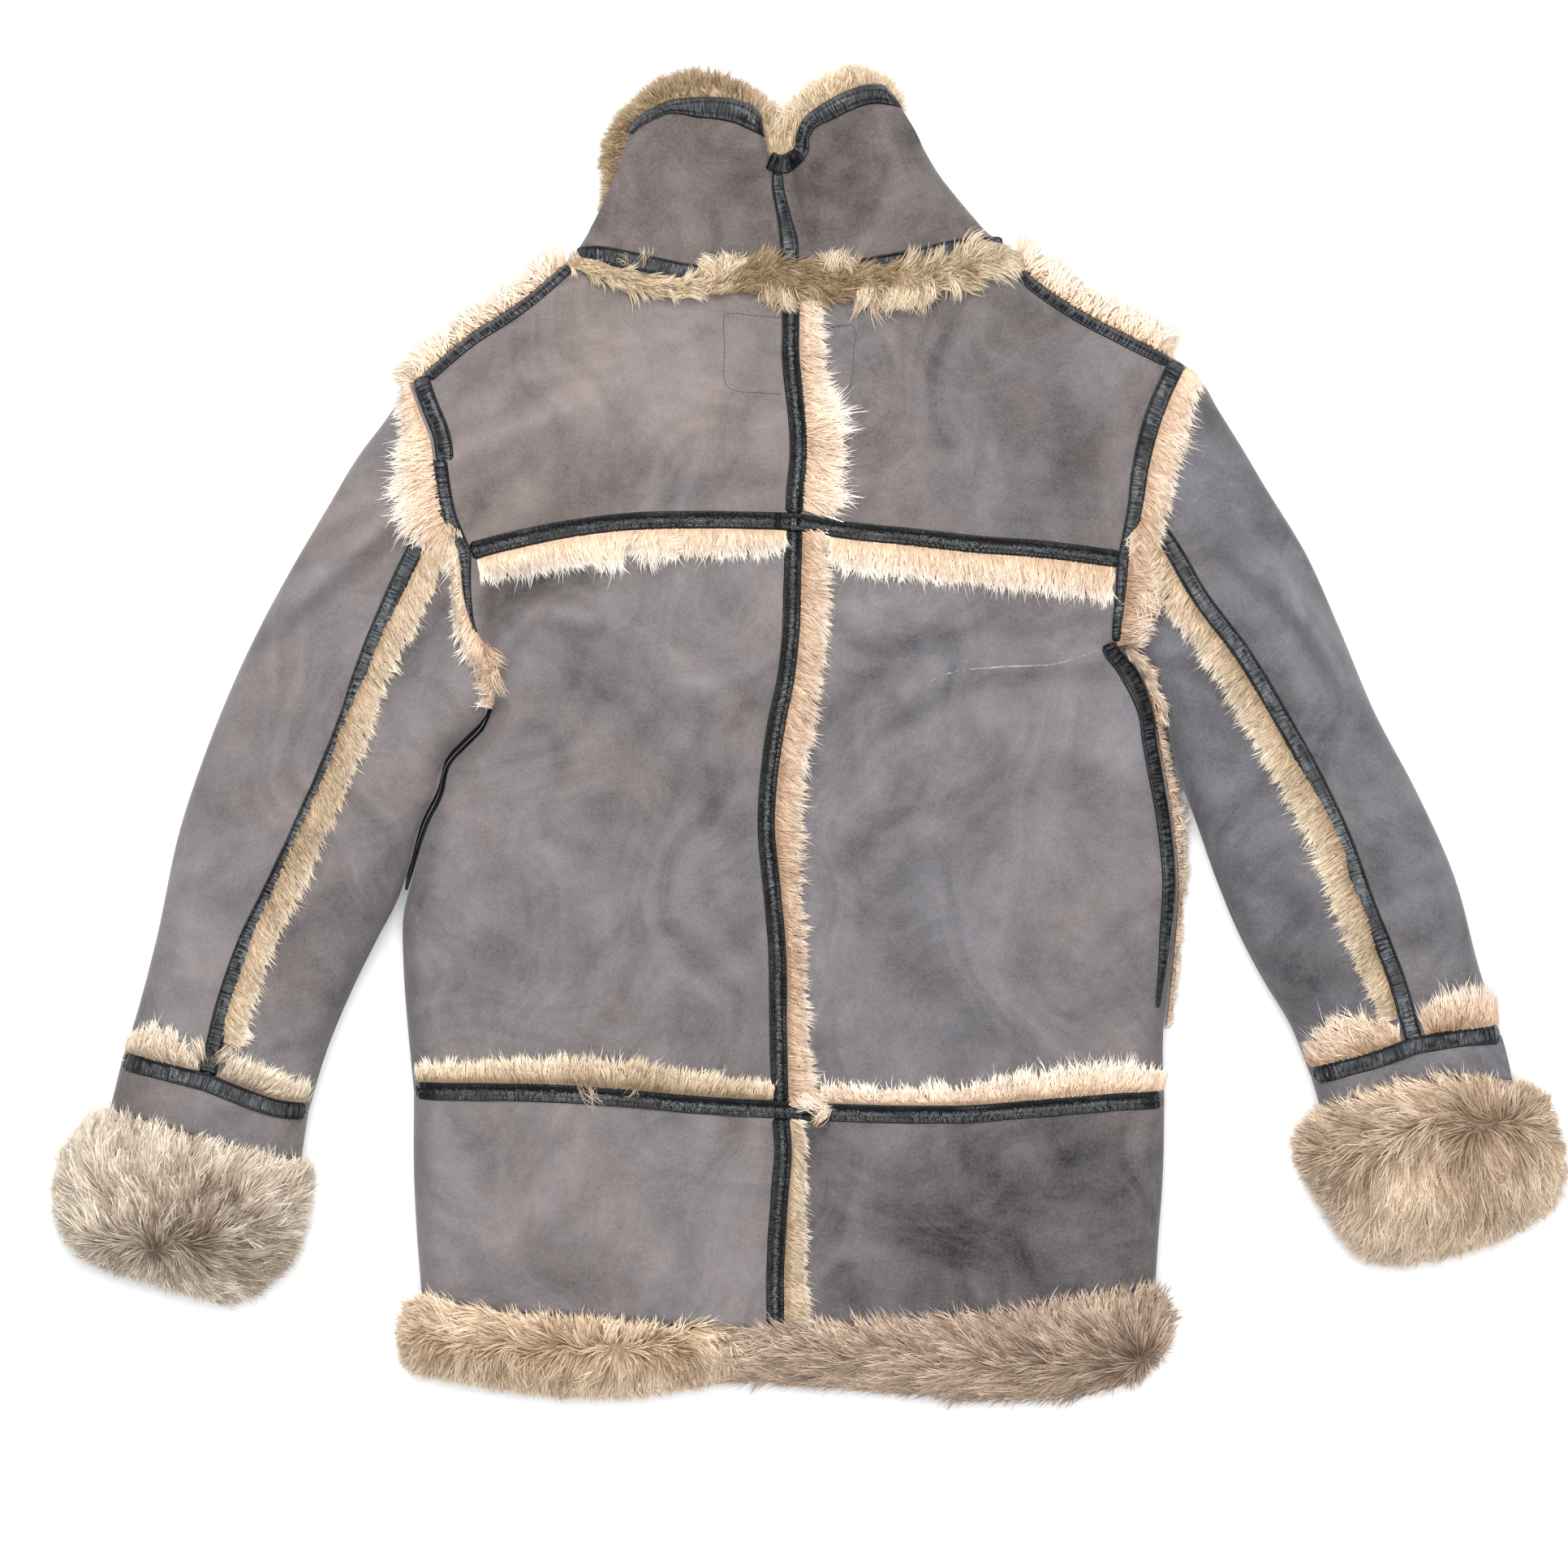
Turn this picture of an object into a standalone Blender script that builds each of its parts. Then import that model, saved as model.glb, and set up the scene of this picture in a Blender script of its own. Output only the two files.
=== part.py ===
"""A shearling coat laid flat on its front, so that its back shows.

Sizes and tables are in millimetres from the middle of the coat: across runs to the right,
up runs towards the collar and height runs off the floor. Suede panels lie in two layers,
backs and top sleeves over fronts and under sleeves, and meet at the folded edges. Leather
tapes lie over the seams with a strip of fur beside each, and deep fur ends the hem,
the cuffs and the collar.
"""

import bmesh
import bpy
import numpy as np
from mathutils import Vector
from mathutils.bvhtree import BVHTree

MILLIMETRE = 0.001

# Heights and thicknesses.
LAYER_MEET = 21.0
BACK_LEVEL = 42.0
WALL = 20.7
LAYER_GAP = 0.3
SLEEVE_SLIT = 0.6
LYING_LIFT = 0.6
COLLAR_BACK_UNDERSIDE = 30.0
COLLAR_FRONT_TOP = 9.0

# Rounding of the folded edges.
BACK_ROUND = 20.0
FRONT_ROUND = 14.0
EDGE_STEP = 0.25
EDGE_CURVE = 2.2
EDGE_COLUMNS = (0.0, 3.0, 8.0, 16.0)
FOLD_COLUMNS = 3
SLEEVE_ROWS = 13

# Clearances in plan.
SEAM_INSET = 0.2
CUFF_INSET = 0.7
FUR_ROOT_INSET = 1.2
SHOULDER_CLEARANCE_LEFT = 0.9
SHOULDER_CLEARANCE_RIGHT = 2.2

# Leather tape and fur.
TAPE_HALF = 5.8
SHOULDER_TAPE = (1.0, 8.5)
TAPE_EDGE = 1.5
TAPE_CROWN = 2.2
LIP_OUTER = 3.2
LIP_INNER = 1.6
LIP_DEPTH = 2.0
LIP_CLEARANCE = 3.5
FUR_ROOT = 6.3
FUR_CUFF_LEVEL = 66.0
FUR_CUFF_ROUND = 42.0
FUR_HEM_LEVEL = 55.0
FUR_HEM_ROUND = 34.0
FUR_ROOT_LEVEL = 46.0
COLLAR_FUR_GAP = 0.6
COLLAR_FUR_RISE = 9.0
COLLAR_FUR_DROOP = 13.0
COLLAR_FUR_DROP = 7.0

# Usual widths across the grain of the panels, to space their columns.
HALF_BODY = 230.0
CUFF_WIDTH = 125.0
HALF_HEM = 220.0

# Finishes: colour, roughness and metallic.
SUEDE = ((0.26, 0.22, 0.22), 0.95, 0.0)
LEATHER = ((0.02, 0.025, 0.03), 0.4, 0.0)
CREAM_FUR = ((0.85, 0.66, 0.46), 0.9, 0.0)
BROWN_FUR = ((0.45, 0.34, 0.24), 0.9, 0.0)

# Seams down the middle of the back. Columns: across, up.
CENTRE_YOKE = ((-12, 296), (-12, 266), (-12, 244), (-10, 223), (-7, 191), (-7, 178), (-9, 158), (-10, 137))
CENTRE_MAIN = ((-10, 137), (-11, 96), (-12, 64), (-15, 36), (-21, 6), (-26, -28), (-28, -63),
               (-24, -105), (-21, -140), (-20, -200), (-19, -247))
CENTRE_HEM = ((-19, -247), (-17, -275), (-19, -300), (-22, -349), (-22, -391))
FRONT_OPENING = ((-12, 296), (-49, -389))

# Seams across the back. Columns: across, up.
YOKE_LEFT = ((-223, 117), (-200, 123), (-157, 132), (-115, 137), (-60, 138), (-10, 137))
YOKE_RIGHT = ((-10, 137), (33, 130), (65, 127), (108, 122), (150, 119), (205, 112))
HIP_LEFT = ((-259, -235), (-157, -237), (-115, -240), (-73, -244), (-19, -247))
HIP_RIGHT = ((-19, -247), (47, -250), (101, -250), (154, -246), (203, -242), (233, -241))
HEM_LEFT = ((-254, -368), (-210, -378), (-157, -381), (-89, -387), (-22, -391))
HEM_RIGHT = ((-22, -391), (55, -386), (108, -383), (161, -374), (227, -364))

# Neck and shoulder seams. Columns: across, up.
NECK_LEFT = ((-154, 312), (-136, 311), (-110, 306), (-81, 300), (-45, 296), (-12, 296))
NECK_RIGHT = ((-12, 296), (12, 298), (36, 303), (64, 308), (95, 315), (129, 319))
SHOULDER_LEFT = ((-257, 231), (-224, 259), (-189, 282), (-154, 312))
SHOULDER_RIGHT = ((129, 319), (144, 300), (171, 280), (208, 260), (242, 243))

# Armholes, from the shoulder to the yoke seam and on to the armpit. Columns: across, up.
ARMHOLE_LEFT_HIGH = ((-257, 231), (-249, 210), (-242, 192), (-239, 170), (-233, 138), (-223, 117))
ARMHOLE_LEFT_LOW = ((-223, 117), (-222, 91), (-218, 67), (-210, 50), (-207, 34), (-208, 14))
ARMHOLE_RIGHT_HIGH = ((242, 243), (232, 223), (226, 208), (220, 188), (216, 170), (213, 147), (205, 112))
ARMHOLE_RIGHT_LOW = ((205, 112), (204, 96), (202, 75), (202, 55))

# Side edges of the body, from the armpit to the hip seam and on to the hem. Columns: across, up.
SIDE_LEFT_MAIN = ((-208, 14), (-212, 3), (-224, -10), (-235, -22), (-240, -42), (-249, -60),
                  (-259, -92), (-266, -121), (-266, -150), (-262, -205), (-259, -235))
SIDE_LEFT_HEM = ((-259, -235), (-259, -291), (-257, -330), (-254, -368))
SIDE_RIGHT_MAIN = ((202, 55), (210, 46), (219, 31), (226, 12), (228, -4), (231, -21), (238, -63),
                   (241, -100), (238, -143), (232, -205), (233, -241))
SIDE_RIGHT_HEM = ((233, -241), (232, -291), (229, -333), (227, -364))

# Sleeve edges and seams, from the armhole to the cuff seam. Columns: across, up.
SLEEVE_LEFT_OUTER = ((-257, 231), (-268, 218), (-277, 205), (-295, 181), (-316, 146), (-335, 114),
                     (-367, 54), (-393, -7), (-412, -63), (-428, -137), (-443, -193), (-450, -215))
SLEEVE_LEFT_INNER = ((-211, 14), (-217, 3), (-229, -9), (-240, -21), (-246, -42), (-255, -60),
                     (-264, -92), (-271, -112), (-284, -137), (-302, -174), (-317, -211), (-328, -249))
SLEEVE_LEFT_SEAM = ((-236, 150), (-252, 127), (-273, 85), (-290, 43), (-304, 1), (-322, -42),
                    (-346, -95), (-367, -137), (-382, -180), (-394, -229))
SLEEVE_RIGHT_OUTER = ((242, 243), (256, 232), (267, 213), (282, 189), (298, 162), (326, 116),
                      (347, 69), (371, 12), (397, -37), (423, -95), (440, -158), (453, -198))
SLEEVE_RIGHT_INNER = ((205, 56), (216, 44), (227, 27), (235, 8), (240, -15), (246, -37), (254, -58),
                      (268, -98), (282, -132), (301, -168), (314, -189), (329, -226))
SLEEVE_RIGHT_SEAM = ((213, 147), (230, 129), (257, 85), (282, 52), (307, 11), (330, -31),
                     (350, -74), (365, -116), (382, -158), (396, -205))

# Cuff seams and the lower ends of the suede cuffs. Columns: across, up.
CUFF_SEAM_LEFT_OUTER = ((-450, -215), (-422, -222), (-394, -229))
CUFF_SEAM_LEFT_INNER = ((-394, -229), (-369, -239), (-348, -246), (-328, -249))
CUFF_END_LEFT = ((-458, -247), (-426, -257), (-385, -268), (-343, -279), (-333, -281))
CUFF_SEAM_RIGHT_INNER = ((329, -226), (349, -220), (368, -215), (396, -205))
CUFF_SEAM_RIGHT_OUTER = ((396, -205), (420, -201), (453, -198))
CUFF_END_RIGHT = ((335, -246), (368, -235), (409, -226), (439, -226), (459, -228))

# Outlines of the fur cuffs: each side from the suede cuff down, then the end. Columns: across, up.
FUR_CUFF_LEFT_OUTER = ((-466, -248), (-482, -262), (-494, -288), (-496, -308), (-490, -331), (-476, -347))
FUR_CUFF_LEFT_INNER = ((-326, -283), (-325, -300), (-329, -325), (-339, -350), (-356, -367))
FUR_CUFF_LEFT_END = ((-476, -347), (-455, -356), (-430, -363), (-401, -372), (-375, -375), (-356, -367))
FUR_CUFF_RIGHT_INNER = ((329, -249), (320, -262), (316, -278), (324, -294), (335, -312),
                        (349, -333), (362, -347))
FUR_CUFF_RIGHT_OUTER = ((470, -229), (484, -238), (492, -260), (496, -285), (488, -314))
FUR_CUFF_RIGHT_END = ((362, -347), (383, -351), (410, -347), (441, -339), (470, -326), (488, -314))

# Outlines of the fur hem: its lower end, then each side. Columns: across, up.
FUR_HEM_END_LEFT = ((-49, -425), (-78, -432), (-126, -438), (-210, -431), (-262, -421))
FUR_HEM_END_RIGHT = ((-49, -425), (2, -428), (55, -433), (108, -438), (161, -438), (216, -427))
FUR_HEM_SIDE_LEFT = ((-263, -372), (-270, -388), (-270, -405), (-262, -421))
FUR_HEM_SIDE_RIGHT = ((234, -369), (239, -384), (238, -400), (230, -415), (216, -427))

# Collar edges. Columns: across, up.
COLLAR_FOLD_LEFT = ((-154, 312), (-144, 328), (-136, 342), (-128, 360), (-123, 374), (-117, 390))
COLLAR_FOLD_RIGHT = ((129, 319), (118, 326), (108, 337), (97, 350), (86, 364), (68, 395), (54, 417))
COLLAR_CENTRE = ((-12, 296), (-13, 318), (-17, 339), (-20, 352), (-21, 366))
NOTCH_LEFT = ((-21, 366), (-26, 376), (-29, 387), (-31, 400))
NOTCH_RIGHT = ((-21, 366), (-9, 374), (-5, 385), (0, 398))
COLLAR_TOP_LEFT = ((-117, 390), (-111, 398), (-102, 404), (-91, 409), (-75, 411), (-59, 411),
                   (-46, 409), (-37, 405), (-31, 400))
COLLAR_TOP_RIGHT = ((0, 398), (10, 406), (23, 414), (36, 419), (47, 421), (54, 417))
CLOSED_FOLD = 0.2

# Shares of each panel's height at which its rows lie, shared with the sleeve sewn to it.
YOKE_ROWS = (0.0, 0.28, 0.52, 0.74, 0.88, 0.95, 0.98, 1.0)
MAIN_ROWS = (0.0, 0.1, 0.2, 0.3, 0.4, 0.5, 0.6, 0.68, 0.72, 0.735, 0.76, 0.8, 0.84, 0.86, 0.88, 0.92, 1.0)
ARMPITS = {"left": 0.72, "right": 0.84}

# Shares of the shoulder and of the neck, from the shoulder tip and from the collar's fold.
SHOULDER_COLUMNS = (0.0, 0.25, 0.5, 0.75, 1.0)
NECK_COLUMNS = (0.0, 0.1, 0.28, 0.46, 0.64, 0.82, 1.0)
FRONT_SHOULDER_COLUMNS = (0.0, 0.03, 0.1, 0.4, 0.7, 1.0)
FRONT_NECK_COLUMNS = (0.0, 0.1, 0.45, 1.0)
COLLAR_BACK_COLUMNS = (0.0, 0.03, 0.1, 0.28, 0.46, 0.64, 0.82, 1.0)
COLLAR_FRONT_COLUMNS = (0.0, 0.03, 0.1, 0.45, 1.0)

# Fur inside the collar, a row for each section along its top edge.
# Columns: root across, root up, tip across, tip up, share of full depth.
COLLAR_FUR = (
    (-120, 334, -138, 338, 0.15), (-116, 346, -136, 352, 0.6), (-110, 360, -137, 366, 1.0),
    (-104, 376, -139, 380, 1.0), (-98, 387, -133, 397, 1.0), (-92, 394, -120, 412, 1.0),
    (-82, 398, -104, 427, 1.0), (-70, 400, -83, 436, 1.0), (-57, 400, -60, 435, 1.0),
    (-46, 396, -41, 426, 1.0), (-36, 386, -27, 417, 1.0), (-24, 356, -19, 407, 1.0),
    (-2, 370, -9, 415, 1.0), (8, 390, 1, 428, 1.0), (20, 400, 14, 435, 1.0),
    (33, 405, 27, 438, 1.0), (41, 404, 41, 436, 1.0), (46, 398, 52, 427, 0.9), (50, 388, 60, 405, 0.6),
)
COLLAR_FUR_COLUMNS = (0.0, 0.35, 0.55, 0.75, 1.0)

# Fur at the right side seam, its two edges. Columns: across, up.
SIDE_FUR_INNER = ((224, 22), (229, 0), (233, -21), (237, -42), (240, -63), (243, -100),
                  (240, -143), (235, -195))
SIDE_FUR_OUTER = ((228, 20), (233, 0), (239, -21), (244, -42), (248, -63), (248, -90),
                  (244, -143), (239, -195))

# Creases that stand up from the lying cloth. Columns: path, height, half width.
CREASES = (
    (((-236, 182), (-196, 196), (-157, 212)), 4.0, 24.0),
    (((-203, 46), (-198, 66), (-182, 78), (-144, 72)), 6.0, 12.0),
    (((-278, 140), (-309, 110), (-353, 73)), 7.0, 12.0),
    (((277, 118), (319, 78), (345, 47), (368, 12)), 8.0, 11.0),
    (((192, 52), (142, 43), (96, 40), (67, 22)), 4.0, 14.0),
    (((-30, 60), (-60, -20), (-75, -110)), 3.0, 30.0),
    (((60, 60), (90, -60), (80, -170)), 3.0, 34.0),
    (((-330, -60), (-380, -100)), 4.0, 16.0),
    (((310, -80), (360, -130)), 4.0, 18.0),
    (((-100, 360), (-60, 372)), 3.0, 22.0),
    (((10, 372), (60, 350)), 4.0, 22.0),
)

# Tapes that lie over the seams.
# Columns: name, path name, start and end cut off in mm, rows.
TAPES = (
    ("tape_centre_yoke", "centre_yoke", 6.6, 6.6, 12),
    ("tape_centre_main", "centre_main", 6.6, 6.6, 18),
    ("tape_centre_hem", "centre_hem", 6.6, 4.0, 9),
    ("tape_yoke", "yoke", 7.5, 7.5, 20),
    ("tape_hip", "hip", 2.0, 2.0, 18),
    ("tape_armhole_left", "armhole_left", 1.5, 72.0, 14),
    ("tape_armhole_right", "armhole_right", 1.5, 4.0, 15),
    ("tape_sleeve_left", "sleeve_left_seam", 8.5, 6.6, 16),
    ("tape_sleeve_right", "sleeve_right_seam", 8.5, 6.6, 16),
    ("tape_cuff_left", "cuff_left_seam", 2.0, 2.0, 10),
    ("tape_cuff_right", "cuff_right_seam", 2.0, 2.0, 10),
    ("tape_neck", "neck", 2.0, 2.0, 14),
    ("tape_collar_centre", "collar_centre", 6.8, 6.0, 7),
)

# Strips of fur beside the tapes. The reach is how far the fur runs from the seam, at shares
# of the strip's length; side 1 lies to the left of the path and -1 to its right.
# Columns: name, path name, start and end cut off in mm, side, reach, height, rows.
FUR_STRIPS = (
    ("fur_centre_yoke", "centre_yoke", 10.0, 6.6, 1, ((0, 23), (0.4, 25), (0.65, 31), (1, 31)), 8.0, 10),
    ("fur_centre_main", "centre_main", 6.6, 6.6, 1,
     ((0, 28), (0.5, 27), (0.62, 22), (0.75, 19), (0.9, 22), (1, 26)), 8.0, 16),
    ("fur_centre_hem", "centre_hem", 6.6, 3.0, 1, ((0, 17), (0.4, 19), (1, 27)), 8.0, 7),
    ("fur_yoke_left", "yoke_left", 9.0, 6.6, -1, ((0, 27), (0.4, 32), (0.5, 26), (1, 22)), 9.0, 12),
    ("fur_yoke_right", "yoke_right", 30.0, 8.0, -1, ((0, 28), (1, 31)), 9.0, 11),
    ("fur_hip_left", "hip_left", 3.0, 7.0, 1, ((0, 18), (0.3, 24), (0.6, 28), (1, 18)), 9.0, 12),
    ("fur_hip_right", "hip_right", 28.0, 3.0, 1,
     ((0, 22), (0.3, 20), (0.6, 30), (0.8, 35), (1, 26)), 9.0, 11),
    ("fur_sleeve_left", "sleeve_left_seam", 14.0, 32.0, 1,
     ((0, 24), (0.15, 27), (0.3, 19), (1, 22)), 8.0, 15),
    ("fur_sleeve_right", "sleeve_right_seam", 14.0, 42.0, -1, ((0, 24), (0.2, 26), (1, 26)), 8.0, 15),
    ("fur_cuff_seam_left_outer", "cuff_left_outer", 1.0, 7.5, 1,
     ((0, 22), (0.3, 31), (0.7, 29), (1, 20)), 13.0, 6),
    ("fur_cuff_seam_left_inner", "cuff_left_inner", 7.5, 1.0, 1, ((0, 25), (0.6, 26), (1, 20)), 13.0, 7),
    ("fur_cuff_seam_right_inner", "cuff_right_inner", 1.0, 8.0, 1,
     ((0, 24), (0.3, 38), (0.7, 36), (1, 18)), 13.0, 7),
    ("fur_cuff_seam_right_outer", "cuff_right_outer", 8.0, 1.0, 1, ((0, 30), (0.5, 38), (1, 30)), 13.0, 6),
    ("fur_armhole_left", "armhole_left", 3.0, 3.0, -1,
     ((0, 16), (0.12, 26), (0.22, 36), (0.31, 42), (0.41, 36), (0.5, 22), (0.7, 19), (0.82, 21), (1, 12)),
     9.0, 18),
    ("fur_armhole_right", "armhole_right", 3.0, 3.0, 1,
     ((0, 21), (0.2, 29), (0.45, 27), (0.7, 24), (0.88, 26), (1, 16)), 9.0, 15),
)
FUR_COLUMNS = (0.0, 0.35, 0.7, 1.0)
FUR_PROFILE = (0.55, 1.0, 0.75, 0.14)
FUR_END_SHARE = 0.6

# The curly fur over the neck seam. Columns: across, up, half width.
NECK_FUR = (
    (-158, 306, 5), (-146, 302, 9), (-128, 296, 11), (-105, 290, 12), (-80, 290, 12), (-55, 295, 13),
    (-30, 295, 14), (-5, 294, 13), (20, 294, 12), (40, 288, 14), (65, 291, 15), (90, 298, 13),
    (110, 307, 12), (128, 311, 9), (138, 309, 5),
)
NECK_FUR_HEIGHT = 13.0
NECK_FUR_COLUMNS = (-1.0, -0.45, 0.2, 0.7, 1.0)
NECK_FUR_PROFILE = (0.12, 0.75, 1.0, 0.8, 0.12)

SHOULDER_FUR_COLUMNS = (0.0, 0.4, 1.0)
SHOULDER_FUR_TOPS = (28.0, 27.0, 9.0)
SIDE_FUR_COLUMNS = (0.0, 0.5, 1.0)
SIDE_FUR_TOPS = (27.0, 25.0, 14.0)


def smooth(rows, steps=6):
    """A smooth path through a table's points."""
    points = np.array(rows, float)
    knots = np.concatenate([[0], np.cumsum(np.linalg.norm(np.diff(points, axis=0), axis=1))])
    slopes = np.gradient(points, knots, axis=0)
    pieces = []
    share = np.linspace(0, 1, steps, endpoint=False)[:, None]
    for k in range(len(points) - 1):
        span = knots[k + 1] - knots[k]
        pieces.append(
            (2 * share**3 - 3 * share**2 + 1) * points[k]
            + (share**3 - 2 * share**2 + share) * span * slopes[k]
            + (3 * share**2 - 2 * share**3) * points[k + 1]
            + (share**3 - share**2) * span * slopes[k + 1]
        )
    return np.vstack(pieces + [points[-1:]])


def join(*paths):
    """One path made of several, each starting where the last one ends."""
    return np.vstack([paths[0]] + [path[1:] for path in paths[1:]])


def length_along(path):
    """Distance run at each point of a path."""
    return np.concatenate([[0], np.cumsum(np.linalg.norm(np.diff(path, axis=0), axis=1))])


def at(path, shares):
    """Points at shares of a path's length."""
    run = length_along(path)
    targets = np.asarray(shares) * run[-1]
    return np.stack([np.interp(targets, run, path[:, axis]) for axis in (0, 1)], axis=-1)


def trimmed(path, start, end):
    """The path with a length cut off each end."""
    total = length_along(path)[-1]
    return at(path, np.linspace(start / total, 1 - end / total, 4 * len(path)))


def cut_at(path, across):
    """The path's two parts, left and right of a place across."""
    share = np.interp(across, path[:, 0], length_along(path)) / length_along(path)[-1]
    return at(path, np.linspace(0, share, 60)), at(path, np.linspace(share, 1, 60))


def distance_to(path, places):
    """Shortest distance from each place to a path."""
    start = path[:-1]
    run = path[1:] - start
    from_start = places[:, None] - start
    share = np.sum(from_start * run, axis=2) / np.maximum(np.sum(run * run, axis=1), 1e-9)
    gap = from_start - np.clip(share, 0, 1)[:, :, None] * run
    return np.sqrt(np.min(np.sum(gap * gap, axis=2), axis=1))


def inside(outline, places):
    """Which places lie inside a closed outline."""
    across, up = places[:, 0][:, None], places[:, 1][:, None]
    a, b = outline, np.roll(outline, -1, axis=0)
    crosses = (a[:, 1] > up) != (b[:, 1] > up)
    rise = np.where(b[:, 1] == a[:, 1], 1.0, b[:, 1] - a[:, 1])
    meet = a[:, 0] + (up - a[:, 1]) / rise * (b[:, 0] - a[:, 0])
    return np.sum(crosses & (across < meet), axis=1) % 2 == 1


def soft_step(value):
    """A smooth rise from 0 to 1."""
    clipped = np.clip(value, 0, 1)
    return clipped * clipped * (3 - 2 * clipped)


def make_paths():
    """Every seam and edge as a smooth path, by name."""
    paths = {
        "centre_yoke": smooth(CENTRE_YOKE), "centre_main": smooth(CENTRE_MAIN),
        "centre_hem": smooth(CENTRE_HEM), "front_opening": smooth(FRONT_OPENING),
        "yoke_left": smooth(YOKE_LEFT), "yoke_right": smooth(YOKE_RIGHT),
        "hip_left": smooth(HIP_LEFT), "hip_right": smooth(HIP_RIGHT),
        "hem": join(smooth(HEM_LEFT), smooth(HEM_RIGHT)),
        "neck_left": smooth(NECK_LEFT), "neck_right": smooth(NECK_RIGHT),
        "shoulder_left": smooth(SHOULDER_LEFT), "shoulder_right": smooth(SHOULDER_RIGHT),
        "armhole_left_high": smooth(ARMHOLE_LEFT_HIGH), "armhole_left_low": smooth(ARMHOLE_LEFT_LOW),
        "armhole_right_high": smooth(ARMHOLE_RIGHT_HIGH), "armhole_right_low": smooth(ARMHOLE_RIGHT_LOW),
        "side_left_main": smooth(SIDE_LEFT_MAIN), "side_left_hem": smooth(SIDE_LEFT_HEM),
        "side_right_main": smooth(SIDE_RIGHT_MAIN), "side_right_hem": smooth(SIDE_RIGHT_HEM),
        "sleeve_left_outer": smooth(SLEEVE_LEFT_OUTER), "sleeve_left_inner": smooth(SLEEVE_LEFT_INNER),
        "sleeve_left_seam": smooth(SLEEVE_LEFT_SEAM), "sleeve_right_outer": smooth(SLEEVE_RIGHT_OUTER),
        "sleeve_right_inner": smooth(SLEEVE_RIGHT_INNER), "sleeve_right_seam": smooth(SLEEVE_RIGHT_SEAM),
        "cuff_left_outer": smooth(CUFF_SEAM_LEFT_OUTER), "cuff_left_inner": smooth(CUFF_SEAM_LEFT_INNER),
        "cuff_right_inner": smooth(CUFF_SEAM_RIGHT_INNER), "cuff_right_outer": smooth(CUFF_SEAM_RIGHT_OUTER),
        "cuff_left_end": smooth(CUFF_END_LEFT), "cuff_right_end": smooth(CUFF_END_RIGHT),
        "fold_left": smooth(COLLAR_FOLD_LEFT), "fold_right": smooth(COLLAR_FOLD_RIGHT),
        "collar_centre": smooth(COLLAR_CENTRE),
        "notch_left": smooth(NOTCH_LEFT), "notch_right": smooth(NOTCH_RIGHT),
        "collar_top_left": smooth(COLLAR_TOP_LEFT), "collar_top_right": smooth(COLLAR_TOP_RIGHT),
    }
    paths["yoke"] = join(paths["yoke_left"], paths["yoke_right"])
    paths["hip"] = join(paths["hip_left"], paths["hip_right"])
    paths["neck"] = join(paths["neck_left"], paths["neck_right"])
    paths["armhole_left"] = join(paths["armhole_left_high"], paths["armhole_left_low"])
    paths["armhole_right"] = join(paths["armhole_right_high"], paths["armhole_right_low"])
    paths["cuff_left_seam"] = join(paths["cuff_left_outer"], paths["cuff_left_inner"])
    paths["cuff_right_seam"] = join(paths["cuff_right_inner"], paths["cuff_right_outer"])
    return paths


PATHS = make_paths()


def closed_edges():
    """The folded edges, where the back layer comes down to meet the front layer."""
    cuff_left = PATHS["cuff_left_end"]
    cuff_right = PATHS["cuff_right_end"]
    fold_left = at(PATHS["fold_left"], np.linspace(0, CLOSED_FOLD, 6))
    fold_right = at(PATHS["fold_right"], np.linspace(0, 1 - 1.5 * CLOSED_FOLD, 24))
    return (
        join(cuff_left[:1], PATHS["sleeve_left_outer"][::-1], PATHS["shoulder_left"], fold_left),
        np.vstack([PATHS["sleeve_left_inner"], cuff_left[-1:]]),
        join(PATHS["side_left_main"], PATHS["side_left_hem"]),
        join(fold_right[::-1], PATHS["shoulder_right"], PATHS["sleeve_right_outer"], cuff_right[-1:]),
        np.vstack([PATHS["sleeve_right_inner"], cuff_right[:1]]),
        join(PATHS["side_right_main"], PATHS["side_right_hem"]),
    )


CLOSED_EDGES = closed_edges()
CREASE_PATHS = [(smooth(path), height, width) for path, height, width in CREASES]


def edge_distance(plan):
    """Distance from each place of a plan grid to the nearest folded edge."""
    places = plan.reshape(-1, 2)
    nearest = np.min([distance_to(edge, places) for edge in CLOSED_EDGES], axis=0)
    return nearest.reshape(plan.shape[:-1])


def edge_rise(distance, reach):
    """Share of full height at a distance from a folded edge."""
    remaining = 1 - np.clip(distance / reach, 0, 1)
    return EDGE_STEP + (1 - EDGE_STEP) * (1 - remaining**EDGE_CURVE)


def back_height(plan):
    """Height of the back layer's suede."""
    places = plan.reshape(-1, 2)
    level = np.full(len(places), BACK_LEVEL)
    for path, height, width in CREASE_PATHS:
        level += height * np.exp(-((distance_to(path, places) / width) ** 2))
    level = level.reshape(plan.shape[:-1])
    return LAYER_MEET + (level - LAYER_MEET) * edge_rise(edge_distance(plan), BACK_ROUND)


def front_height(plan):
    """Height of the front layer's suede, which lies on the floor but for its folded edges."""
    return LAYER_MEET * (1 - edge_rise(edge_distance(plan), FRONT_ROUND))


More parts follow.
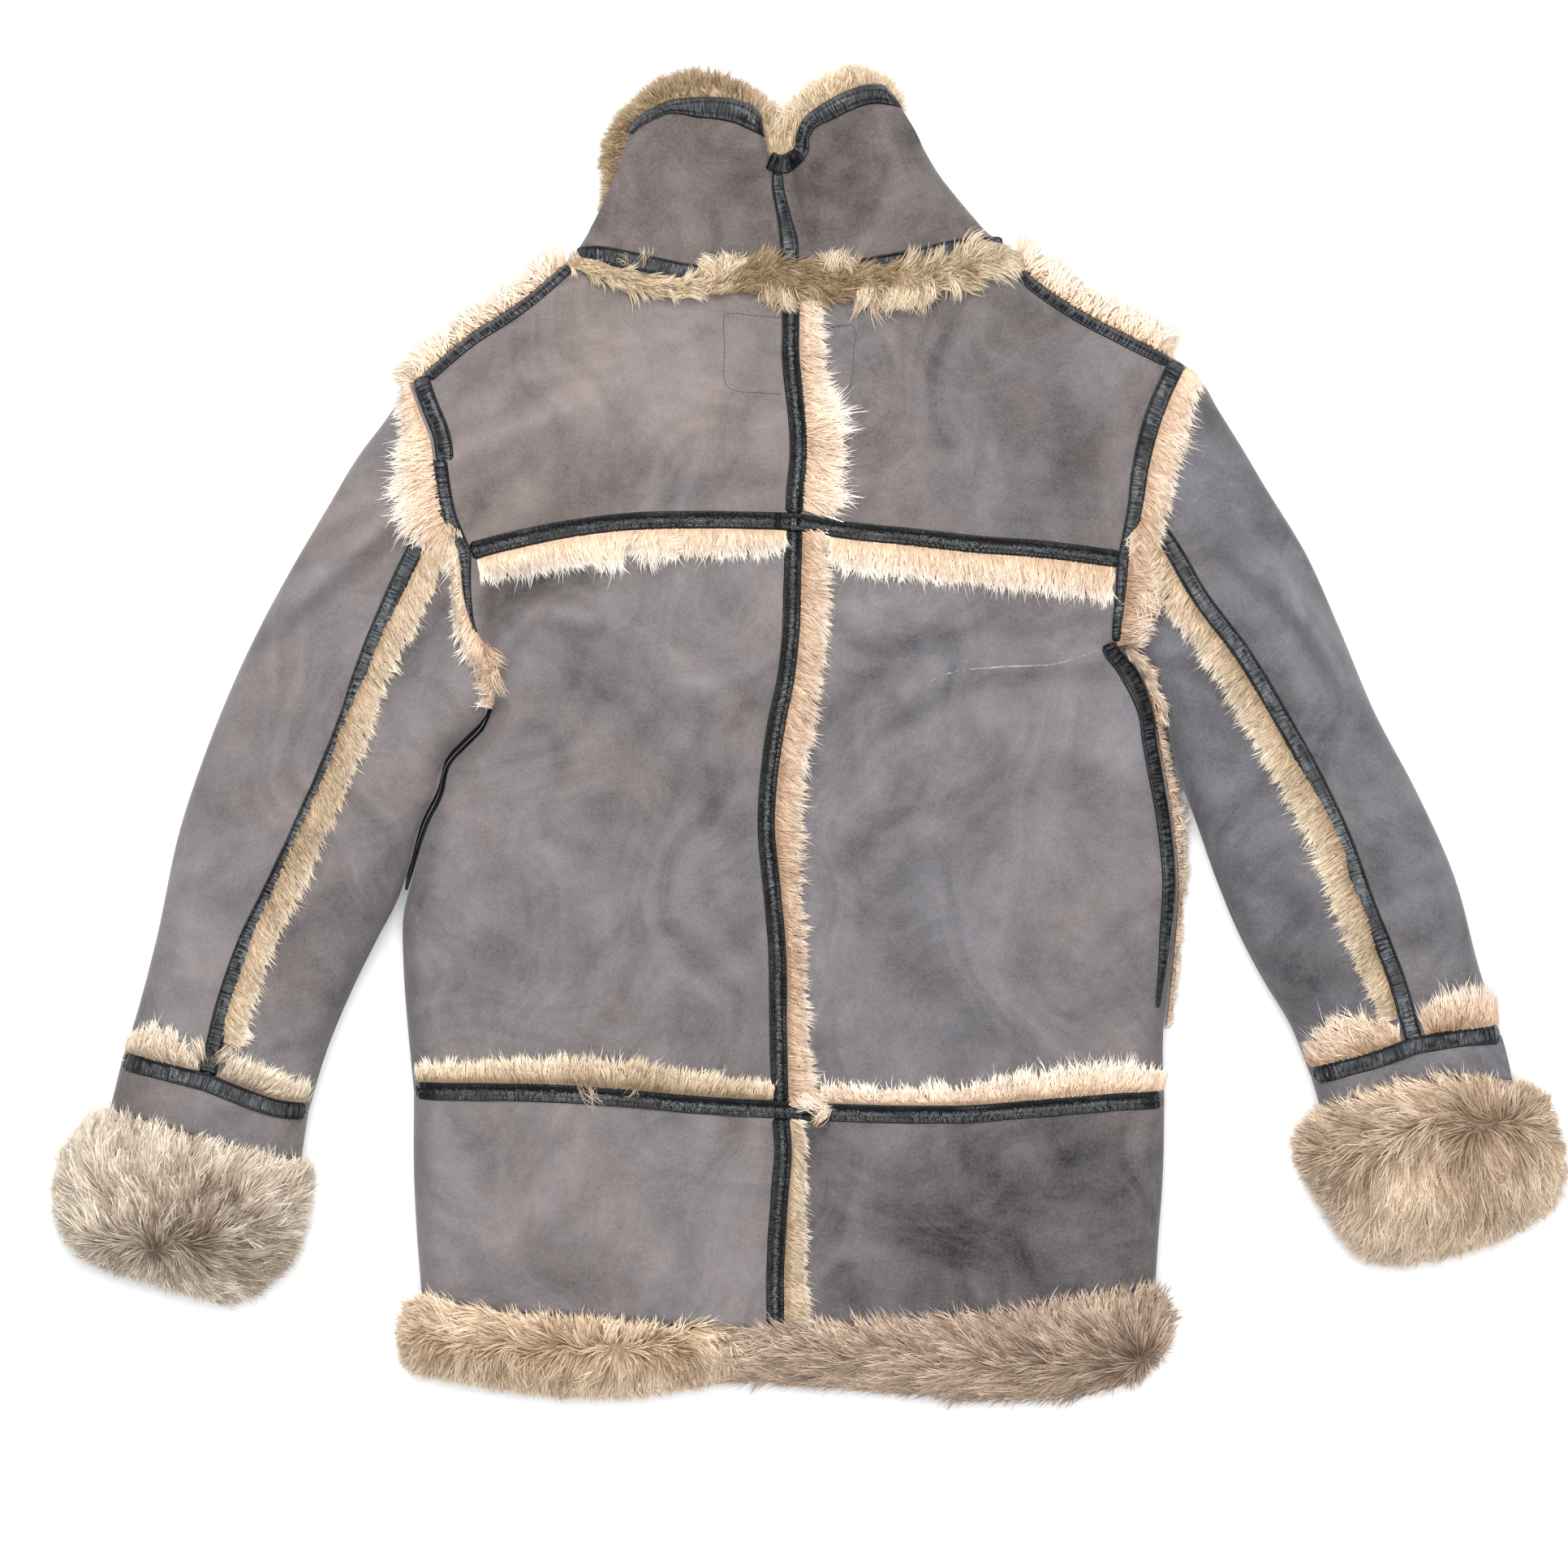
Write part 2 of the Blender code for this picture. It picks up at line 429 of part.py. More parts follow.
def coons(bottom, top, left, right):
    """Plan grid between four rows of edge points, rows going up and columns going across."""
    columns = length_along(top)
    rows = length_along(left)
    u = (columns / columns[-1])[None, :, None]
    v = (rows / rows[-1])[:, None, None]
    low, high = bottom[None], top[None]
    near, far = left[:, None], right[:, None]
    near = near + (1 - v) * (bottom[0] - left[0]) + v * (top[0] - left[-1])
    far = far + (1 - v) * (bottom[-1] - right[0]) + v * (top[-1] - right[-1])
    corners = ((1 - u) * (1 - v) * bottom[0] + u * (1 - v) * bottom[-1]
               + (1 - u) * v * top[0] + u * v * top[-1])
    return (1 - v) * low + v * high + (1 - u) * near + u * far - corners


def shares_of(points):
    """Share of the whole length at each of a row of points."""
    run = length_along(points)
    return run / run[-1]


def inset(plan, bottom=SEAM_INSET, top=SEAM_INSET, left=SEAM_INSET, right=SEAM_INSET):
    """The grid with its four edges moved inwards."""
    def step(first, second, size):
        run = second - first
        return first + size * run / np.linalg.norm(run, axis=-1, keepdims=True)
    moved = plan.copy()
    moved[0] = step(moved[0], moved[1], bottom)
    moved[-1] = step(moved[-1], moved[-2], top)
    moved[:, 0] = step(moved[:, 0], moved[:, 1], left)
    moved[:, -1] = step(moved[:, -1], moved[:, -2], right)
    return moved


def from_edge(length, count):
    """Shares that crowd at the start, where a folded edge rounds over."""
    crowded = np.array(EDGE_COLUMNS) / length
    return np.concatenate([crowded, np.linspace(crowded[-1], 1, count)[1:]])


def to_edge(length, count):
    """Shares that crowd at the end."""
    return 1 - from_edge(length, count)[::-1]


def between_edges(length, count):
    """Shares that crowd at both ends."""
    crowded = np.array(EDGE_COLUMNS) / length
    middle = np.linspace(crowded[-1], 1 - crowded[-1], count)[1:-1]
    return np.concatenate([crowded, middle, 1 - crowded[::-1]])


def ribbon(path, offsets, rows):
    """Plan grid along a path. Offsets are to the left of the path, one column for each."""
    shares = np.linspace(0, 1, rows)
    step = 0.5 / rows
    points = at(path, shares)
    run = at(path, np.minimum(shares + step, 1)) - at(path, np.maximum(shares - step, 0))
    run /= np.linalg.norm(run, axis=1, keepdims=True)
    left = np.stack([-run[:, 1], run[:, 0]], axis=1)
    columns = [points + left * np.broadcast_to(offset, rows)[:, None] for offset in offsets]
    return np.stack(columns, axis=1)


def add_material(name, finish):
    """A Principled material with a finish's colour, roughness and metallic value."""
    colour, roughness, metallic = finish
    material = bpy.data.materials.new(name)
    material.use_nodes = True
    shader = material.node_tree.nodes["Principled BSDF"]
    shader.inputs["Base Color"].default_value = (*colour, 1.0)
    shader.inputs["Roughness"].default_value = roughness
    shader.inputs["Metallic"].default_value = metallic
    return material


def add_piece(name, points, faces, finish):
    """One closed piece from points in millimetres."""
    form = bmesh.new()
    corners = [form.verts.new(Vector(point) * MILLIMETRE) for point in points]
    for face in faces:
        form.faces.new([corners[index] for index in face])
    bmesh.ops.recalc_face_normals(form, faces=form.faces)
    bmesh.ops.triangulate(form, faces=form.faces, quad_method="SHORT_EDGE", ngon_method="EAR_CLIP")
    mesh = bpy.data.meshes.new(name)
    form.to_mesh(mesh)
    form.free()
    mesh.materials.append(add_material(name + "_finish", finish))
    mesh.shade_smooth()
    mesh.set_sharp_from_angle(angle=np.radians(50))
    piece = bpy.data.objects.new(name, mesh)
    bpy.context.collection.objects.link(piece)
    return piece


def grid_faces(index):
    """Quads between neighbouring entries of a grid of point numbers."""
    return [
        (index[row, column], index[row, column + 1], index[row + 1, column + 1], index[row + 1, column])
        for row in range(index.shape[0] - 1)
        for column in range(index.shape[1] - 1)
    ]


def strip_faces(first, second):
    """Quads between two lists of point numbers of one length."""
    return grid_faces(np.stack([first, second]))


def lifted(plan, height):
    """Points of a plan grid at their heights."""
    flat_height = np.broadcast_to(height, plan.shape[:-1]).reshape(-1, 1)
    return np.concatenate([plan.reshape(-1, 2), flat_height], axis=1)


def slab(name, plan, top, bottom, finish):
    """A wall between two heights over a plan grid."""
    shape = plan.shape[:-1]
    count = shape[0] * shape[1]
    upper = np.arange(count).reshape(shape)
    lower = upper + count
    faces = grid_faces(upper) + grid_faces(lower)
    for edge in (np.s_[0], np.s_[-1], np.s_[:, 0], np.s_[:, -1]):
        faces += strip_faces(upper[edge], lower[edge])
    return add_piece(name, np.vstack([lifted(plan, top), lifted(plan, bottom)]), faces, finish)


def folded(name, plan, top, bottom, finish, closed=False):
    """A wall that folds over at the grid's last column, and at its first too if closed.

    The two layers have a slit between them that ends short of each fold.
    """
    shape = plan.shape[:-1]
    last = shape[1] - 1
    first_inner = FOLD_COLUMNS if closed else 0
    last_inner = last - FOLD_COLUMNS
    inner_plan = plan[:, first_inner:last_inner + 1]
    parts = [
        lifted(plan, top), lifted(plan, bottom),
        lifted(inner_plan, LAYER_MEET + SLEEVE_SLIT / 2), lifted(inner_plan, LAYER_MEET - SLEEVE_SLIT / 2),
    ]
    starts = np.cumsum([0] + [len(part) for part in parts])
    over, under = (np.arange(starts[k], starts[k + 1]).reshape(shape) for k in (0, 1))
    inner_over, inner_under = (
        np.arange(starts[k], starts[k + 1]).reshape(inner_plan.shape[:-1]) for k in (2, 3))
    faces = grid_faces(over) + grid_faces(under) + grid_faces(inner_over) + grid_faces(inner_under)
    faces += strip_faces(over[:, last], under[:, last]) + strip_faces(inner_over[:, -1], inner_under[:, -1])
    if closed:
        faces += strip_faces(over[:, 0], under[:, 0]) + strip_faces(inner_over[:, 0], inner_under[:, 0])
    else:
        faces += strip_faces(over[:, 0], inner_over[:, 0]) + strip_faces(under[:, 0], inner_under[:, 0])
    for row in (0, -1):
        faces += strip_faces(over[row, first_inner:last_inner + 1], inner_over[row])
        faces += strip_faces(under[row, first_inner:last_inner + 1], inner_under[row])
        faces.append([*over[row, last_inner:], *under[row, last_inner:][::-1],
                      inner_under[row, -1], inner_over[row, -1]])
        if closed:
            faces.append([*over[row, :first_inner + 1], inner_over[row, 0], inner_under[row, 0],
                          *under[row, :first_inner + 1][::-1]])
    return add_piece(name, np.vstack(parts), faces, finish)


def heap():
    """Everything made so far, to cast rays at."""
    points = []
    faces = []
    for piece in bpy.context.collection.objects:
        start = len(points)
        points += [vertex.co / MILLIMETRE for vertex in piece.data.vertices]
        faces += [[start + corner for corner in face.vertices] for face in piece.data.polygons]
    return BVHTree.FromPolygons(points, faces)


SAMPLES = (0.0, 0.17, 0.33, 0.5, 0.67, 0.83, 1.0)
ABOVE_ALL = 300.0


def shortfall(plan, height, tree, row, column):
    """How far one quad of a grid must rise to clear what it lies on."""
    corners = plan[row:row + 2, column:column + 2]
    z = height[row:row + 2, column:column + 2]
    most = 0.0
    for u in SAMPLES:
        for v in SAMPLES:
            place = ((1 - v) * ((1 - u) * corners[0, 0] + u * corners[0, 1])
                     + v * ((1 - u) * corners[1, 0] + u * corners[1, 1]))
            hit = tree.ray_cast(Vector((*place, ABOVE_ALL)), Vector((0, 0, -1)))[0]
            if hit is None:
                continue
            if u >= v:
                first = z[0, 0] + u * (z[0, 1] - z[0, 0]) + v * (z[1, 1] - z[0, 1])
            else:
                first = z[0, 0] + v * (z[1, 0] - z[0, 0]) + u * (z[1, 1] - z[1, 0])
            if u + v <= 1:
                second = z[0, 0] + u * (z[0, 1] - z[0, 0]) + v * (z[1, 0] - z[0, 0])
            else:
                second = z[1, 1] + (1 - u) * (z[1, 0] - z[1, 1]) + (1 - v) * (z[0, 1] - z[1, 1])
            most = max(most, hit.z + LYING_LIFT - min(first, second))
    return most


def lying(plan, passes=4):
    """Height of a strip's underside, laid on everything made so far."""
    tree = heap()
    height = back_height(plan) + LYING_LIFT
    for _ in range(passes):
        raised = height.copy()
        for row in range(plan.shape[0] - 1):
            for column in range(plan.shape[1] - 1):
                rise = shortfall(plan, height, tree, row, column)
                corner = np.s_[row:row + 2, column:column + 2]
                raised[corner] = np.maximum(raised[corner], height[corner] + rise)
        height = raised
    return height


def end_taper(rows):
    """Share of full height along a strip, lower at its two ends."""
    shares = np.linspace(0, 1, rows)
    return (FUR_END_SHARE + (1 - FUR_END_SHARE) * np.sin(np.pi * shares) ** 0.5)[:, None]


def back_wall(name, plan):
    """A suede panel of the back layer."""
    top = back_height(plan)
    slab(name, plan, top, np.maximum(top - WALL, LAYER_MEET + LAYER_GAP / 2), SUEDE)


def yoke_edge(side):
    """Points up the armhole from the yoke seam to the shoulder."""
    return at(PATHS[f"armhole_{side}_high"][::-1], YOKE_ROWS)


def main_edge(side):
    """Points up the side edge from the hip seam to the armpit, and up the armhole to the yoke."""
    armpit = ARMPITS[side]
    rows = np.array(MAIN_ROWS)
    edge = at(PATHS[f"side_{side}_main"][::-1], np.clip(rows / armpit, 0, 1))
    armhole = at(PATHS[f"armhole_{side}_low"][::-1], np.clip((rows - armpit) / (1 - armpit), 0, 1))
    return np.where((rows <= armpit)[:, None], edge, armhole)


def front_edge(side):
    """Points up a front's side: fewer at the side seam, all of them at the armhole."""
    main = main_edge(side)
    armpit_row = MAIN_ROWS.index(ARMPITS[side])
    hem = at(PATHS[f"side_{side}_hem"][::-1], (0.0, 0.5))
    return np.vstack([hem, main[:armpit_row:2], main[armpit_row:], yoke_edge(side)[1:]])


def top_edge(side, shoulder_columns, neck_columns):
    """Points along the shoulder and the neck, from left to right."""
    neck_shares = np.array(neck_columns[1:])
    if side == "left":
        shoulder = at(PATHS["shoulder_left"], shoulder_columns)
        return np.vstack([shoulder, at(PATHS["neck_left"], neck_shares)])
    shoulder = at(PATHS["shoulder_right"][::-1], shoulder_columns)
    return np.vstack([shoulder, at(PATHS["neck_right"][::-1], neck_shares)])[::-1]


def outward(side, bottom, top, edge, middle):
    """Plan grid of a panel that lies to one side of the middle."""
    if side == "left":
        return coons(bottom, top, edge, middle)
    return coons(bottom, top, middle, edge)


def body_panels():
    """Yoke, main and hem panels of the back, and the two fronts beneath."""
    hem_halves = dict(zip(("left", "right"), cut_at(PATHS["hem"], CENTRE_HEM[-1][0])))
    front_hems = dict(zip(("left", "right"), cut_at(PATHS["hem"], FRONT_OPENING[-1][0])))
    hem_rows = np.linspace(0, 1, 6)
    for side in ("left", "right"):
        across = from_edge(HALF_BODY, 6) if side == "left" else to_edge(HALF_BODY, 6)
        yoke_seam = PATHS[f"yoke_{side}"]
        top = top_edge(side, SHOULDER_COLUMNS, NECK_COLUMNS)
        back_wall(f"back_yoke_{side}", inset(outward(
            side, at(yoke_seam, shares_of(top)), top, yoke_edge(side),
            at(PATHS["centre_yoke"][::-1], YOKE_ROWS))))
        back_wall(f"back_main_{side}", inset(outward(
            side, at(PATHS[f"hip_{side}"], across), at(yoke_seam, across), main_edge(side),
            at(PATHS["centre_main"][::-1], MAIN_ROWS))))
        back_wall(f"back_hem_{side}", inset(outward(
            side, at(hem_halves[side], across), at(PATHS[f"hip_{side}"], across),
            at(PATHS[f"side_{side}_hem"][::-1], hem_rows), at(PATHS["centre_hem"][::-1], hem_rows))))

        top = top_edge(side, FRONT_SHOULDER_COLUMNS, FRONT_NECK_COLUMNS)
        edge = front_edge(side)
        plan = inset(outward(side, at(front_hems[side], shares_of(top)), top, edge,
                             at(PATHS["front_opening"][::-1], shares_of(edge))))
        slab(f"front_{side}", plan, LAYER_MEET - LAYER_GAP / 2, front_height(plan), SUEDE)


def collar_grid(side, columns):
    """Plan grid of one side of the collar."""
    rows = np.linspace(0, 1, 9)
    middle = at(join(PATHS["collar_centre"], PATHS[f"notch_{side}"]), rows)
    if side == "left":
        fold = at(PATHS["fold_left"], rows)
        return inset(coons(at(PATHS["neck_left"], columns), at(PATHS["collar_top_left"], columns),
                           fold, middle))
    across = 1 - np.array(columns)[::-1]
    fold = at(PATHS["fold_right"], rows)
    return inset(coons(at(PATHS["neck_right"], across), at(PATHS["collar_top_right"], across), middle, fold))


def parting(plan):
    """How far the collar's halves part for the fur between them, from 0 at a fold to 1."""
    return soft_step((edge_distance(plan) - 8) / 8)


def collar_panels():
    """Back and front halves of the collar, with room between them for its fur."""
    for side in ("left", "right"):
        plan = collar_grid(side, COLLAR_BACK_COLUMNS)
        under = LAYER_MEET + LAYER_GAP / 2 + (COLLAR_BACK_UNDERSIDE - LAYER_MEET) * parting(plan)
        slab(f"collar_back_{side}", plan, back_height(plan), under, SUEDE)
        plan = collar_grid(side, COLLAR_FRONT_COLUMNS)
        over = LAYER_MEET - LAYER_GAP / 2 - (LAYER_MEET - COLLAR_FRONT_TOP) * parting(plan)
        slab(f"collar_front_{side}", plan, over, front_height(plan), SUEDE)


def collar_fur():
    """The collar's inner fur, between its halves and out past its top edge."""
    table = np.array(COLLAR_FUR, float)
    root, tip, depth = table[:, 0:2], table[:, 2:4], table[:, 4:5]
    shares = np.array(COLLAR_FUR_COLUMNS)[None, :, None]
    plan = root[:, None] * (1 - shares) + tip[:, None] * shares
    outline = join(PATHS["neck"], PATHS["fold_right"], PATHS["collar_top_right"][::-1],
                   PATHS["notch_right"][::-1], PATHS["notch_left"], PATHS["collar_top_left"][::-1],
                   PATHS["fold_left"][::-1])
    places = plan.reshape(-1, 2)
    beyond = np.where(inside(outline, places), 0, distance_to(outline, places)).reshape(plan.shape[:-1])
    swell = soft_step((beyond - 6) / 6)
    droop = soft_step((np.array(COLLAR_FUR_COLUMNS) - 0.75) / 0.25)
    top = COLLAR_BACK_UNDERSIDE - COLLAR_FUR_GAP + COLLAR_FUR_RISE * swell - COLLAR_FUR_DROOP * droop
    bottom = COLLAR_FRONT_TOP + COLLAR_FUR_GAP + COLLAR_FUR_DROP * (droop - swell)
    top = LAYER_MEET + (top - LAYER_MEET) * depth
    bottom = LAYER_MEET + (bottom - LAYER_MEET) * depth
    slab("fur_collar", plan, top, bottom, CREAM_FUR)


def sleeve(side):
    """Outer and inner sleeve panels, each folded at its edge, and the suede cuff."""
    high = yoke_edge(side)[1:]
    low = main_edge(side)[MAIN_ROWS.index(ARMPITS[side]):][::-1]
    low = np.vstack([high[:1], low[:-1], PATHS[f"sleeve_{side}_inner"][:1]])
    rows = np.linspace(0, 1, SLEEVE_ROWS)
    seam = at(np.vstack([high[:1], PATHS[f"sleeve_{side}_seam"][1:]])[::-1], rows)
    cuff_lines = {"outer": PATHS[f"cuff_{side}_outer"], "inner": PATHS[f"cuff_{side}_inner"]}
    toward_seam = "outer" if side == "left" else "inner"
    cuff_lines[toward_seam] = cuff_lines[toward_seam][::-1]
    for part, head in (("outer", high), ("inner", low)):
        edge = at(PATHS[f"sleeve_{side}_{part}"][::-1], rows)
        plan = inset(coons(at(cuff_lines[part], shares_of(head)), head, seam, edge), right=0.0)
        folded(f"sleeve_{side}_{part}", plan, back_height(plan), front_height(plan), SUEDE)

    across = between_edges(CUFF_WIDTH, 5)
    top_line = at(PATHS[f"cuff_{side}_seam"], across)
    end_line = at(PATHS[f"cuff_{side}_end"], across)
    rows = np.linspace(0, 1, 4)
    left_edge = at(np.stack([end_line[0], top_line[0]]), rows)
    right_edge = at(np.stack([end_line[-1], top_line[-1]]), rows)
    plan = inset(coons(end_line, top_line, left_edge, right_edge), top=CUFF_INSET, left=0.0, right=0.0)
    folded(f"cuff_{side}", plan, back_height(plan), front_height(plan), SUEDE, closed=True)


def deep_fur(plan, free_edges, root_edge, level, reach):
    """Top and bottom of a deep fur band, low at its root and rounded at its free edges."""
    places = plan.reshape(-1, 2)
    shape = plan.shape[:-1]
    free = np.min([distance_to(edge, places) for edge in free_edges], axis=0).reshape(shape)
    from_root = distance_to(root_edge, places).reshape(shape)
    height = FUR_ROOT_LEVEL + (level - FUR_ROOT_LEVEL) * soft_step(from_root / (0.6 * reach))
    top = LAYER_MEET + (height - LAYER_MEET) * edge_rise(free, reach)
    return top, LAYER_MEET * (1 - edge_rise(free, 0.5 * reach))


def fur_cuff(side, table_end, table_left, table_right):
    """The deep fur tube at a sleeve's end, open at the hand."""
    left_edge, right_edge = smooth(table_left)[::-1], smooth(table_right)[::-1]
    cuff_end = at(PATHS[f"cuff_{side}_end"], between_edges(CUFF_WIDTH, 5))
    root = np.vstack([left_edge[-1:], cuff_end, right_edge[-1:]])
    end_line = smooth(table_end)
    rows = np.linspace(0, 1, 8)
    plan = coons(at(end_line, shares_of(root)), root, at(left_edge, rows), at(right_edge, rows))
    plan = inset(plan, bottom=0, left=0, right=0, top=LAYER_GAP)
    top, bottom = deep_fur(plan, (end_line, left_edge, right_edge), root, FUR_CUFF_LEVEL, FUR_CUFF_ROUND)
    folded("fur_cuff_" + side, plan, top, bottom, BROWN_FUR, closed=True)


def fur_hem(side, end_line, side_edge):
    """Half of the deep fur round the hem, folded at the side seam."""
    hem_left, hem_right = cut_at(PATHS["hem"], FRONT_OPENING[-1][0])
    hem_line = hem_left[::-1] if side == "left" else hem_right
    root = np.vstack([hem_line, side_edge[:1]])
    split = np.stack([end_line[0], root[0]])
    across = to_edge(HALF_HEM, 7)
    rows = np.linspace(0, 1, 7)
    plan = coons(at(end_line, across), at(root, across), at(split, rows), at(side_edge[::-1], rows))
    plan = inset(plan, bottom=0, right=0, top=FUR_ROOT_INSET)
    top, bottom = deep_fur(plan, (end_line, side_edge), root, FUR_HEM_LEVEL, FUR_HEM_ROUND)
    folded("fur_hem_" + side, plan, top, bottom, BROWN_FUR)


def tapes():
    """Leather tapes over the seams."""
    for name, path_name, start, end, rows in TAPES:
        plan = ribbon(trimmed(PATHS[path_name], start, end), (-TAPE_HALF, 0.0, TAPE_HALF), rows)
        bottom = lying(plan)
        slab(name, plan, bottom + (TAPE_EDGE, TAPE_CROWN, TAPE_EDGE), bottom, LEATHER)

    near, far = SHOULDER_TAPE
    for name, path, start, end in (
        ("tape_shoulder_left", PATHS["shoulder_left"], 10.0, 10.0),
        ("tape_shoulder_right", PATHS["shoulder_right"], 26.0, 10.0),
    ):
        plan = ribbon(trimmed(path, start, end), (-near, -near - 2.5, -near - 5.0, -far), 9)
        bottom = lying(plan)
        slab(name, plan, bottom + (TAPE_EDGE, TAPE_CROWN, TAPE_CROWN, TAPE_EDGE), bottom, LEATHER)

    path = trimmed(PATHS["side_right_main"], 10.0, 95.0)
    plan = ribbon(path, (-1.0, -3.5, -6.5, -10.5), 16)
    bottom = lying(plan)
    slab("tape_side_right", plan, bottom + (TAPE_EDGE, TAPE_CROWN, TAPE_CROWN, TAPE_EDGE), bottom, LEATHER)


def collar_edge_tapes():
    """Leather binding over the collar's top edge, one length on each lobe."""
    widths_left = np.interp(np.linspace(0, 1, 16), (0, 0.12, 0.72, 0.8, 1), (7, 10.5, 10.5, 4.5, 3.5))
    widths_right = np.interp(np.linspace(0, 1, 15), (0, 0.25, 0.4, 1), (5.0, 7.0, 10.5, 10.5))
    left = trimmed(join(PATHS["collar_top_left"], PATHS["notch_left"][::-1]), 1.0, 9.0)
    right = trimmed(join(PATHS["notch_right"], PATHS["collar_top_right"]), 3.0, 1.0)
    for name, path, widths in (("tape_collar_edge_left", left, widths_left),
                               ("tape_collar_edge_right", right, widths_right)):
        lip = ribbon(path, (LIP_OUTER, LIP_INNER), len(widths))
        over = ribbon(path, (LIP_INNER - 0.1, -0.5 * widths, -widths), len(widths))
        over_bottom = lying(over)
        lip_bottom = np.full(lip.shape[:-1], COLLAR_BACK_UNDERSIDE + LIP_CLEARANCE)
        over_top = over_bottom + (TAPE_CROWN, TAPE_CROWN, TAPE_EDGE)
        lip_top = over_top[:, :1] + (-LIP_DEPTH, 0.0)
        slab(name, np.concatenate([lip, over], axis=1), np.concatenate([lip_top, over_top], axis=1),
             np.concatenate([lip_bottom, over_bottom], axis=1), LEATHER)


def fur_strips():
    """Strips of fur that lie beside the tapes."""
    for name, path_name, start, end, side, reach, height, rows in FUR_STRIPS:
        shares = np.linspace(0, 1, rows)
        knots, reaches = np.array(reach).T
        far = np.interp(shares, knots, reaches)
        offsets = [side * (FUR_ROOT + (far - FUR_ROOT) * share) for share in FUR_COLUMNS]
        plan = ribbon(trimmed(PATHS[path_name], start, end), offsets, rows)
        bottom = lying(plan)
        slab(name, plan, bottom + height * np.array(FUR_PROFILE) * end_taper(rows), bottom, CREAM_FUR)


def edge_fur():
    """Fur that hangs off the shoulder seams and the right side seam down to the floor."""
    for name, path, start, end, clear, reach in (
        ("fur_shoulder_left", PATHS["shoulder_left"], 5.0, 12.0, SHOULDER_CLEARANCE_LEFT, 16.0),
        ("fur_shoulder_right", PATHS["shoulder_right"], 10.0, 8.0, SHOULDER_CLEARANCE_RIGHT, 19.0),
    ):
        offsets = [clear + (reach - clear) * share for share in SHOULDER_FUR_COLUMNS]
        plan = ribbon(trimmed(path, start, end), offsets, 9)
        slab(name, plan, np.array(SHOULDER_FUR_TOPS) * end_taper(9), 0.0, CREAM_FUR)
    inner, outer = smooth(SIDE_FUR_INNER), smooth(SIDE_FUR_OUTER)
    along = np.linspace(0, 1, 14)
    shares = np.array(SIDE_FUR_COLUMNS)[None, :, None]
    plan = (1 - shares) * at(inner, along)[:, None] + shares * at(outer, along)[:, None]
    slab("fur_side_right", plan, np.array(SIDE_FUR_TOPS) * end_taper(14), 0.0, CREAM_FUR)


def neck_fur():
    """The curly strip of fur over the neck seam."""
    table = np.array(NECK_FUR, float)
    widths = table[:, 2]
    plan = ribbon(smooth(table[:, :2]), [share * widths for share in NECK_FUR_COLUMNS], len(table))
    bottom = lying(plan)
    top = bottom + NECK_FUR_HEIGHT * np.array(NECK_FUR_PROFILE) * end_taper(len(table))
    slab("fur_neck", plan, top, bottom, CREAM_FUR)


def main():
    for leftover in list(bpy.data.objects):
        bpy.data.objects.remove(leftover, do_unlink=True)
    body_panels()
    collar_panels()
    collar_fur()
    sleeve("left")
    sleeve("right")
    fur_cuff("left", FUR_CUFF_LEFT_END, FUR_CUFF_LEFT_OUTER, FUR_CUFF_LEFT_INNER)
    fur_cuff("right", FUR_CUFF_RIGHT_END, FUR_CUFF_RIGHT_INNER, FUR_CUFF_RIGHT_OUTER)
    fur_hem("left", smooth(FUR_HEM_END_LEFT), smooth(FUR_HEM_SIDE_LEFT))
    fur_hem("right", smooth(FUR_HEM_END_RIGHT), smooth(FUR_HEM_SIDE_RIGHT))
    tapes()
    collar_edge_tapes()
    edge_fur()
    fur_strips()
    neck_fur()


main()
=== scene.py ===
"""Looks of a shearling coat laid flat on its front, so that its back shows.

Tables are in millimetres from the middle of the coat: across runs to the right, up runs
towards the collar and height runs off the floor. The paths are those of the solids, so each
piece lies where the solid it stands for lies.
"""

import bpy
import numpy as np
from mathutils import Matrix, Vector
from mathutils.bvhtree import BVHTree


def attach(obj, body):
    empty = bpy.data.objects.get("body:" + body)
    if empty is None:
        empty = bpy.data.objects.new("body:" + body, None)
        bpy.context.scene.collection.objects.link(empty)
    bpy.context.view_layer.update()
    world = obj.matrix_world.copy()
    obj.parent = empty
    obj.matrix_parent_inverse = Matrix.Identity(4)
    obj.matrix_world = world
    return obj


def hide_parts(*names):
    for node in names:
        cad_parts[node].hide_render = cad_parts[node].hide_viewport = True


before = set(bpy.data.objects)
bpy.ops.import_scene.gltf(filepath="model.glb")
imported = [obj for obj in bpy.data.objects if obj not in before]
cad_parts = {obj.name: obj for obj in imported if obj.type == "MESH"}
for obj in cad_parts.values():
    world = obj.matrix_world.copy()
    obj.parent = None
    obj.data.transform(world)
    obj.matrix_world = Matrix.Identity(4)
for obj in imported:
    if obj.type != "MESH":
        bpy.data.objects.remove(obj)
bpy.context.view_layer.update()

MILLIMETRE = 0.001

# Heights and thicknesses.
LAYER_MEET = 21.0
BACK_LEVEL = 42.0
LAYER_GAP = 0.3
BACK_FLOOR = LAYER_MEET + LAYER_GAP / 2
FRONT_CEILING = LAYER_MEET - LAYER_GAP / 2
HIDE = 2.6
COLLAR_BACK_UNDERSIDE = 30.0
COLLAR_FRONT_TOP = 9.0
FUR_CUFF_LEVEL = 66.0
FUR_CUFF_ROUND = 42.0
FUR_HEM_LEVEL = 55.0
FUR_HEM_ROUND = 34.0
FUR_ROOT_LEVEL = 46.0

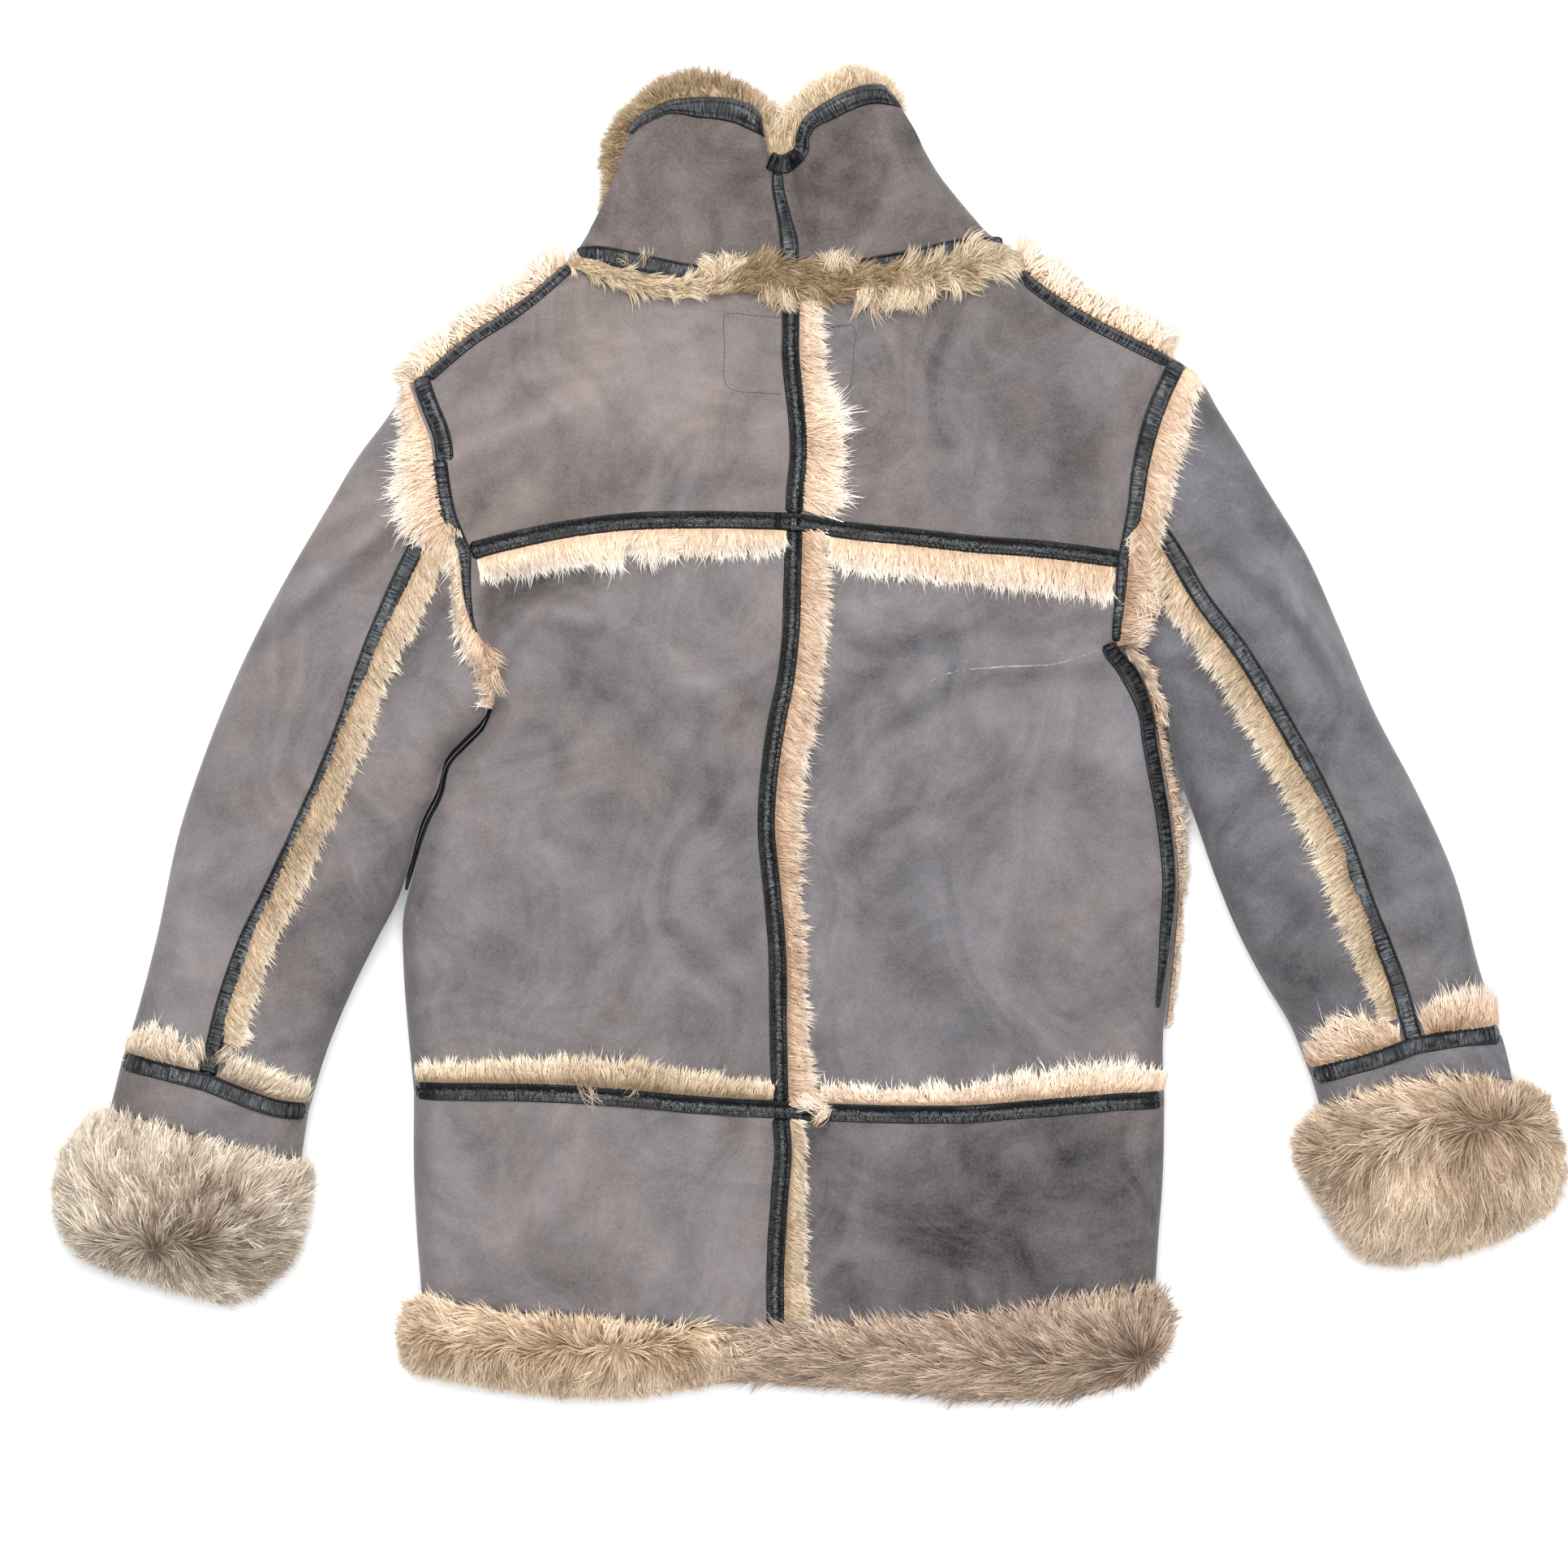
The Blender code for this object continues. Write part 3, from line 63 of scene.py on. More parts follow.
# Rounding of the folded edges.
BACK_ROUND = 20.0
FRONT_ROUND = 14.0
EDGE_STEP = 0.25
EDGE_CURVE = 2.2
EDGE_TURN = 2.6
EDGE_COLUMNS = (0.0, 0.4, 1.0, 1.8, 2.8, 4.2, 6.0, 8.5, 12.0, 16.0)
# About how long the lines are along which a panel's points crowd at a folded edge.
BACK_SPAN = 230.0
ARMHOLE_SPAN = 110.0
FRONT_SPAN = 240.0
COLLAR_SPAN = 120.0
SLEEVE_SPAN = 75.0
CUFF_SPAN = 125.0

# How the cloth is pulled in at a seam and puffs up beside it.
SEAM_DIP = 1.5
SEAM_DIP_WIDTH = 7.0
SEAM_PUFF = 0.9
SEAM_PUFF_PLACE = 24.0
SEAM_PUFF_WIDTH = 12.0

# Clearances in plan.
SEAM_INSET = 0.2
CUFF_INSET = 0.7
SHOULDER_CLEARANCE_LEFT = 0.9
SHOULDER_CLEARANCE_RIGHT = 2.2

# Seams down the middle of the back. Columns: across, up.
CENTRE_YOKE = ((-12, 296), (-12, 266), (-12, 244), (-10, 223), (-7, 191), (-7, 178), (-9, 158), (-10, 137))
CENTRE_MAIN = ((-10, 137), (-11, 96), (-12, 64), (-15, 36), (-21, 6), (-26, -28), (-28, -63),
               (-24, -105), (-21, -140), (-20, -200), (-19, -247))
CENTRE_HEM = ((-19, -247), (-17, -275), (-19, -300), (-22, -349), (-22, -391))
FRONT_OPENING = ((-12, 296), (-49, -389))

# Seams across the back. Columns: across, up.
YOKE_LEFT = ((-223, 117), (-200, 123), (-157, 132), (-115, 137), (-60, 138), (-10, 137))
YOKE_RIGHT = ((-10, 137), (33, 130), (65, 127), (108, 122), (150, 119), (205, 112))
HIP_LEFT = ((-259, -235), (-157, -237), (-115, -240), (-73, -244), (-19, -247))
HIP_RIGHT = ((-19, -247), (47, -250), (101, -250), (154, -246), (203, -242), (233, -241))
HEM_LEFT = ((-254, -368), (-210, -378), (-157, -381), (-89, -387), (-22, -391))
HEM_RIGHT = ((-22, -391), (55, -386), (108, -383), (161, -374), (227, -364))

# Neck and shoulder seams. Columns: across, up.
NECK_LEFT = ((-154, 312), (-136, 311), (-110, 306), (-81, 300), (-45, 296), (-12, 296))
NECK_RIGHT = ((-12, 296), (12, 298), (36, 303), (64, 308), (95, 315), (129, 319))
SHOULDER_LEFT = ((-257, 231), (-224, 259), (-189, 282), (-154, 312))
SHOULDER_RIGHT = ((129, 319), (144, 300), (171, 280), (208, 260), (242, 243))

SHOULDER_CORNER = (-262.5, 226.5)

# Armholes, from the shoulder to the yoke seam and on to the armpit. Columns: across, up.
ARMHOLE_LEFT_HIGH = ((-257, 231), (-249, 210), (-242, 192), (-239, 170), (-233, 138), (-223, 117))
ARMHOLE_LEFT_LOW = ((-223, 117), (-222, 91), (-218, 67), (-210, 50), (-207, 34), (-208, 14))
ARMHOLE_RIGHT_HIGH = ((242, 243), (232, 223), (226, 208), (220, 188), (216, 170), (213, 147), (205, 112))
ARMHOLE_RIGHT_LOW = ((205, 112), (204, 96), (202, 75), (202, 55))

# Side edges of the body, from the armpit to the hip seam and on to the hem. Columns: across, up.
SIDE_LEFT_MAIN = ((-208, 14), (-212, 3), (-224, -10), (-235, -22), (-240, -42), (-249, -60),
                  (-259, -92), (-266, -121), (-266, -150), (-262, -205), (-259, -235))
SIDE_LEFT_HEM = ((-259, -235), (-259, -291), (-257, -330), (-254, -368))
SIDE_RIGHT_MAIN = ((202, 55), (210, 46), (219, 31), (226, 12), (228, -4), (231, -21), (238, -63),
                   (241, -100), (238, -143), (232, -205), (233, -241))
SIDE_RIGHT_HEM = ((233, -241), (232, -291), (229, -333), (227, -364))

# Sleeve edges and seams, from the armhole to the cuff seam. Columns: across, up.
SLEEVE_LEFT_OUTER = ((-257, 231), (-268, 218), (-277, 205), (-295, 181), (-316, 146), (-335, 114),
                     (-367, 54), (-393, -7), (-412, -63), (-428, -137), (-443, -193), (-450, -215))
SLEEVE_LEFT_INNER = ((-211, 14), (-217, 3), (-229, -9), (-240, -21), (-246, -42), (-255, -60),
                     (-264, -92), (-271, -112), (-284, -137), (-302, -174), (-317, -211), (-328, -249))
SLEEVE_LEFT_SEAM = ((-236, 150), (-252, 127), (-273, 85), (-290, 43), (-304, 1), (-322, -42),
                    (-346, -95), (-367, -137), (-382, -180), (-394, -229))
SLEEVE_RIGHT_OUTER = ((242, 243), (256, 232), (267, 213), (282, 189), (298, 162), (326, 116),
                      (347, 69), (371, 12), (397, -37), (423, -95), (440, -158), (453, -198))
SLEEVE_RIGHT_INNER = ((205, 56), (216, 44), (227, 27), (235, 8), (240, -15), (246, -37), (254, -58),
                      (268, -98), (282, -132), (301, -168), (314, -189), (329, -226))
SLEEVE_RIGHT_SEAM = ((213, 147), (230, 129), (257, 85), (282, 52), (307, 11), (330, -31),
                     (350, -74), (365, -116), (382, -158), (396, -205))

# Cuff seams and the lower ends of the suede cuffs. Columns: across, up.
CUFF_SEAM_LEFT_OUTER = ((-450, -215), (-422, -222), (-394, -229))
CUFF_SEAM_LEFT_INNER = ((-394, -229), (-369, -239), (-348, -246), (-328, -249))
CUFF_END_LEFT = ((-458, -247), (-426, -257), (-385, -268), (-343, -279), (-333, -281))
CUFF_SEAM_RIGHT_INNER = ((329, -226), (349, -220), (368, -215), (396, -205))
CUFF_SEAM_RIGHT_OUTER = ((396, -205), (420, -201), (453, -198))
CUFF_END_RIGHT = ((335, -246), (368, -235), (409, -226), (439, -226), (459, -228))

# Outlines of the fur cuffs: each side from the suede cuff down, then the end. Columns: across, up.
FUR_CUFF_LEFT_OUTER = ((-466, -248), (-482, -262), (-494, -288), (-496, -308), (-490, -331), (-476, -347))
FUR_CUFF_LEFT_INNER = ((-326, -283), (-325, -300), (-329, -325), (-339, -350), (-356, -367))
FUR_CUFF_LEFT_END = ((-476, -347), (-455, -356), (-430, -363), (-401, -372), (-375, -375), (-356, -367))
FUR_CUFF_RIGHT_INNER = ((329, -249), (320, -262), (316, -278), (324, -294), (335, -312),
                        (349, -333), (362, -347))
FUR_CUFF_RIGHT_OUTER = ((470, -229), (484, -238), (492, -260), (496, -285), (488, -314))
FUR_CUFF_RIGHT_END = ((362, -347), (383, -351), (410, -347), (441, -339), (470, -326), (488, -314))

# Outlines of the fur hem: its lower end, then each side. Columns: across, up.
FUR_HEM_END_LEFT = ((-49, -425), (-78, -432), (-126, -438), (-210, -431), (-262, -421))
FUR_HEM_END_RIGHT = ((-49, -425), (2, -428), (55, -433), (108, -438), (161, -438), (216, -427))
FUR_HEM_SIDE_LEFT = ((-263, -372), (-270, -388), (-270, -405), (-262, -421))
FUR_HEM_SIDE_RIGHT = ((234, -369), (239, -384), (238, -400), (230, -415), (216, -427))

# Collar edges. Columns: across, up.
COLLAR_FOLD_LEFT = ((-154, 312), (-144, 328), (-136, 342), (-128, 360), (-123, 374), (-117, 390))
COLLAR_FOLD_RIGHT = ((129, 319), (118, 326), (108, 337), (97, 350), (86, 364), (68, 395), (54, 417))
COLLAR_CENTRE = ((-12, 296), (-13, 318), (-17, 339), (-20, 352), (-21, 366))
NOTCH_LEFT = ((-21, 366), (-26, 376), (-29, 387), (-31, 400))
NOTCH_RIGHT = ((-21, 366), (-9, 374), (-5, 385), (0, 398))
COLLAR_TOP_LEFT = ((-117, 390), (-111, 398), (-102, 404), (-91, 409), (-75, 411), (-59, 411),
                   (-46, 409), (-37, 405), (-31, 400))
COLLAR_TOP_RIGHT = ((0, 398), (10, 406), (23, 414), (36, 419), (47, 421), (54, 417))
COLLAR_TAPE_RIGHT = ((-25, 375.5), (-20, 373.7), (-13, 375), (-7, 379), (-5.5, 388), (-2, 397), (9.6, 406.8),
                     (23.4, 414.5), (39, 419.5), (50, 419), (55.5, 415.5))
# How far from its end a collar tape starts to turn towards its cut.
CUT_REACH = 14.0
# The share of a collar fold that is closed at the neck on the left, and open at the top on the
# right. The share of a main panel's side that lies below the armpit. The share of the upper armhole
# that the inner sleeve panel takes.
CLOSED_FOLD = 0.2
ARMPITS = {"left": 0.72, "right": 0.84}
SLEEVE_HEAD = 0.28

# Fur inside the collar, a row for each section along its top edge.
# Columns: root across, root up, tip across, tip up, share of full depth.
COLLAR_FUR = (
    (-120, 334, -138, 338, 0.15), (-116, 346, -136, 352, 0.6), (-110, 360, -137, 366, 1.0),
    (-104, 376, -139, 380, 1.0), (-98, 387, -133, 397, 1.0), (-92, 394, -120, 412, 1.0),
    (-82, 398, -104, 427, 1.0), (-70, 400, -83, 436, 1.0), (-57, 400, -60, 435, 1.0),
    (-46, 396, -41, 426, 1.0), (-36, 386, -27, 417, 1.0), (-24, 356, -19, 407, 1.0),
    (-2, 370, -9, 415, 1.0), (8, 390, 1, 428, 1.0), (20, 400, 14, 435, 1.0),
    (33, 405, 27, 438, 1.0), (41, 404, 41, 436, 1.0), (46, 398, 52, 427, 0.9), (50, 388, 60, 405, 0.6),
)

# Fur at the right side seam, its two edges. Columns: across, up.
SIDE_FUR_INNER = ((224, 22), (229, 0), (233, -21), (237, -42), (240, -63), (243, -100),
                  (240, -143), (235, -195))
SIDE_FUR_OUTER = ((228, 20), (233, 0), (239, -21), (244, -42), (248, -63), (248, -90),
                  (244, -143), (239, -195))

# The curly fur over the neck seam. Columns: across, up, half width.
NECK_FUR = (
    (-158, 309, 4), (-146, 304, 6), (-131, 298, 7), (-109, 292, 7), (-90, 289, 8), (-65, 292, 10),
    (-42, 295, 11), (-17, 296, 12), (6, 294, 12), (29, 293, 12), (52, 293, 12), (75, 296, 11),
    (98, 301, 10), (121, 307, 8), (140, 307, 5),
)
NECK_FUR_HEIGHT = 13.0

# Creases and troughs of the lying cloth. Columns: path, height, half width.
CREASE_DEPTH = 1.9
CREASES = (
    (((-13, 372), (-10, 356), (-8, 338), (-5, 320)), -2.2, 3.2),
    (((-4, 372), (-1, 356), (2, 338)), 1.6, 6.0),
    (((-29, 380), (-26, 360), (-25, 335)), 1.2, 5.0),
    (((-236, 182), (-196, 196), (-157, 212)), 3.0, 24.0),
    (((-236, 178), (-196, 193), (-157, 208)), 1.5, 7.0),
    (((-203, 46), (-198, 66), (-182, 78), (-144, 72)), 6.0, 12.0),
    (((-278, 140), (-309, 110), (-353, 73)), 7.0, 12.0),
    (((277, 118), (319, 78), (345, 47), (368, 12)), 8.0, 11.0),
    (((192, 52), (142, 43), (96, 40), (67, 22)), 4.0, 14.0),
    (((-30, 60), (-60, -20), (-75, -110)), 3.0, 30.0),
    (((60, 60), (90, -60), (80, -170)), 3.0, 34.0),
    (((-330, -60), (-380, -100)), 4.0, 16.0),
    (((310, -80), (360, -130)), 4.0, 18.0),
    (((-100, 360), (-60, 372)), 3.0, 22.0),
    (((10, 372), (60, 350)), 4.0, 22.0),
    (((-189, 186), (-202, 159)), -1.8, 9.0),
    (((-168, 176), (-181, 160)), -1.5, 8.0),
    (((-213, 62), (-206, 84), (-188, 95), (-146, 92)), -3.4, 9.0),
    (((-238, 76), (-246, 52), (-253, 32)), -3.0, 9.0),
    (((-268, 118), (-300, 92), (-348, 52)), -2.2, 9.0),
    (((-262, 160), (-296, 128), (-332, 98)), -2.2, 8.0),
    (((196, 68), (150, 58), (104, 54), (70, 40)), -2.6, 9.0),
    (((262, 122), (300, 84), (334, 38)), -2.2, 9.0),
    (((300, 132), (334, 92), (352, 62)), -2.4, 8.0),
    (((316, 150), (336, 116), (352, 88)), 2.4, 9.0),
    (((-180, -270), (-205, -320), (-195, -350)), 1.6, 14.0),
    (((-160, -275), (-178, -345)), -1.3, 10.0),
    (((120, -275), (150, -340)), 1.3, 16.0),
    (((-330, 60), (-345, 10), (-372, -40)), 2.0, 18.0),
    (((-276, -40), (-300, -110)), 2.0, 16.0),
    (((374, -60), (392, -120)), 2.2, 15.0),
    (((352, -96), (372, -150)), -1.6, 9.0),
    (((-120, 300), (-150, 240), (-140, 190)), 1.6, 26.0),
    (((90, 290), (120, 230), (110, 180)), 1.6, 28.0),
    (((40, -60), (20, -180)), -1.2, 22.0),
    (((-150, -20), (-170, -150)), 1.6, 26.0),
    (((150, -20), (170, -120)), -1.4, 22.0),
    (((-40, 386), (-34, 350), (-30, 320)), 1.5, 10.0),
    (((22, 352), (14, 380)), 2.6, 14.0),
    (((-190, 300), (-170, 280)), 1.2, 12.0),
)

# Darker and paler places of the nap, and painted shade and painted light beside folds and creases. Columns:
# across, up, radius, tone.
NAP_SPOTS_AND_PAINTED_SHADE = (
    (-130, 215, 70, 0.12), (-60, 190, 50, 0.06), (100, -310, 110, -0.16), (-100, -320, 70, 0.03),
    (-170, -60, 90, 0.02), (150, -80, 100, -0.02), (-380, -60, 60, 0.05), (330, -20, 60, -0.05),
    (102, 212, 34, -0.13), (176, 260, 26, 0.05), (214, 255, 26, -0.08), (176, 149, 34, -0.09),
    (60, 160, 30, 0.05), (130, 285, 26, -0.05), (-163, 165, 30, -0.15), (-88, 165, 34, -0.13),
    (-40, 172, 22, -0.08), (-210, 239, 24, -0.06), (-120, 230, 36, 0.05), (-150, 275, 28, -0.05),
    (-190, 200, 26, 0.07), (-70, 260, 40, 0.02), (-196, 84, 16, -0.26), (-168, 86, 22, -0.14),
    (-136, -20, 34, -0.09), (-189, -132, 40, -0.07), (-73, -95, 44, -0.06), (-230, -158, 28, 0.06),
    (-72, 75, 34, 0.05), (-150, 40, 30, 0.05), (-100, -190, 40, 0.05), (-60, 20, 26, -0.06),
    (40, 4, 28, 0.12), (123, -30, 26, -0.12), (176, -47, 26, -0.1), (96, -170, 44, 0.04),
    (182, -148, 34, -0.06), (108, 58, 30, -0.12), (60, 62, 24, -0.08), (210, 8, 22, 0.08),
    (150, 14, 26, 0.06), (20, -110, 30, -0.06), (-189, -317, 24, 0.13), (-212, -282, 22, -0.07),
    (-104, -317, 34, -0.07), (-136, -360, 26, -0.06), (-60, -290, 30, 0.03), (-240, -340, 18, 0.06),
    (108, -307, 80, -0.13), (176, -264, 34, -0.06), (30, -350, 34, -0.06), (200, -330, 26, -0.05),
    (-353, 75, 30, -0.06), (-318, 190, 26, 0.04), (-406, -132, 34, 0.04), (-280, -100, 26, -0.08),
    (-306, -185, 26, -0.06), (-262, 30, 20, -0.1), (-300, 60, 20, 0.04), (-370, -20, 30, -0.06),
    (309, 160, 24, -0.1), (341, 106, 20, -0.06), (320, 90, 14, 0.12), (372, -95, 24, -0.12),
    (256, -52, 26, -0.06), (298, -132, 30, -0.05), (420, -110, 24, 0.05), (350, 0, 26, -0.05),
    (268, 60, 24, -0.04), (-41, 329, 20, -0.1), (-51, 371, 18, -0.05), (-100, 345, 26, 0.05),
    (23, 361, 17, -0.17), (55, 345, 20, 0.05), (44, 313, 20, 0.08), (90, 335, 16, -0.05),
    (-390, -250, 24, 0.03), (400, -218, 24, 0.02), (-436, -240, 14, -0.08),
    (162, 147, 8, 0.14), (217, 232, 12, -0.14), (-63, 82, 15, -0.16), (-148, -27, 18, 0.12),
    (157, -32, 24, -0.12), (37, -122, 12, -0.16), (197, -17, 16, 0.12), (12, -177, 14, 0.12),
    (-168, -352, 18, -0.12), (97, -327, 22, -0.08), (222, -292, 16, -0.1), (-48, 357, 14, -0.18),
    (-93, 362, 14, 0.16), (17, 337, 7, 0.18), (17, 360, 8, 0.24), (72, 387, 12, -0.16),
    (-358, 2, 18, -0.14), (-393, -52, 16, -0.14), (-303, -107, 16, -0.14), (297, 127, 12, -0.2),
    (327, 87, 10, -0.16),
)

# Soft strokes: some where the nap is brushed another way, many a painted highlight on a fold's ridge or
# painted shade in its trough. Columns: path, tone, half width.
NAP_STROKES_AND_FOLD_LIGHT = (
    (((-228, 222), (-188, 250), (-138, 275)), -0.17, 9), (((-232, 181), (-183, 202), (-148, 220)), 0.26, 8),
    (((-234, 193), (-190, 214), (-158, 232)), -0.14, 8),
    (((-218, 147), (-188, 175)), -0.2, 8), (((-150, 152), (-113, 177)), -0.17, 12),
    (((-94, 153), (-18, 167)), -0.16, 9), (((52, 247), (122, 232), (177, 207)), -0.14, 9),
    (((130, 192), (182, 158)), -0.12, 16), (((122, 287), (172, 272)), -0.14, 9),
    (((22, 152), (82, 147)), -0.14, 9), (((-100, 190), (-60, 230), (-52, 265)), 0.07, 12),
    (((60, 190), (100, 176)), 0.09, 9), (((-210, 82), (-182, 97), (-146, 101)), -0.4, 10),
    (((-200, 56), (-172, 77), (-120, 68), (-68, 32)), 0.2, 8),
    (((-150, 38), (-123, 17), (-88, -18), (-58, -57)), -0.19, 11),
    (((-68, -97), (-43, -142)), -0.16, 6), (((-232, -50), (-238, -104)), 0.14, 8),
    (((-246, -78), (-250, -124)), -0.14, 7), (((-180, -60), (-120, -150)), 0.08, 14),
    (((-96, -130), (-150, -210)), -0.08, 12), (((52, 52), (32, 32), (2, -12), (-3, -42)), -0.26, 9),
    (((197, 55), (132, 53), (97, 46), (64, 31)), 0.16, 6),
    (((192, 40), (132, 37), (97, 29), (66, 13), (32, -22)), -0.18, 6),
    (((22, -82), (77, -37)), -0.14, 10), (((90, 4), (130, -6)), 0.08, 10),
    (((140, -60), (180, -110), (176, -150)), 0.08, 12), (((60, -150), (120, -190)), -0.08, 12),
    (((-233, -282), (-210, -332)), 0.14, 9), (((-198, -332), (-168, -277)), 0.13, 9),
    (((-228, -317), (-208, -372)), -0.12, 9), (((-110, -290), (-60, -330)), 0.07, 14),
    (((142, -277), (177, -347)), 0.12, 12), (((20, -290), (50, -350)), 0.08, 12),
    (((37, 321), (72, 328)), 0.14, 6), (((-2, 370), (3, 345), (4, 318)), -0.2, 7),
    (((-264, 148), (-300, 122), (-338, 92)), 0.2, 6), (((-262, 163), (-296, 140), (-330, 113)), -0.2, 8),
    (((-268, 47), (-238, 87)), -0.22, 9), (((-322, 40), (-350, -20)), 0.08, 10),
    (((277, 147), (312, 97), (352, 32)), 0.22, 6), (((276, 66), (322, 0), (359, -52), (376, -97)), -0.18, 12),
    (((302, -147), (332, -167)), -0.15, 10), (((392, -20), (424, -100)), 0.08, 10),
    (((-394, -110), (-420, -170)), 0.08, 10),
)

# Each panel's hue, from warm 0 to cool 1, and how much paler it is, by the start of its name.
PANELS = {
    "back_yoke_left": (0.1, 0.15), "back_yoke_right": (0.35, -0.03), "back_main_left": (0.45, 0.08),
    "back_main_right": (0.6, 0.03), "back_hem_left": (0.4, 0.16), "back_hem_right": (0.55, -0.22),
    "sleeve_left_outer": (0.4, 0.14), "sleeve_left_inner": (0.4, 0.05), "sleeve_right_outer": (0.95, -0.08),
    "sleeve_right_inner": (0.95, -0.16), "collar": (0.0, -0.22), "cuff_left": (0.4, 0.0),
    "cuff_right": (0.8, 0.0), "front": (0.4, 0.0),
}

# Tapes that lie over the seams. Columns: name, path name, start and end cut off in mm.
TAPES = (
    ("tape_centre_yoke", "centre_yoke", 6.4, 5.5),
    ("tape_centre_main", "centre_main", 5.5, 5.5),
    ("tape_centre_hem", "centre_hem", 5.5, 4.0),
    ("tape_yoke", "yoke", 2.4, 2.6),
    ("tape_hip", "hip", 2.0, 2.0),
    ("tape_armhole_right", "armhole_right", 1.5, 4.0),
    ("tape_sleeve_left", "sleeve_left_seam", 7.5, 5.4),
    ("tape_sleeve_right", "sleeve_right_seam", 7.5, 5.4),
    ("tape_cuff_left", "cuff_left_seam", 2.0, 2.0),
    ("tape_cuff_right", "cuff_right_seam", 2.0, 2.0),
    ("tape_neck", "neck", 2.0, 2.0),
    ("tape_collar_centre", "collar_centre", 5.5, 1.0),
)
TAPE_ENDS = {"tape_hip": (4.5, 4.5), "tape_sleeve_left": (1.2, 0.0), "tape_sleeve_right": (1.2, 0.0)}
# Tapes that another tape's stitches run on across. Columns: the seams before and after the tape,
# each with the share of it that the stitches take.
TAPE_CROSSINGS = {
    "tape_yoke": ("centre_yoke", 0.035, "centre_main", 0.014),
    "tape_hip": ("centre_main", 0.014, "centre_hem", 0.037),
}
CROSSING_OFFSET = 3.7
CROSSING_HEIGHT = 2.0
# How wide a tape is, as a share of the usual, at shares of its length.
TAPE_WIDTHS = {
    "tape_collar_centre": ((0, 0.9), (0.3, 1.0), (0.6, 0.75), (1, 0.62)),
    "tape_armhole_right": ((0, 1.0), (0.35, 1.0), (0.58, 0.82), (0.75, 0.62), (0.9, 0.58), (1, 0.7)),
}
TAPE_OFFSETS = (-5.8, -5.5, -5.0, -4.5, -4.0, -2.5, 0.0, 2.5, 4.0, 4.5, 5.0, 5.5, 5.8)
TAPE_HEIGHTS = (0.35, 1.25, 1.7, 1.5, 1.1, 1.95, 2.15, 1.95, 1.1, 1.5, 1.7, 1.25, 0.35)
STITCH_COLUMNS = (4, 8)
SIDE_TAPE_START = ((200.5, 59.0),)
TAPE_ROW = 2.2
TAPE_TILT = 0.2
FINE_RIBS = 0.22
BROAD_RIBS = 0.42
STITCH_PITCH = 3.0
STITCH_SIZE = (1.05, 0.3, 0.28)

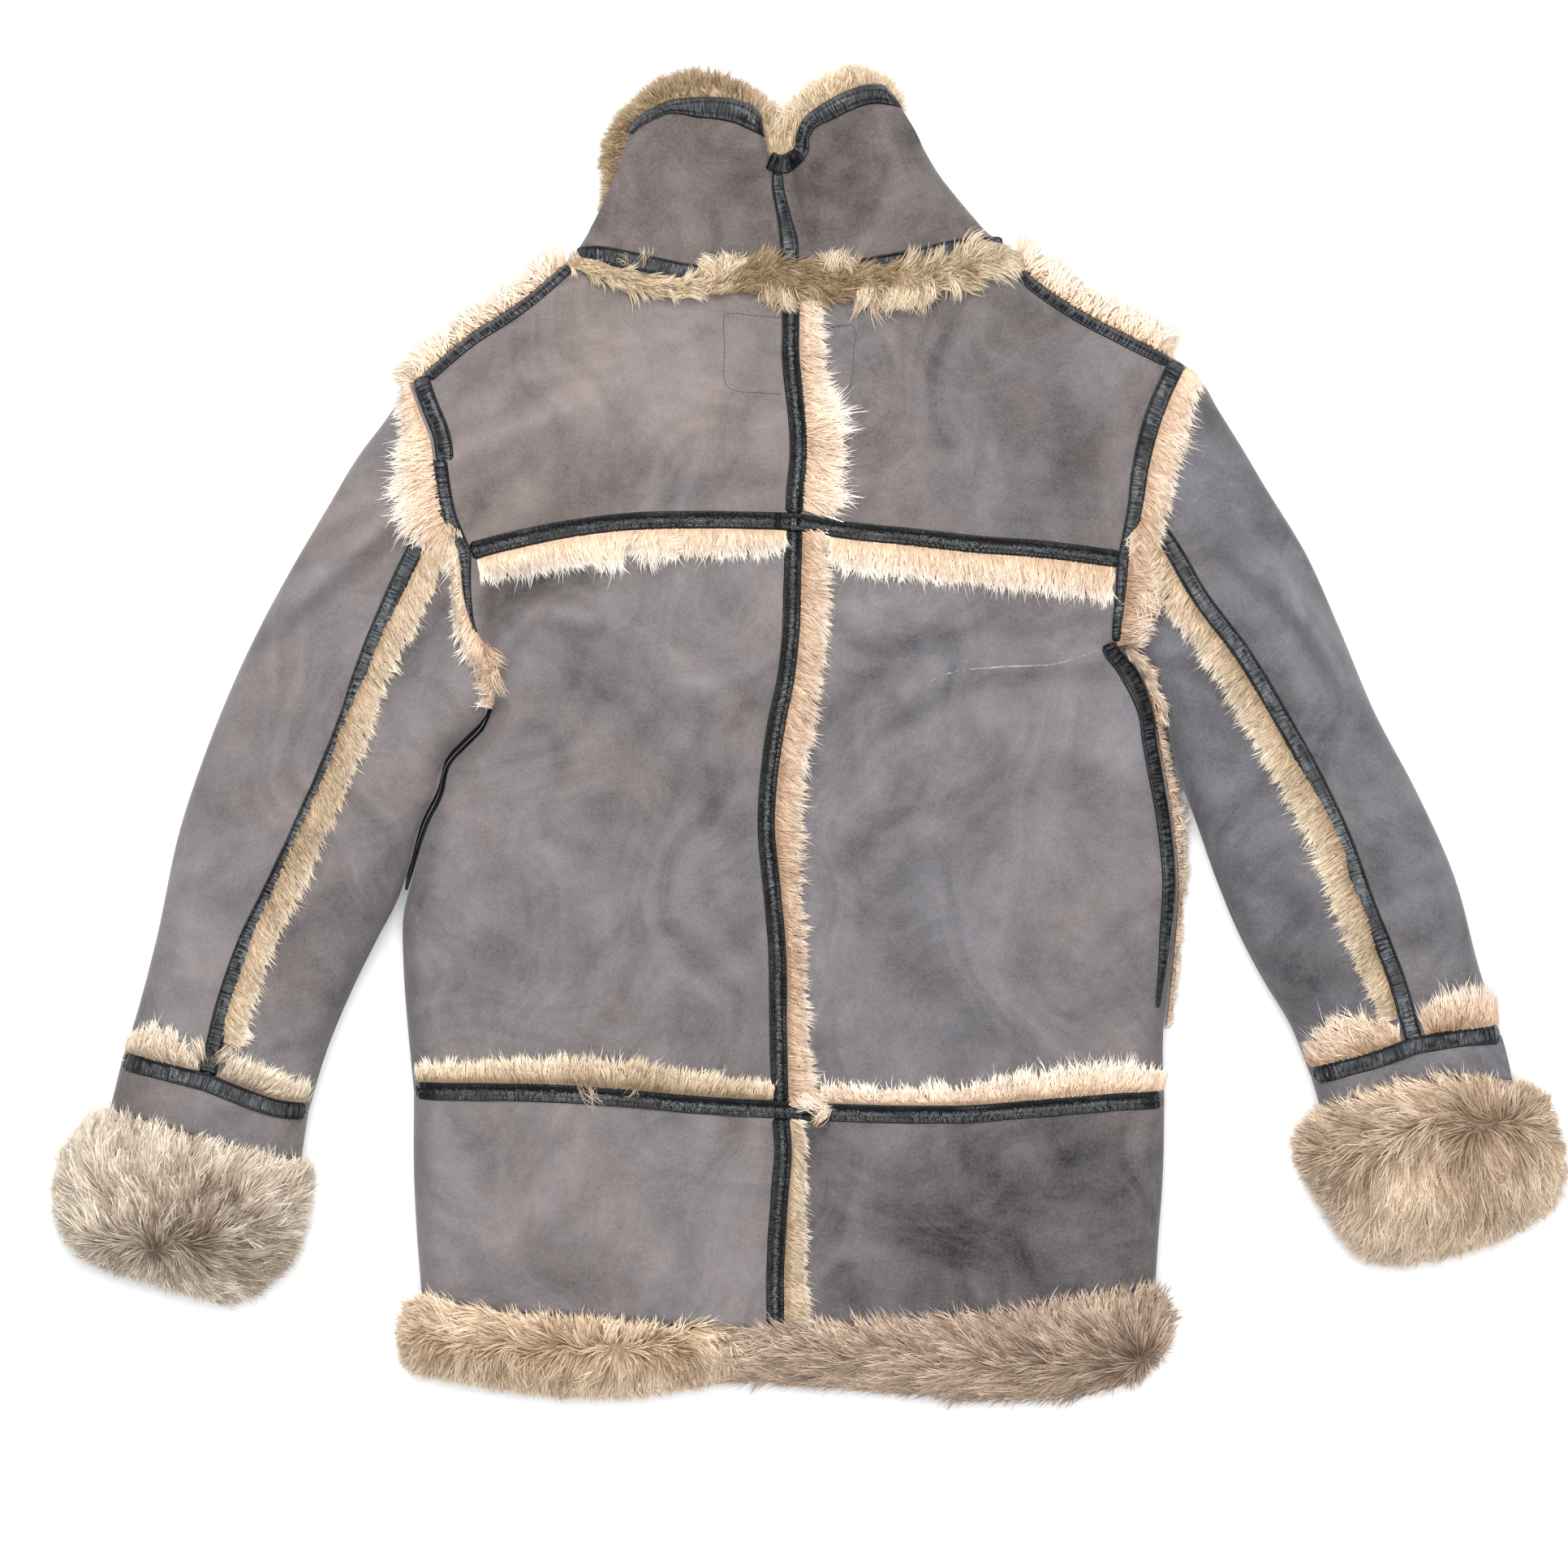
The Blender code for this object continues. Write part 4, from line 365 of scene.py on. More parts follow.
# Strips of fur beside the tapes. The reach is how far the fur runs from the seam, at shares
# of the strip's length; side 1 lies to the left of the path and -1 to its right. The tone is
# how pale the hair is and the lean how far it slants along the path, at the same kind of shares.
# Columns: name, path name, start and end cut off in mm, side, reach, height, tone, lean,
# raggedness, finish.
FUR_STRIPS = (
    ("fur_centre_yoke", "centre_yoke", 10.0, 9.0, 1,
     ((0, 21), (0.4, 23), (0.6, 33), (0.75, 30), (1, 33)), 8.0,
     ((0, 0.4), (0.3, 0.6), (0.6, 0.7), (1, 0.65)),
     ((0, 0.5), (0.5, 0.5), (0.62, 0.0), (0.8, 0.3), (1, 0.1)), 1.5, "peach"),
    ("fur_centre_main", "centre_main", 8.0, 6.6, 1,
     ((0, 25), (0.5, 24), (0.62, 20), (0.75, 17), (0.9, 20), (1, 24)), 8.0,
     ((0, 0.25), (0.2, 0.4), (0.5, 0.2), (0.8, 0.12), (1, 0.4)),
     ((0, 0.5), (0.5, 0.4), (0.9, 0.5), (1, 0.2)), 0.9, "peach"),
    ("fur_centre_hem", "centre_hem", 8.0, 3.0, 1, ((0, 14), (0.4, 18), (1, 25)), 8.0,
     ((0, 0.7), (0.15, 0.4), (1, 0.4)), ((0, 0.7), (1, 0.7)), 0.6, "golden"),
    ("fur_yoke_left", "yoke_left", 6.5, 6.6, -1,
     ((0, 17), (0.05, 22), (0.28, 26), (0.46, 30), (0.5, 21), (0.62, 26), (0.85, 24), (1, 18)), 9.0,
     ((0, 0.85), (0.4, 0.95), (0.6, 0.8), (1, 0.7)),
     ((0, -0.3), (0.3, 0.1), (0.46, 0.3), (0.5, -0.8), (0.56, -0.3), (0.7, 0.1), (1, 0.3)), 1.0, "peach"),
    ("fur_yoke_right", "yoke_right", 27.0, 6.0, -1, ((0, 22), (0.1, 27), (1, 29)), 9.0,
     ((0, 0.8), (1, 0.65)), ((0, 0.3), (1, 0.1)), 1.0, "peach"),
    ("fur_hip_left", "hip_left", 3.0, 7.0, 1, ((0, 17), (0.3, 22), (0.6, 26), (1, 16)), 9.0,
     ((0, 0.6), (0.3, 0.5), (0.6, 0.3), (1, 0.4)), ((0, -0.3), (0.5, 0.1), (1, 0.4)), 0.8, "golden"),
    ("fur_hip_right", "hip_right", 28.0, 3.0, 1,
     ((0, 17), (0.3, 16), (0.6, 24), (0.8, 28), (1, 21)), 9.0,
     ((0, 0.6), (0.4, 0.6), (1, 0.8)), ((0, -0.7), (0.3, -0.4), (0.5, 0.2), (1, 0.3)), 1.4, "peach"),
    ("fur_sleeve_left", "sleeve_left_seam", 14.0, 32.0, 1,
     ((0, 22), (0.15, 25), (0.3, 18), (1, 20)), 8.0,
     ((0, 0.55), (0.3, 0.4), (0.7, 0.35), (1, 0.6)), ((0, 0.9), (1, 0.7)), 0.9, "golden"),
    ("fur_sleeve_right", "sleeve_right_seam", 14.0, 24.0, -1, ((0, 22), (0.2, 24), (0.9, 22), (1, 17)), 8.0,
     ((0, 0.6), (0.3, 0.4), (1, 0.4)), ((0, 0.4), (0.5, 0.2), (1, 0.5)), 0.8, "golden"),
    ("fur_cuff_seam_left_outer", "cuff_left_outer", 1.0, 7.5, 1,
     ((0, 18), (0.3, 30), (0.7, 28), (0.9, 14), (1, 14)), 12.0,
     ((0, 0.75), (1, 0.75)), ((0, -0.35), (1, -0.1)), 1.3, "sand"),
    ("fur_cuff_seam_left_inner", "cuff_left_inner", 7.5, 1.0, 1, ((0, 22), (0.6, 22), (1, 17)), 12.0,
     ((0, 0.5), (1, 0.5)), ((0, 0.3), (0.6, 0.4), (1, 0.7)), 1.1, "sand"),
    ("fur_cuff_seam_right_inner", "cuff_right_inner", 1.0, 8.0, 1,
     ((0, 20), (0.3, 34), (0.7, 32), (1, 16)), 12.0,
     ((0, 0.3), (1, 0.35)), ((0, -1.0), (0.6, -0.6), (1, -0.1)), 1.4, "peach"),
    ("fur_cuff_seam_right_outer", "cuff_right_outer", 8.0, 1.0, 1, ((0, 24), (0.5, 34), (1, 27)), 12.0,
     ((0, 0.3), (1, 0.5)), ((0, -0.1), (1, 0.4)), 1.1, "peach"),
    ("fur_armhole_left", "armhole_left", 3.0, 3.0, -1,
     ((0, 14), (0.12, 24), (0.22, 32), (0.31, 39), (0.41, 36), (0.48, 22), (0.6, 12), (0.82, 15),
      (0.93, 11), (1, 5)), 9.0,
     ((0, 0.7), (0.25, 0.95), (0.35, 0.95), (0.45, 0.6), (0.55, 0.8), (0.75, 0.85), (0.85, 0.3), (1, 0.5)),
     ((0, 0.2), (0.25, 0.05), (0.4, 0.5), (0.5, 1.2), (1, 1.0)), 1.2, "peach"),
    ("fur_armhole_right", "armhole_right", 3.0, 3.0, 1,
     ((0, 19), (0.2, 27), (0.45, 25), (0.7, 20), (0.88, 22), (1, 16)), 9.0,
     ((0, 0.6), (0.4, 0.55), (0.7, 0.3), (0.82, 0.1), (1, 0.5)),
     ((0, 0.3), (0.6, 0.6), (1, 0.2)), 0.9, "peach"),
)
# How far from the seam a strip's hair starts, where that isn't the usual FUR_ROOT: less where the
# tape is narrow, or where the hair lies over it. Columns: share, mm.
FUR_ROOTS = {
    "fur_armhole_left": ((0, 6.3), (0.5, 6.3), (0.66, 4.5), (0.78, 0.5), (0.93, -2.0), (1, -1.0)),
    "fur_armhole_right": ((0, 6.3), (0.35, 6.2), (0.58, 5.2), (0.75, 3.9), (0.9, 3.4), (0.97, 2.0), (1, 0.0)),
    "fur_sleeve_left": ((0, 6.3), (0.15, 5.5), (0.24, 3.0), (0.3, 3.0), (0.36, -0.3), (0.42, -1.8),
                        (0.46, -0.5), (0.56, 0.0), (0.66, -1.2), (0.76, 0.0), (0.86, 3.4),
                        (0.96, 3.0), (1, 4.0)),
    "fur_sleeve_right": ((0, 6.3), (0.5, 6.0), (0.6, 3.0), (0.68, 2.0), (0.74, 5.0), (0.82, 3.0), (0.88, 6.0),
                         (1, 6.3)),
}
FUR_ROOT = 6.3
FUR_PROFILE_SHARES = (0.0, 0.1, 0.35, 0.7, 1.0, 1.3)
FUR_PROFILE = (0.3, 0.66, 1.0, 0.8, 0.34, 0.1)
BED_PROFILE = (0.0, 0.3, 0.95, 0.8, 0.3, 0.1)
FUR_SETBACK = 0.4
BED_SHARE = 0.62

# How the deep fur is combed: which way the tips point, and how pale the hair is.
# Columns: across, up, degrees from straight right, tone.
GUIDES_CUFF_LEFT = (
    (-464, -263, 95, 0.6), (-479, -288, 115, 0.65), (-489, -310, 160, 0.7), (-482, -335, 200, 0.85),
    (-464, -317, 130, 0.5), (-447, -288, 92, 0.45), (-443, -317, 105, 0.4), (-422, -267, 82, 0.6),
    (-415, -295, 88, 0.5), (-422, -324, 92, 0.2), (-386, -277, 60, 0.65), (-386, -302, 62, 0.35),
    (-358, -285, 45, 0.6), (-358, -310, 30, 0.4), (-336, -295, 35, 0.65), (-336, -324, 10, 0.6),
    (-365, -334, 5, 0.12), (-344, -352, -20, 0.5), (-372, -352, -15, 0.2), (-351, -366, -35, 0.55),
    (-386, -359, -25, 0.5), (-372, -376, -55, 0.7), (-408, -366, -75, 0.85), (-436, -359, 255, 0.95),
    (-464, -355, 235, 1.0), (-483, -345, 210, 0.95), (-322, -282, 60, 0.5), (-400, -318, 68, 0.08),
    (-446, -344, 215, 0.5), (-412, -344, 290, 0.2),
)
GUIDES_CUFF_RIGHT = (
    (330, -251, 150, 0.65), (321, -268, 175, 0.6), (341, -265, 160, 0.5), (321, -280, 200, 0.6),
    (337, -287, 220, 0.6), (352, -248, 150, 0.6), (375, -238, 145, 0.7), (375, -254, 165, 0.45),
    (360, -282, 235, 0.5), (343, -306, 230, 0.75), (369, -293, 250, 0.55), (356, -325, 245, 1.0),
    (382, -319, 262, 0.9), (395, -280, 265, 0.5), (401, -241, 150, 0.55), (420, -230, 125, 0.6),
    (408, -264, 250, 0.15), (420, -248, 160, 0.2), (427, -280, 275, 0.35), (408, -306, 265, 0.6),
    (414, -332, 262, 1.0), (440, -242, 110, 0.2), (446, -268, 285, 0.2), (459, -242, 70, 0.55),
    (465, -225, 85, 0.8), (478, -248, 20, 0.65), (472, -268, 310, 0.6), (485, -287, 300, 0.75),
    (446, -300, 280, 0.55), (465, -306, 290, 0.65), (446, -325, 270, 1.0), (478, -313, 295, 0.95),
)
GUIDES_HEM_LEFT = (
    (-248, -369, 132, 0.9), (-230, -378, 142, 0.8), (-252, -378, 150, 0.7), (-212, -383, 160, 0.65),
    (-199, -384, 158, 0.7), (-182, -381, 135, 0.95), (-173, -386, 140, 0.85), (-164, -381, 110, 0.7),
    (-147, -386, 95, 0.5), (-263, -391, 185, 0.7), (-263, -406, 225, 0.75), (-243, -404, 245, 0.55),
    (-221, -406, 252, 0.5), (-199, -409, 265, 0.5), (-177, -413, 268, 0.55), (-155, -409, 240, 0.5),
    (-138, -386, 92, 0.5), (-120, -389, 75, 0.45), (-107, -393, 60, 0.35), (-92, -389, 50, 0.6),
    (-78, -391, 5, 0.6), (-68, -400, -45, 0.6), (-54, -406, -75, 0.7), (-136, -414, 235, 0.5),
    (-119, -414, 278, 0.55), (-101, -418, 295, 0.7), (-80, -416, 285, 0.45), (-63, -420, 275, 0.65),
    (-232, -390, 150, 0.55), (-205, -393, 165, 0.5), (-180, -395, 160, 0.5), (-150, -397, 110, 0.35),
    (-100, -402, 300, 0.3), (-190, -425, 266, 0.8), (-230, -422, 255, 0.8), (-130, -430, 265, 0.8),
    (-75, -430, 280, 0.8), (-255, -414, 235, 0.8),
)
GUIDES_HEM_RIGHT = (
    (-25, -399, 172, 0.5), (-25, -414, 188, 0.5), (1, -397, 160, 0.55), (1, -413, 185, 0.45),
    (18, -391, 135, 0.65), (27, -406, 160, 0.45), (27, -421, 195, 0.7), (44, -393, 135, 0.55),
    (58, -409, 170, 0.45), (58, -421, 195, 0.65), (75, -392, 145, 0.5), (93, -406, 150, 0.4),
    (93, -421, 205, 0.6), (116, -390, 130, 0.45), (130, -382, 115, 0.45), (147, -379, 105, 0.45),
    (134, -404, 145, 0.35), (160, -401, 135, 0.35), (169, -375, 108, 0.5), (187, -375, 92, 0.5),
    (187, -398, 148, 0.25), (200, -377, 88, 0.5), (217, -375, 78, 0.5), (206, -402, 132, 0.2),
    (222, -396, 80, 0.45), (232, -384, 25, 0.45), (231, -398, 35, 0.6), (125, -426, 195, 0.6),
    (152, -426, 205, 0.55), (178, -426, 208, 0.45), (195, -425, 215, 0.4), (213, -424, 238, 0.45),
    (229, -415, 300, 0.6), (-42, -408, 170, 0.4),
)
GUIDES_NECK = (
    (-154, 307, -30, 0.5), (-143, 303, -25, 0.4), (-120, 295, -22, 0.4), (-97, 289, -12, 0.5),
    (-79, 289, 15, 0.6), (-58, 301, 100, 0.85), (-56, 289, 40, 0.5), (-33, 301, 15, 0.1),
    (-37, 289, -10, 0.12), (-19, 287, -100, 0.75), (-10, 299, -10, 0.1), (2, 293, -25, 0.15),
    (20, 305, 110, 0.95), (25, 295, 5, 0.1), (38, 285, -85, 0.9), (45, 299, 5, 0.2),
    (59, 287, -60, 0.9), (70, 280, -100, 1.0), (75, 299, 15, 0.5), (91, 292, -40, 0.85),
    (94, 303, 40, 0.55), (107, 315, 95, 0.75), (116, 308, -10, 0.8), (135, 308, -20, 0.95),
)

# Tufts that stand out of the fur.
# Columns: across, up, height, degrees from straight right, length, curl, width, tone, hairs.
TUFTS = (
    (-60, 298, 9, 105, 20, 0.5, 6, 0.9, 60), (-50, 300, 9, 75, 18, -0.5, 4, 0.8, 40),
    (-36, 300, 9, 25, 26, 0.5, 6, 0.12, 60), (-20, 300, 9, 8, 28, -0.5, 6, 0.1, 60),
    (-108, 306, 6, 60, 12, 0.6, 5, 0.85, 22), (-118, 305, 6, 100, 10, 0.6, 4, 0.75, 14),
    (-26, 292, 9, 250, 18, 0.5, 6, 0.4, 60), (-14, 290, 9, 235, 22, 0.8, 5, 0.8, 60),
    (-2, 294, 9, -20, 24, -0.7, 6, 0.15, 60), (16, 300, 9, 118, 18, -0.6, 6, 1.0, 70),
    (28, 298, 9, 95, 14, 0.4, 5, 0.85, 40), (24, 296, 9, -10, 30, 0.5, 6, 0.12, 60),
    (36, 292, 9, -70, 20, -0.5, 6, 0.95, 60), (52, 292, 9, -35, 24, -0.9, 7, 0.9, 70),
    (64, 290, 9, -60, 20, -0.8, 7, 1.0, 90), (76, 294, 9, -40, 20, -0.8, 5, 0.95, 60),
    (90, 297, 9, -30, 22, -0.6, 5, 0.9, 50), (60, 300, 9, 25, 24, 0.5, 5, 0.5, 50),
    (80, 304, 8, 40, 18, 0.4, 5, 0.6, 40), (104, 306, 8, 105, 30, -0.7, 6, 0.8, 60),
    (112, 308, 8, 85, 22, -0.9, 5, 0.7, 50), (122, 308, 8, -12, 24, -0.3, 7, 0.95, 70),
    (108, 302, 8, -20, 22, 0.4, 5, 0.7, 50), (-150, 307, 6, 150, 14, -0.4, 5, 0.6, 40),
    (-4, -234, 8, -75, 26, 0.7, 6, 0.8, 60), (2, -240, 8, -120, 18, -0.7, 5, 0.85, 40),
    (-8, -238, 8, -60, 16, 0.6, 4, 0.9, 30), (4, -254, 8, 30, 16, 0.5, 4, 0.8, 40),
    (-150, -231, 7, -75, 17, 0.5, 4, 0.6, 16), (-141, -231, 7, -105, 19, 0.6, 4, 0.55, 16),
    (-113, -232, 7, -80, 14, -0.6, 4, 0.6, 12), (222, 76, 12, 60, 20, 0.8, 7, 0.6, 80),
    (214, 84, 12, 20, 20, -0.7, 7, 0.45, 80), (212, 68, 12, 40, 17, -0.6, 6, 0.6, 80),
    (210, 60, 11, -15, 16, 0.6, 5, 0.55, 70), (212, 52, 8, -60, 14, 0.4, 4, 0.35, 50),
    (219, 42, 7, -65, 14, 0.5, 4, 0.3, 50), (225, 28, 6, -70, 13, 0.4, 3, 0.35, 40),
    (209, 53, 8, -58, 14, 0.2, 3, 0.3, 40), (215, 47, 7, -58, 14, 0.2, 3, 0.4, 40),
    (222, 35, 7, -62, 14, 0.2, 3, 0.25, 40), (227, 22, 6, -68, 14, 0.2, 3, 0.3, 40),
    (230, 12, 6, -75, 12, 0.2, 3, 0.35, 30),
    (-206, 40, 9, -95, 22, 0.4, 5, 0.25, 50), (-211, 54, 9, -65, 20, 0.4, 5, 0.2, 50),
    (-96, 124, 9, -55, 22, 0.9, 5, 1.0, 50), (-102, 124, 9, -100, 26, 0.2, 5, 1.0, 50),
    (-396, -214, 9, 105, 18, 0.2, 4, 0.7, 30), (-386, -216, 9, 60, 18, -0.3, 4, 0.5, 30),
    (350, -206, 9, 150, 22, 0.2, 7, 0.75, 50),
)

# The slit between the left sleeve and the body. Columns: across, up.
SIDE_SLIT = ((-210, 15), (-215.2, 3.6), (-227.2, -8.8), (-238.2, -21), (-243.6, -41), (-252.8, -60),
             (-262.3, -92), (-265, -104))

# The edge of the fold under the right arm. Columns: across, up.
FOLD_EDGE = ((66, 22), (74, 29), (83, 34.5), (96.5, 39), (123, 41.7), (144, 42.6), (161, 44), (177, 48.8),
             (186, 52.2), (192, 54))

# How far each raised line reaches to a side, how far it rises and how far it sinks in.
LABEL_BEAD = (0.55, 0.25, 0.6)
FOLD_BEAD = (1.5, 0.3, 0.7)
SIDE_TAPE_BEAD = (3.3, 2.0, 2.6)
SIDE_TAPE_HEIGHT = 3.0

# The stitched outline of the label inside the yoke. Columns: across, up.
LABEL_LEFT = ((-18, 270), (-34, 271), (-53, 272.4), (-55, 272), (-55.4, 270), (-55.2, 250), (-54.8, 228),
              (-54, 225.5), (-51, 223.5), (-34, 221), (-18, 220))
LABEL_RIGHT = ((12, 263), (20, 264), (28.4, 264.2), (29.4, 263), (29, 248), (27, 226),
               (25.5, 221.5), (22, 220))
LABEL_DASH = ((14, 263.6), (21, 265), (24, 264.2))

# Areas of light. Columns: name, place in metres, size in metres, watts, colour.
LIGHTS = (
    ("window", (-0.5, 1.9, 2.5), 1.4, 78.0, (1.0, 0.985, 0.955)),
    ("lamp", (1.9, -0.6, 2.5), 1.8, 26.0, (1.0, 0.98, 0.95)),
    ("ceiling", (0.0, 0.0, 6.0), 3.0, 290.0, (0.97, 0.985, 1.0)),
)

# The floor, the square that the photo shows, its middle and its height, in metres, and the
# camera's lens and sensor, in millimetres.
STAGE_SIZE = 12.0
VIEW_SQUARE = 1.024
VIEW_MIDDLE = (-0.0164, -0.0344)
VIEW_HEIGHT = 0.04
LENS = 180.0
SENSOR = 36.0

# How the collar's edge tape rolls over its edge: how far out and how high its rows lie, in mm.
COLLAR_ROLL = (3.3, 3.4, 3.0, 1.8)
COLLAR_ROLL_HEIGHTS = (-9.0, -6.0, -3.2, -1.0)

# How pale the collar's hair is along its edge. Columns: share, tone.
COLLAR_TONES = ((0, 0.35), (0.1, 0.1), (0.35, 0.0), (0.5, 0.1), (0.6, 0.6), (0.75, 0.75),
                (0.9, 0.5), (1, 0.5))

# How much hair there is: on a strip and on hanging fur for each square millimetre, round the rims
# of the deep fur for each millimetre, and on the neck and the collar in all.
STRAND_SHARE = 1.0
STRIP_HAIRS = 0.78
HANGING_HAIRS = 1.05
RIM_HAIRS = 7.0
NECK_HAIRS = 8600
COLLAR_HAIRS = 13200

# Sizes for working with. The rasters hold heights in millimetres at even steps.
NOISE_CELLS = 64
PLACES_AT_ONCE = 4000
RAY_START = 300.0
DOWN = Vector((0, 0, -1))
GROUND_STEP = 2.5
GROUND_LOW = np.array((-540.0, -480.0))
GROUND_SHAPE = (430, 390)
GROUND_FALL = 5.0
GROUND_PASSES = 8
LOCAL_STEP = 2.5
LOCAL_MARGIN = 40


def smooth(rows, steps=8):
    """A smooth path through a table's points."""
    points = np.array(rows, float)
    knots = np.concatenate([[0], np.cumsum(np.linalg.norm(np.diff(points, axis=0), axis=1))])
    slopes = np.gradient(points, knots, axis=0)
    pieces = []
    share = np.linspace(0, 1, steps, endpoint=False)[:, None]
    for k in range(len(points) - 1):
        span = knots[k + 1] - knots[k]
        pieces.append(
            (2 * share**3 - 3 * share**2 + 1) * points[k]
            + (share**3 - 2 * share**2 + share) * span * slopes[k]
            + (3 * share**2 - 2 * share**3) * points[k + 1]
            + (share**3 - share**2) * span * slopes[k + 1]
        )
    return np.vstack(pieces + [points[-1:]])


def join(*paths):
    """One path made of several, each starting where the last one ends."""
    return np.vstack([paths[0]] + [path[1:] for path in paths[1:]])


def length_along(path):
    """Distance run at each point of a path."""
    return np.concatenate([[0], np.cumsum(np.linalg.norm(np.diff(path, axis=0), axis=1))])


def at(path, shares):
    """Points at shares of a path's length."""
    run = length_along(path)
    targets = np.asarray(shares) * run[-1]
    return np.stack([np.interp(targets, run, path[:, axis]) for axis in range(path.shape[1])], axis=-1)


def trimmed(path, start, end):
    """The path with a length cut off each end."""
    total = length_along(path)[-1]
    return at(path, np.linspace(start / total, 1 - end / total, 4 * len(path)))


def cut_at(path, across):
    """The path's two parts, left and right of a place across."""
    share = np.interp(across, path[:, 0], length_along(path)) / length_along(path)[-1]
    return at(path, np.linspace(0, share, 80)), at(path, np.linspace(share, 1, 80))


def distance_to(path, places):
    """Shortest distance from each place to a path."""
    start = path[:-1]
    run = path[1:] - start
    squares = np.maximum(np.sum(run * run, axis=1), 1e-9)
    nearest = np.empty(len(places))
    for first in range(0, len(places), PLACES_AT_ONCE):
        part = np.s_[first:first + PLACES_AT_ONCE]
        from_start = places[part, None] - start
        share = np.clip(np.sum(from_start * run, axis=2) / squares, 0, 1)
        gap = from_start - share[:, :, None] * run
        nearest[part] = np.sqrt(np.min(np.sum(gap * gap, axis=2), axis=1))
    return nearest


def inside(outline, places):
    """Which places lie inside a closed outline."""
    across, up = places[:, 0][:, None], places[:, 1][:, None]
    a, b = outline, np.roll(outline, -1, axis=0)
    crosses = (a[:, 1] > up) != (b[:, 1] > up)
    rise = np.where(b[:, 1] == a[:, 1], 1.0, b[:, 1] - a[:, 1])
    meet = a[:, 0] + (up - a[:, 1]) / rise * (b[:, 0] - a[:, 0])
    return np.sum(crosses & (across < meet), axis=1) % 2 == 1


def soft_step(value):
    """A smooth rise from 0 to 1."""
    clipped = np.clip(value, 0, 1)
    return clipped * clipped * (3 - 2 * clipped)


def turned(vectors, angle):
    """Plan vectors turned to the left by an angle."""
    across, up = vectors[..., 0], vectors[..., 1]
    return np.stack([across * np.cos(angle) - up * np.sin(angle),
                     across * np.sin(angle) + up * np.cos(angle)], axis=-1)


def left_of(run):
    """Plan vectors at a right angle to others, to their left."""
    return np.stack([-run[:, 1], run[:, 0]], axis=1)


def unevenness(places, size, seed):
    """Smooth noise between -1 and 1, with features of a size, at places of any shape."""
    table = np.random.default_rng(seed).uniform(-1, 1, (NOISE_CELLS, NOISE_CELLS))
    spots = turned(places, 0.5 + seed) / size
    cell = np.floor(spots).astype(int)
    part = spots - cell
    part = part * part * (3 - 2 * part)
    i, j = cell[..., 0] % NOISE_CELLS, cell[..., 1] % NOISE_CELLS
    k, m = (i + 1) % NOISE_CELLS, (j + 1) % NOISE_CELLS
    low = table[i, j] * (1 - part[..., 0]) + table[k, j] * part[..., 0]
    high = table[i, m] * (1 - part[..., 0]) + table[k, m] * part[..., 0]
    return low * (1 - part[..., 1]) + high * part[..., 1]


def make_paths():
    """Every seam and edge as a smooth path, by name."""
    paths = {
        "centre_yoke": smooth(CENTRE_YOKE), "centre_main": smooth(CENTRE_MAIN),
        "centre_hem": smooth(CENTRE_HEM), "front_opening": smooth(FRONT_OPENING),
        "yoke_left": smooth(YOKE_LEFT), "yoke_right": smooth(YOKE_RIGHT),
        "hip_left": smooth(HIP_LEFT), "hip_right": smooth(HIP_RIGHT),
        "hem": join(smooth(HEM_LEFT), smooth(HEM_RIGHT)),
        "neck_left": smooth(NECK_LEFT), "neck_right": smooth(NECK_RIGHT),
        "shoulder_left": smooth(SHOULDER_LEFT), "shoulder_right": smooth(SHOULDER_RIGHT),
        "armhole_left_high": smooth(ARMHOLE_LEFT_HIGH), "armhole_left_low": smooth(ARMHOLE_LEFT_LOW),
        "armhole_right_high": smooth(ARMHOLE_RIGHT_HIGH), "armhole_right_low": smooth(ARMHOLE_RIGHT_LOW),
        "side_left_main": smooth(SIDE_LEFT_MAIN), "side_left_hem": smooth(SIDE_LEFT_HEM),
        "side_right_main": smooth(SIDE_RIGHT_MAIN), "side_right_hem": smooth(SIDE_RIGHT_HEM),
        "sleeve_left_outer": smooth(SLEEVE_LEFT_OUTER), "sleeve_left_inner": smooth(SLEEVE_LEFT_INNER),
        "sleeve_left_seam": smooth(SLEEVE_LEFT_SEAM), "sleeve_right_outer": smooth(SLEEVE_RIGHT_OUTER),
        "sleeve_right_inner": smooth(SLEEVE_RIGHT_INNER), "sleeve_right_seam": smooth(SLEEVE_RIGHT_SEAM),
        "cuff_left_outer": smooth(CUFF_SEAM_LEFT_OUTER), "cuff_left_inner": smooth(CUFF_SEAM_LEFT_INNER),
        "cuff_right_inner": smooth(CUFF_SEAM_RIGHT_INNER), "cuff_right_outer": smooth(CUFF_SEAM_RIGHT_OUTER),
        "cuff_left_end": smooth(CUFF_END_LEFT), "cuff_right_end": smooth(CUFF_END_RIGHT),
        "fold_left": smooth(COLLAR_FOLD_LEFT), "fold_right": smooth(COLLAR_FOLD_RIGHT),
        "collar_centre": smooth(COLLAR_CENTRE),
        "notch_left": smooth(NOTCH_LEFT), "notch_right": smooth(NOTCH_RIGHT),
        "collar_top_left": smooth(COLLAR_TOP_LEFT), "collar_top_right": smooth(COLLAR_TOP_RIGHT),
    }
    paths["yoke"] = join(paths["yoke_left"], paths["yoke_right"])
    paths["hip"] = join(paths["hip_left"], paths["hip_right"])
    paths["neck"] = join(paths["neck_left"], paths["neck_right"])
    paths["armhole_left"] = join(paths["armhole_left_high"], paths["armhole_left_low"])
    paths["armhole_right"] = join(paths["armhole_right_high"], paths["armhole_right_low"])
    paths["cuff_left_seam"] = join(paths["cuff_left_outer"], paths["cuff_left_inner"])
    paths["cuff_right_seam"] = join(paths["cuff_right_inner"], paths["cuff_right_outer"])
    return paths


PATHS = make_paths()


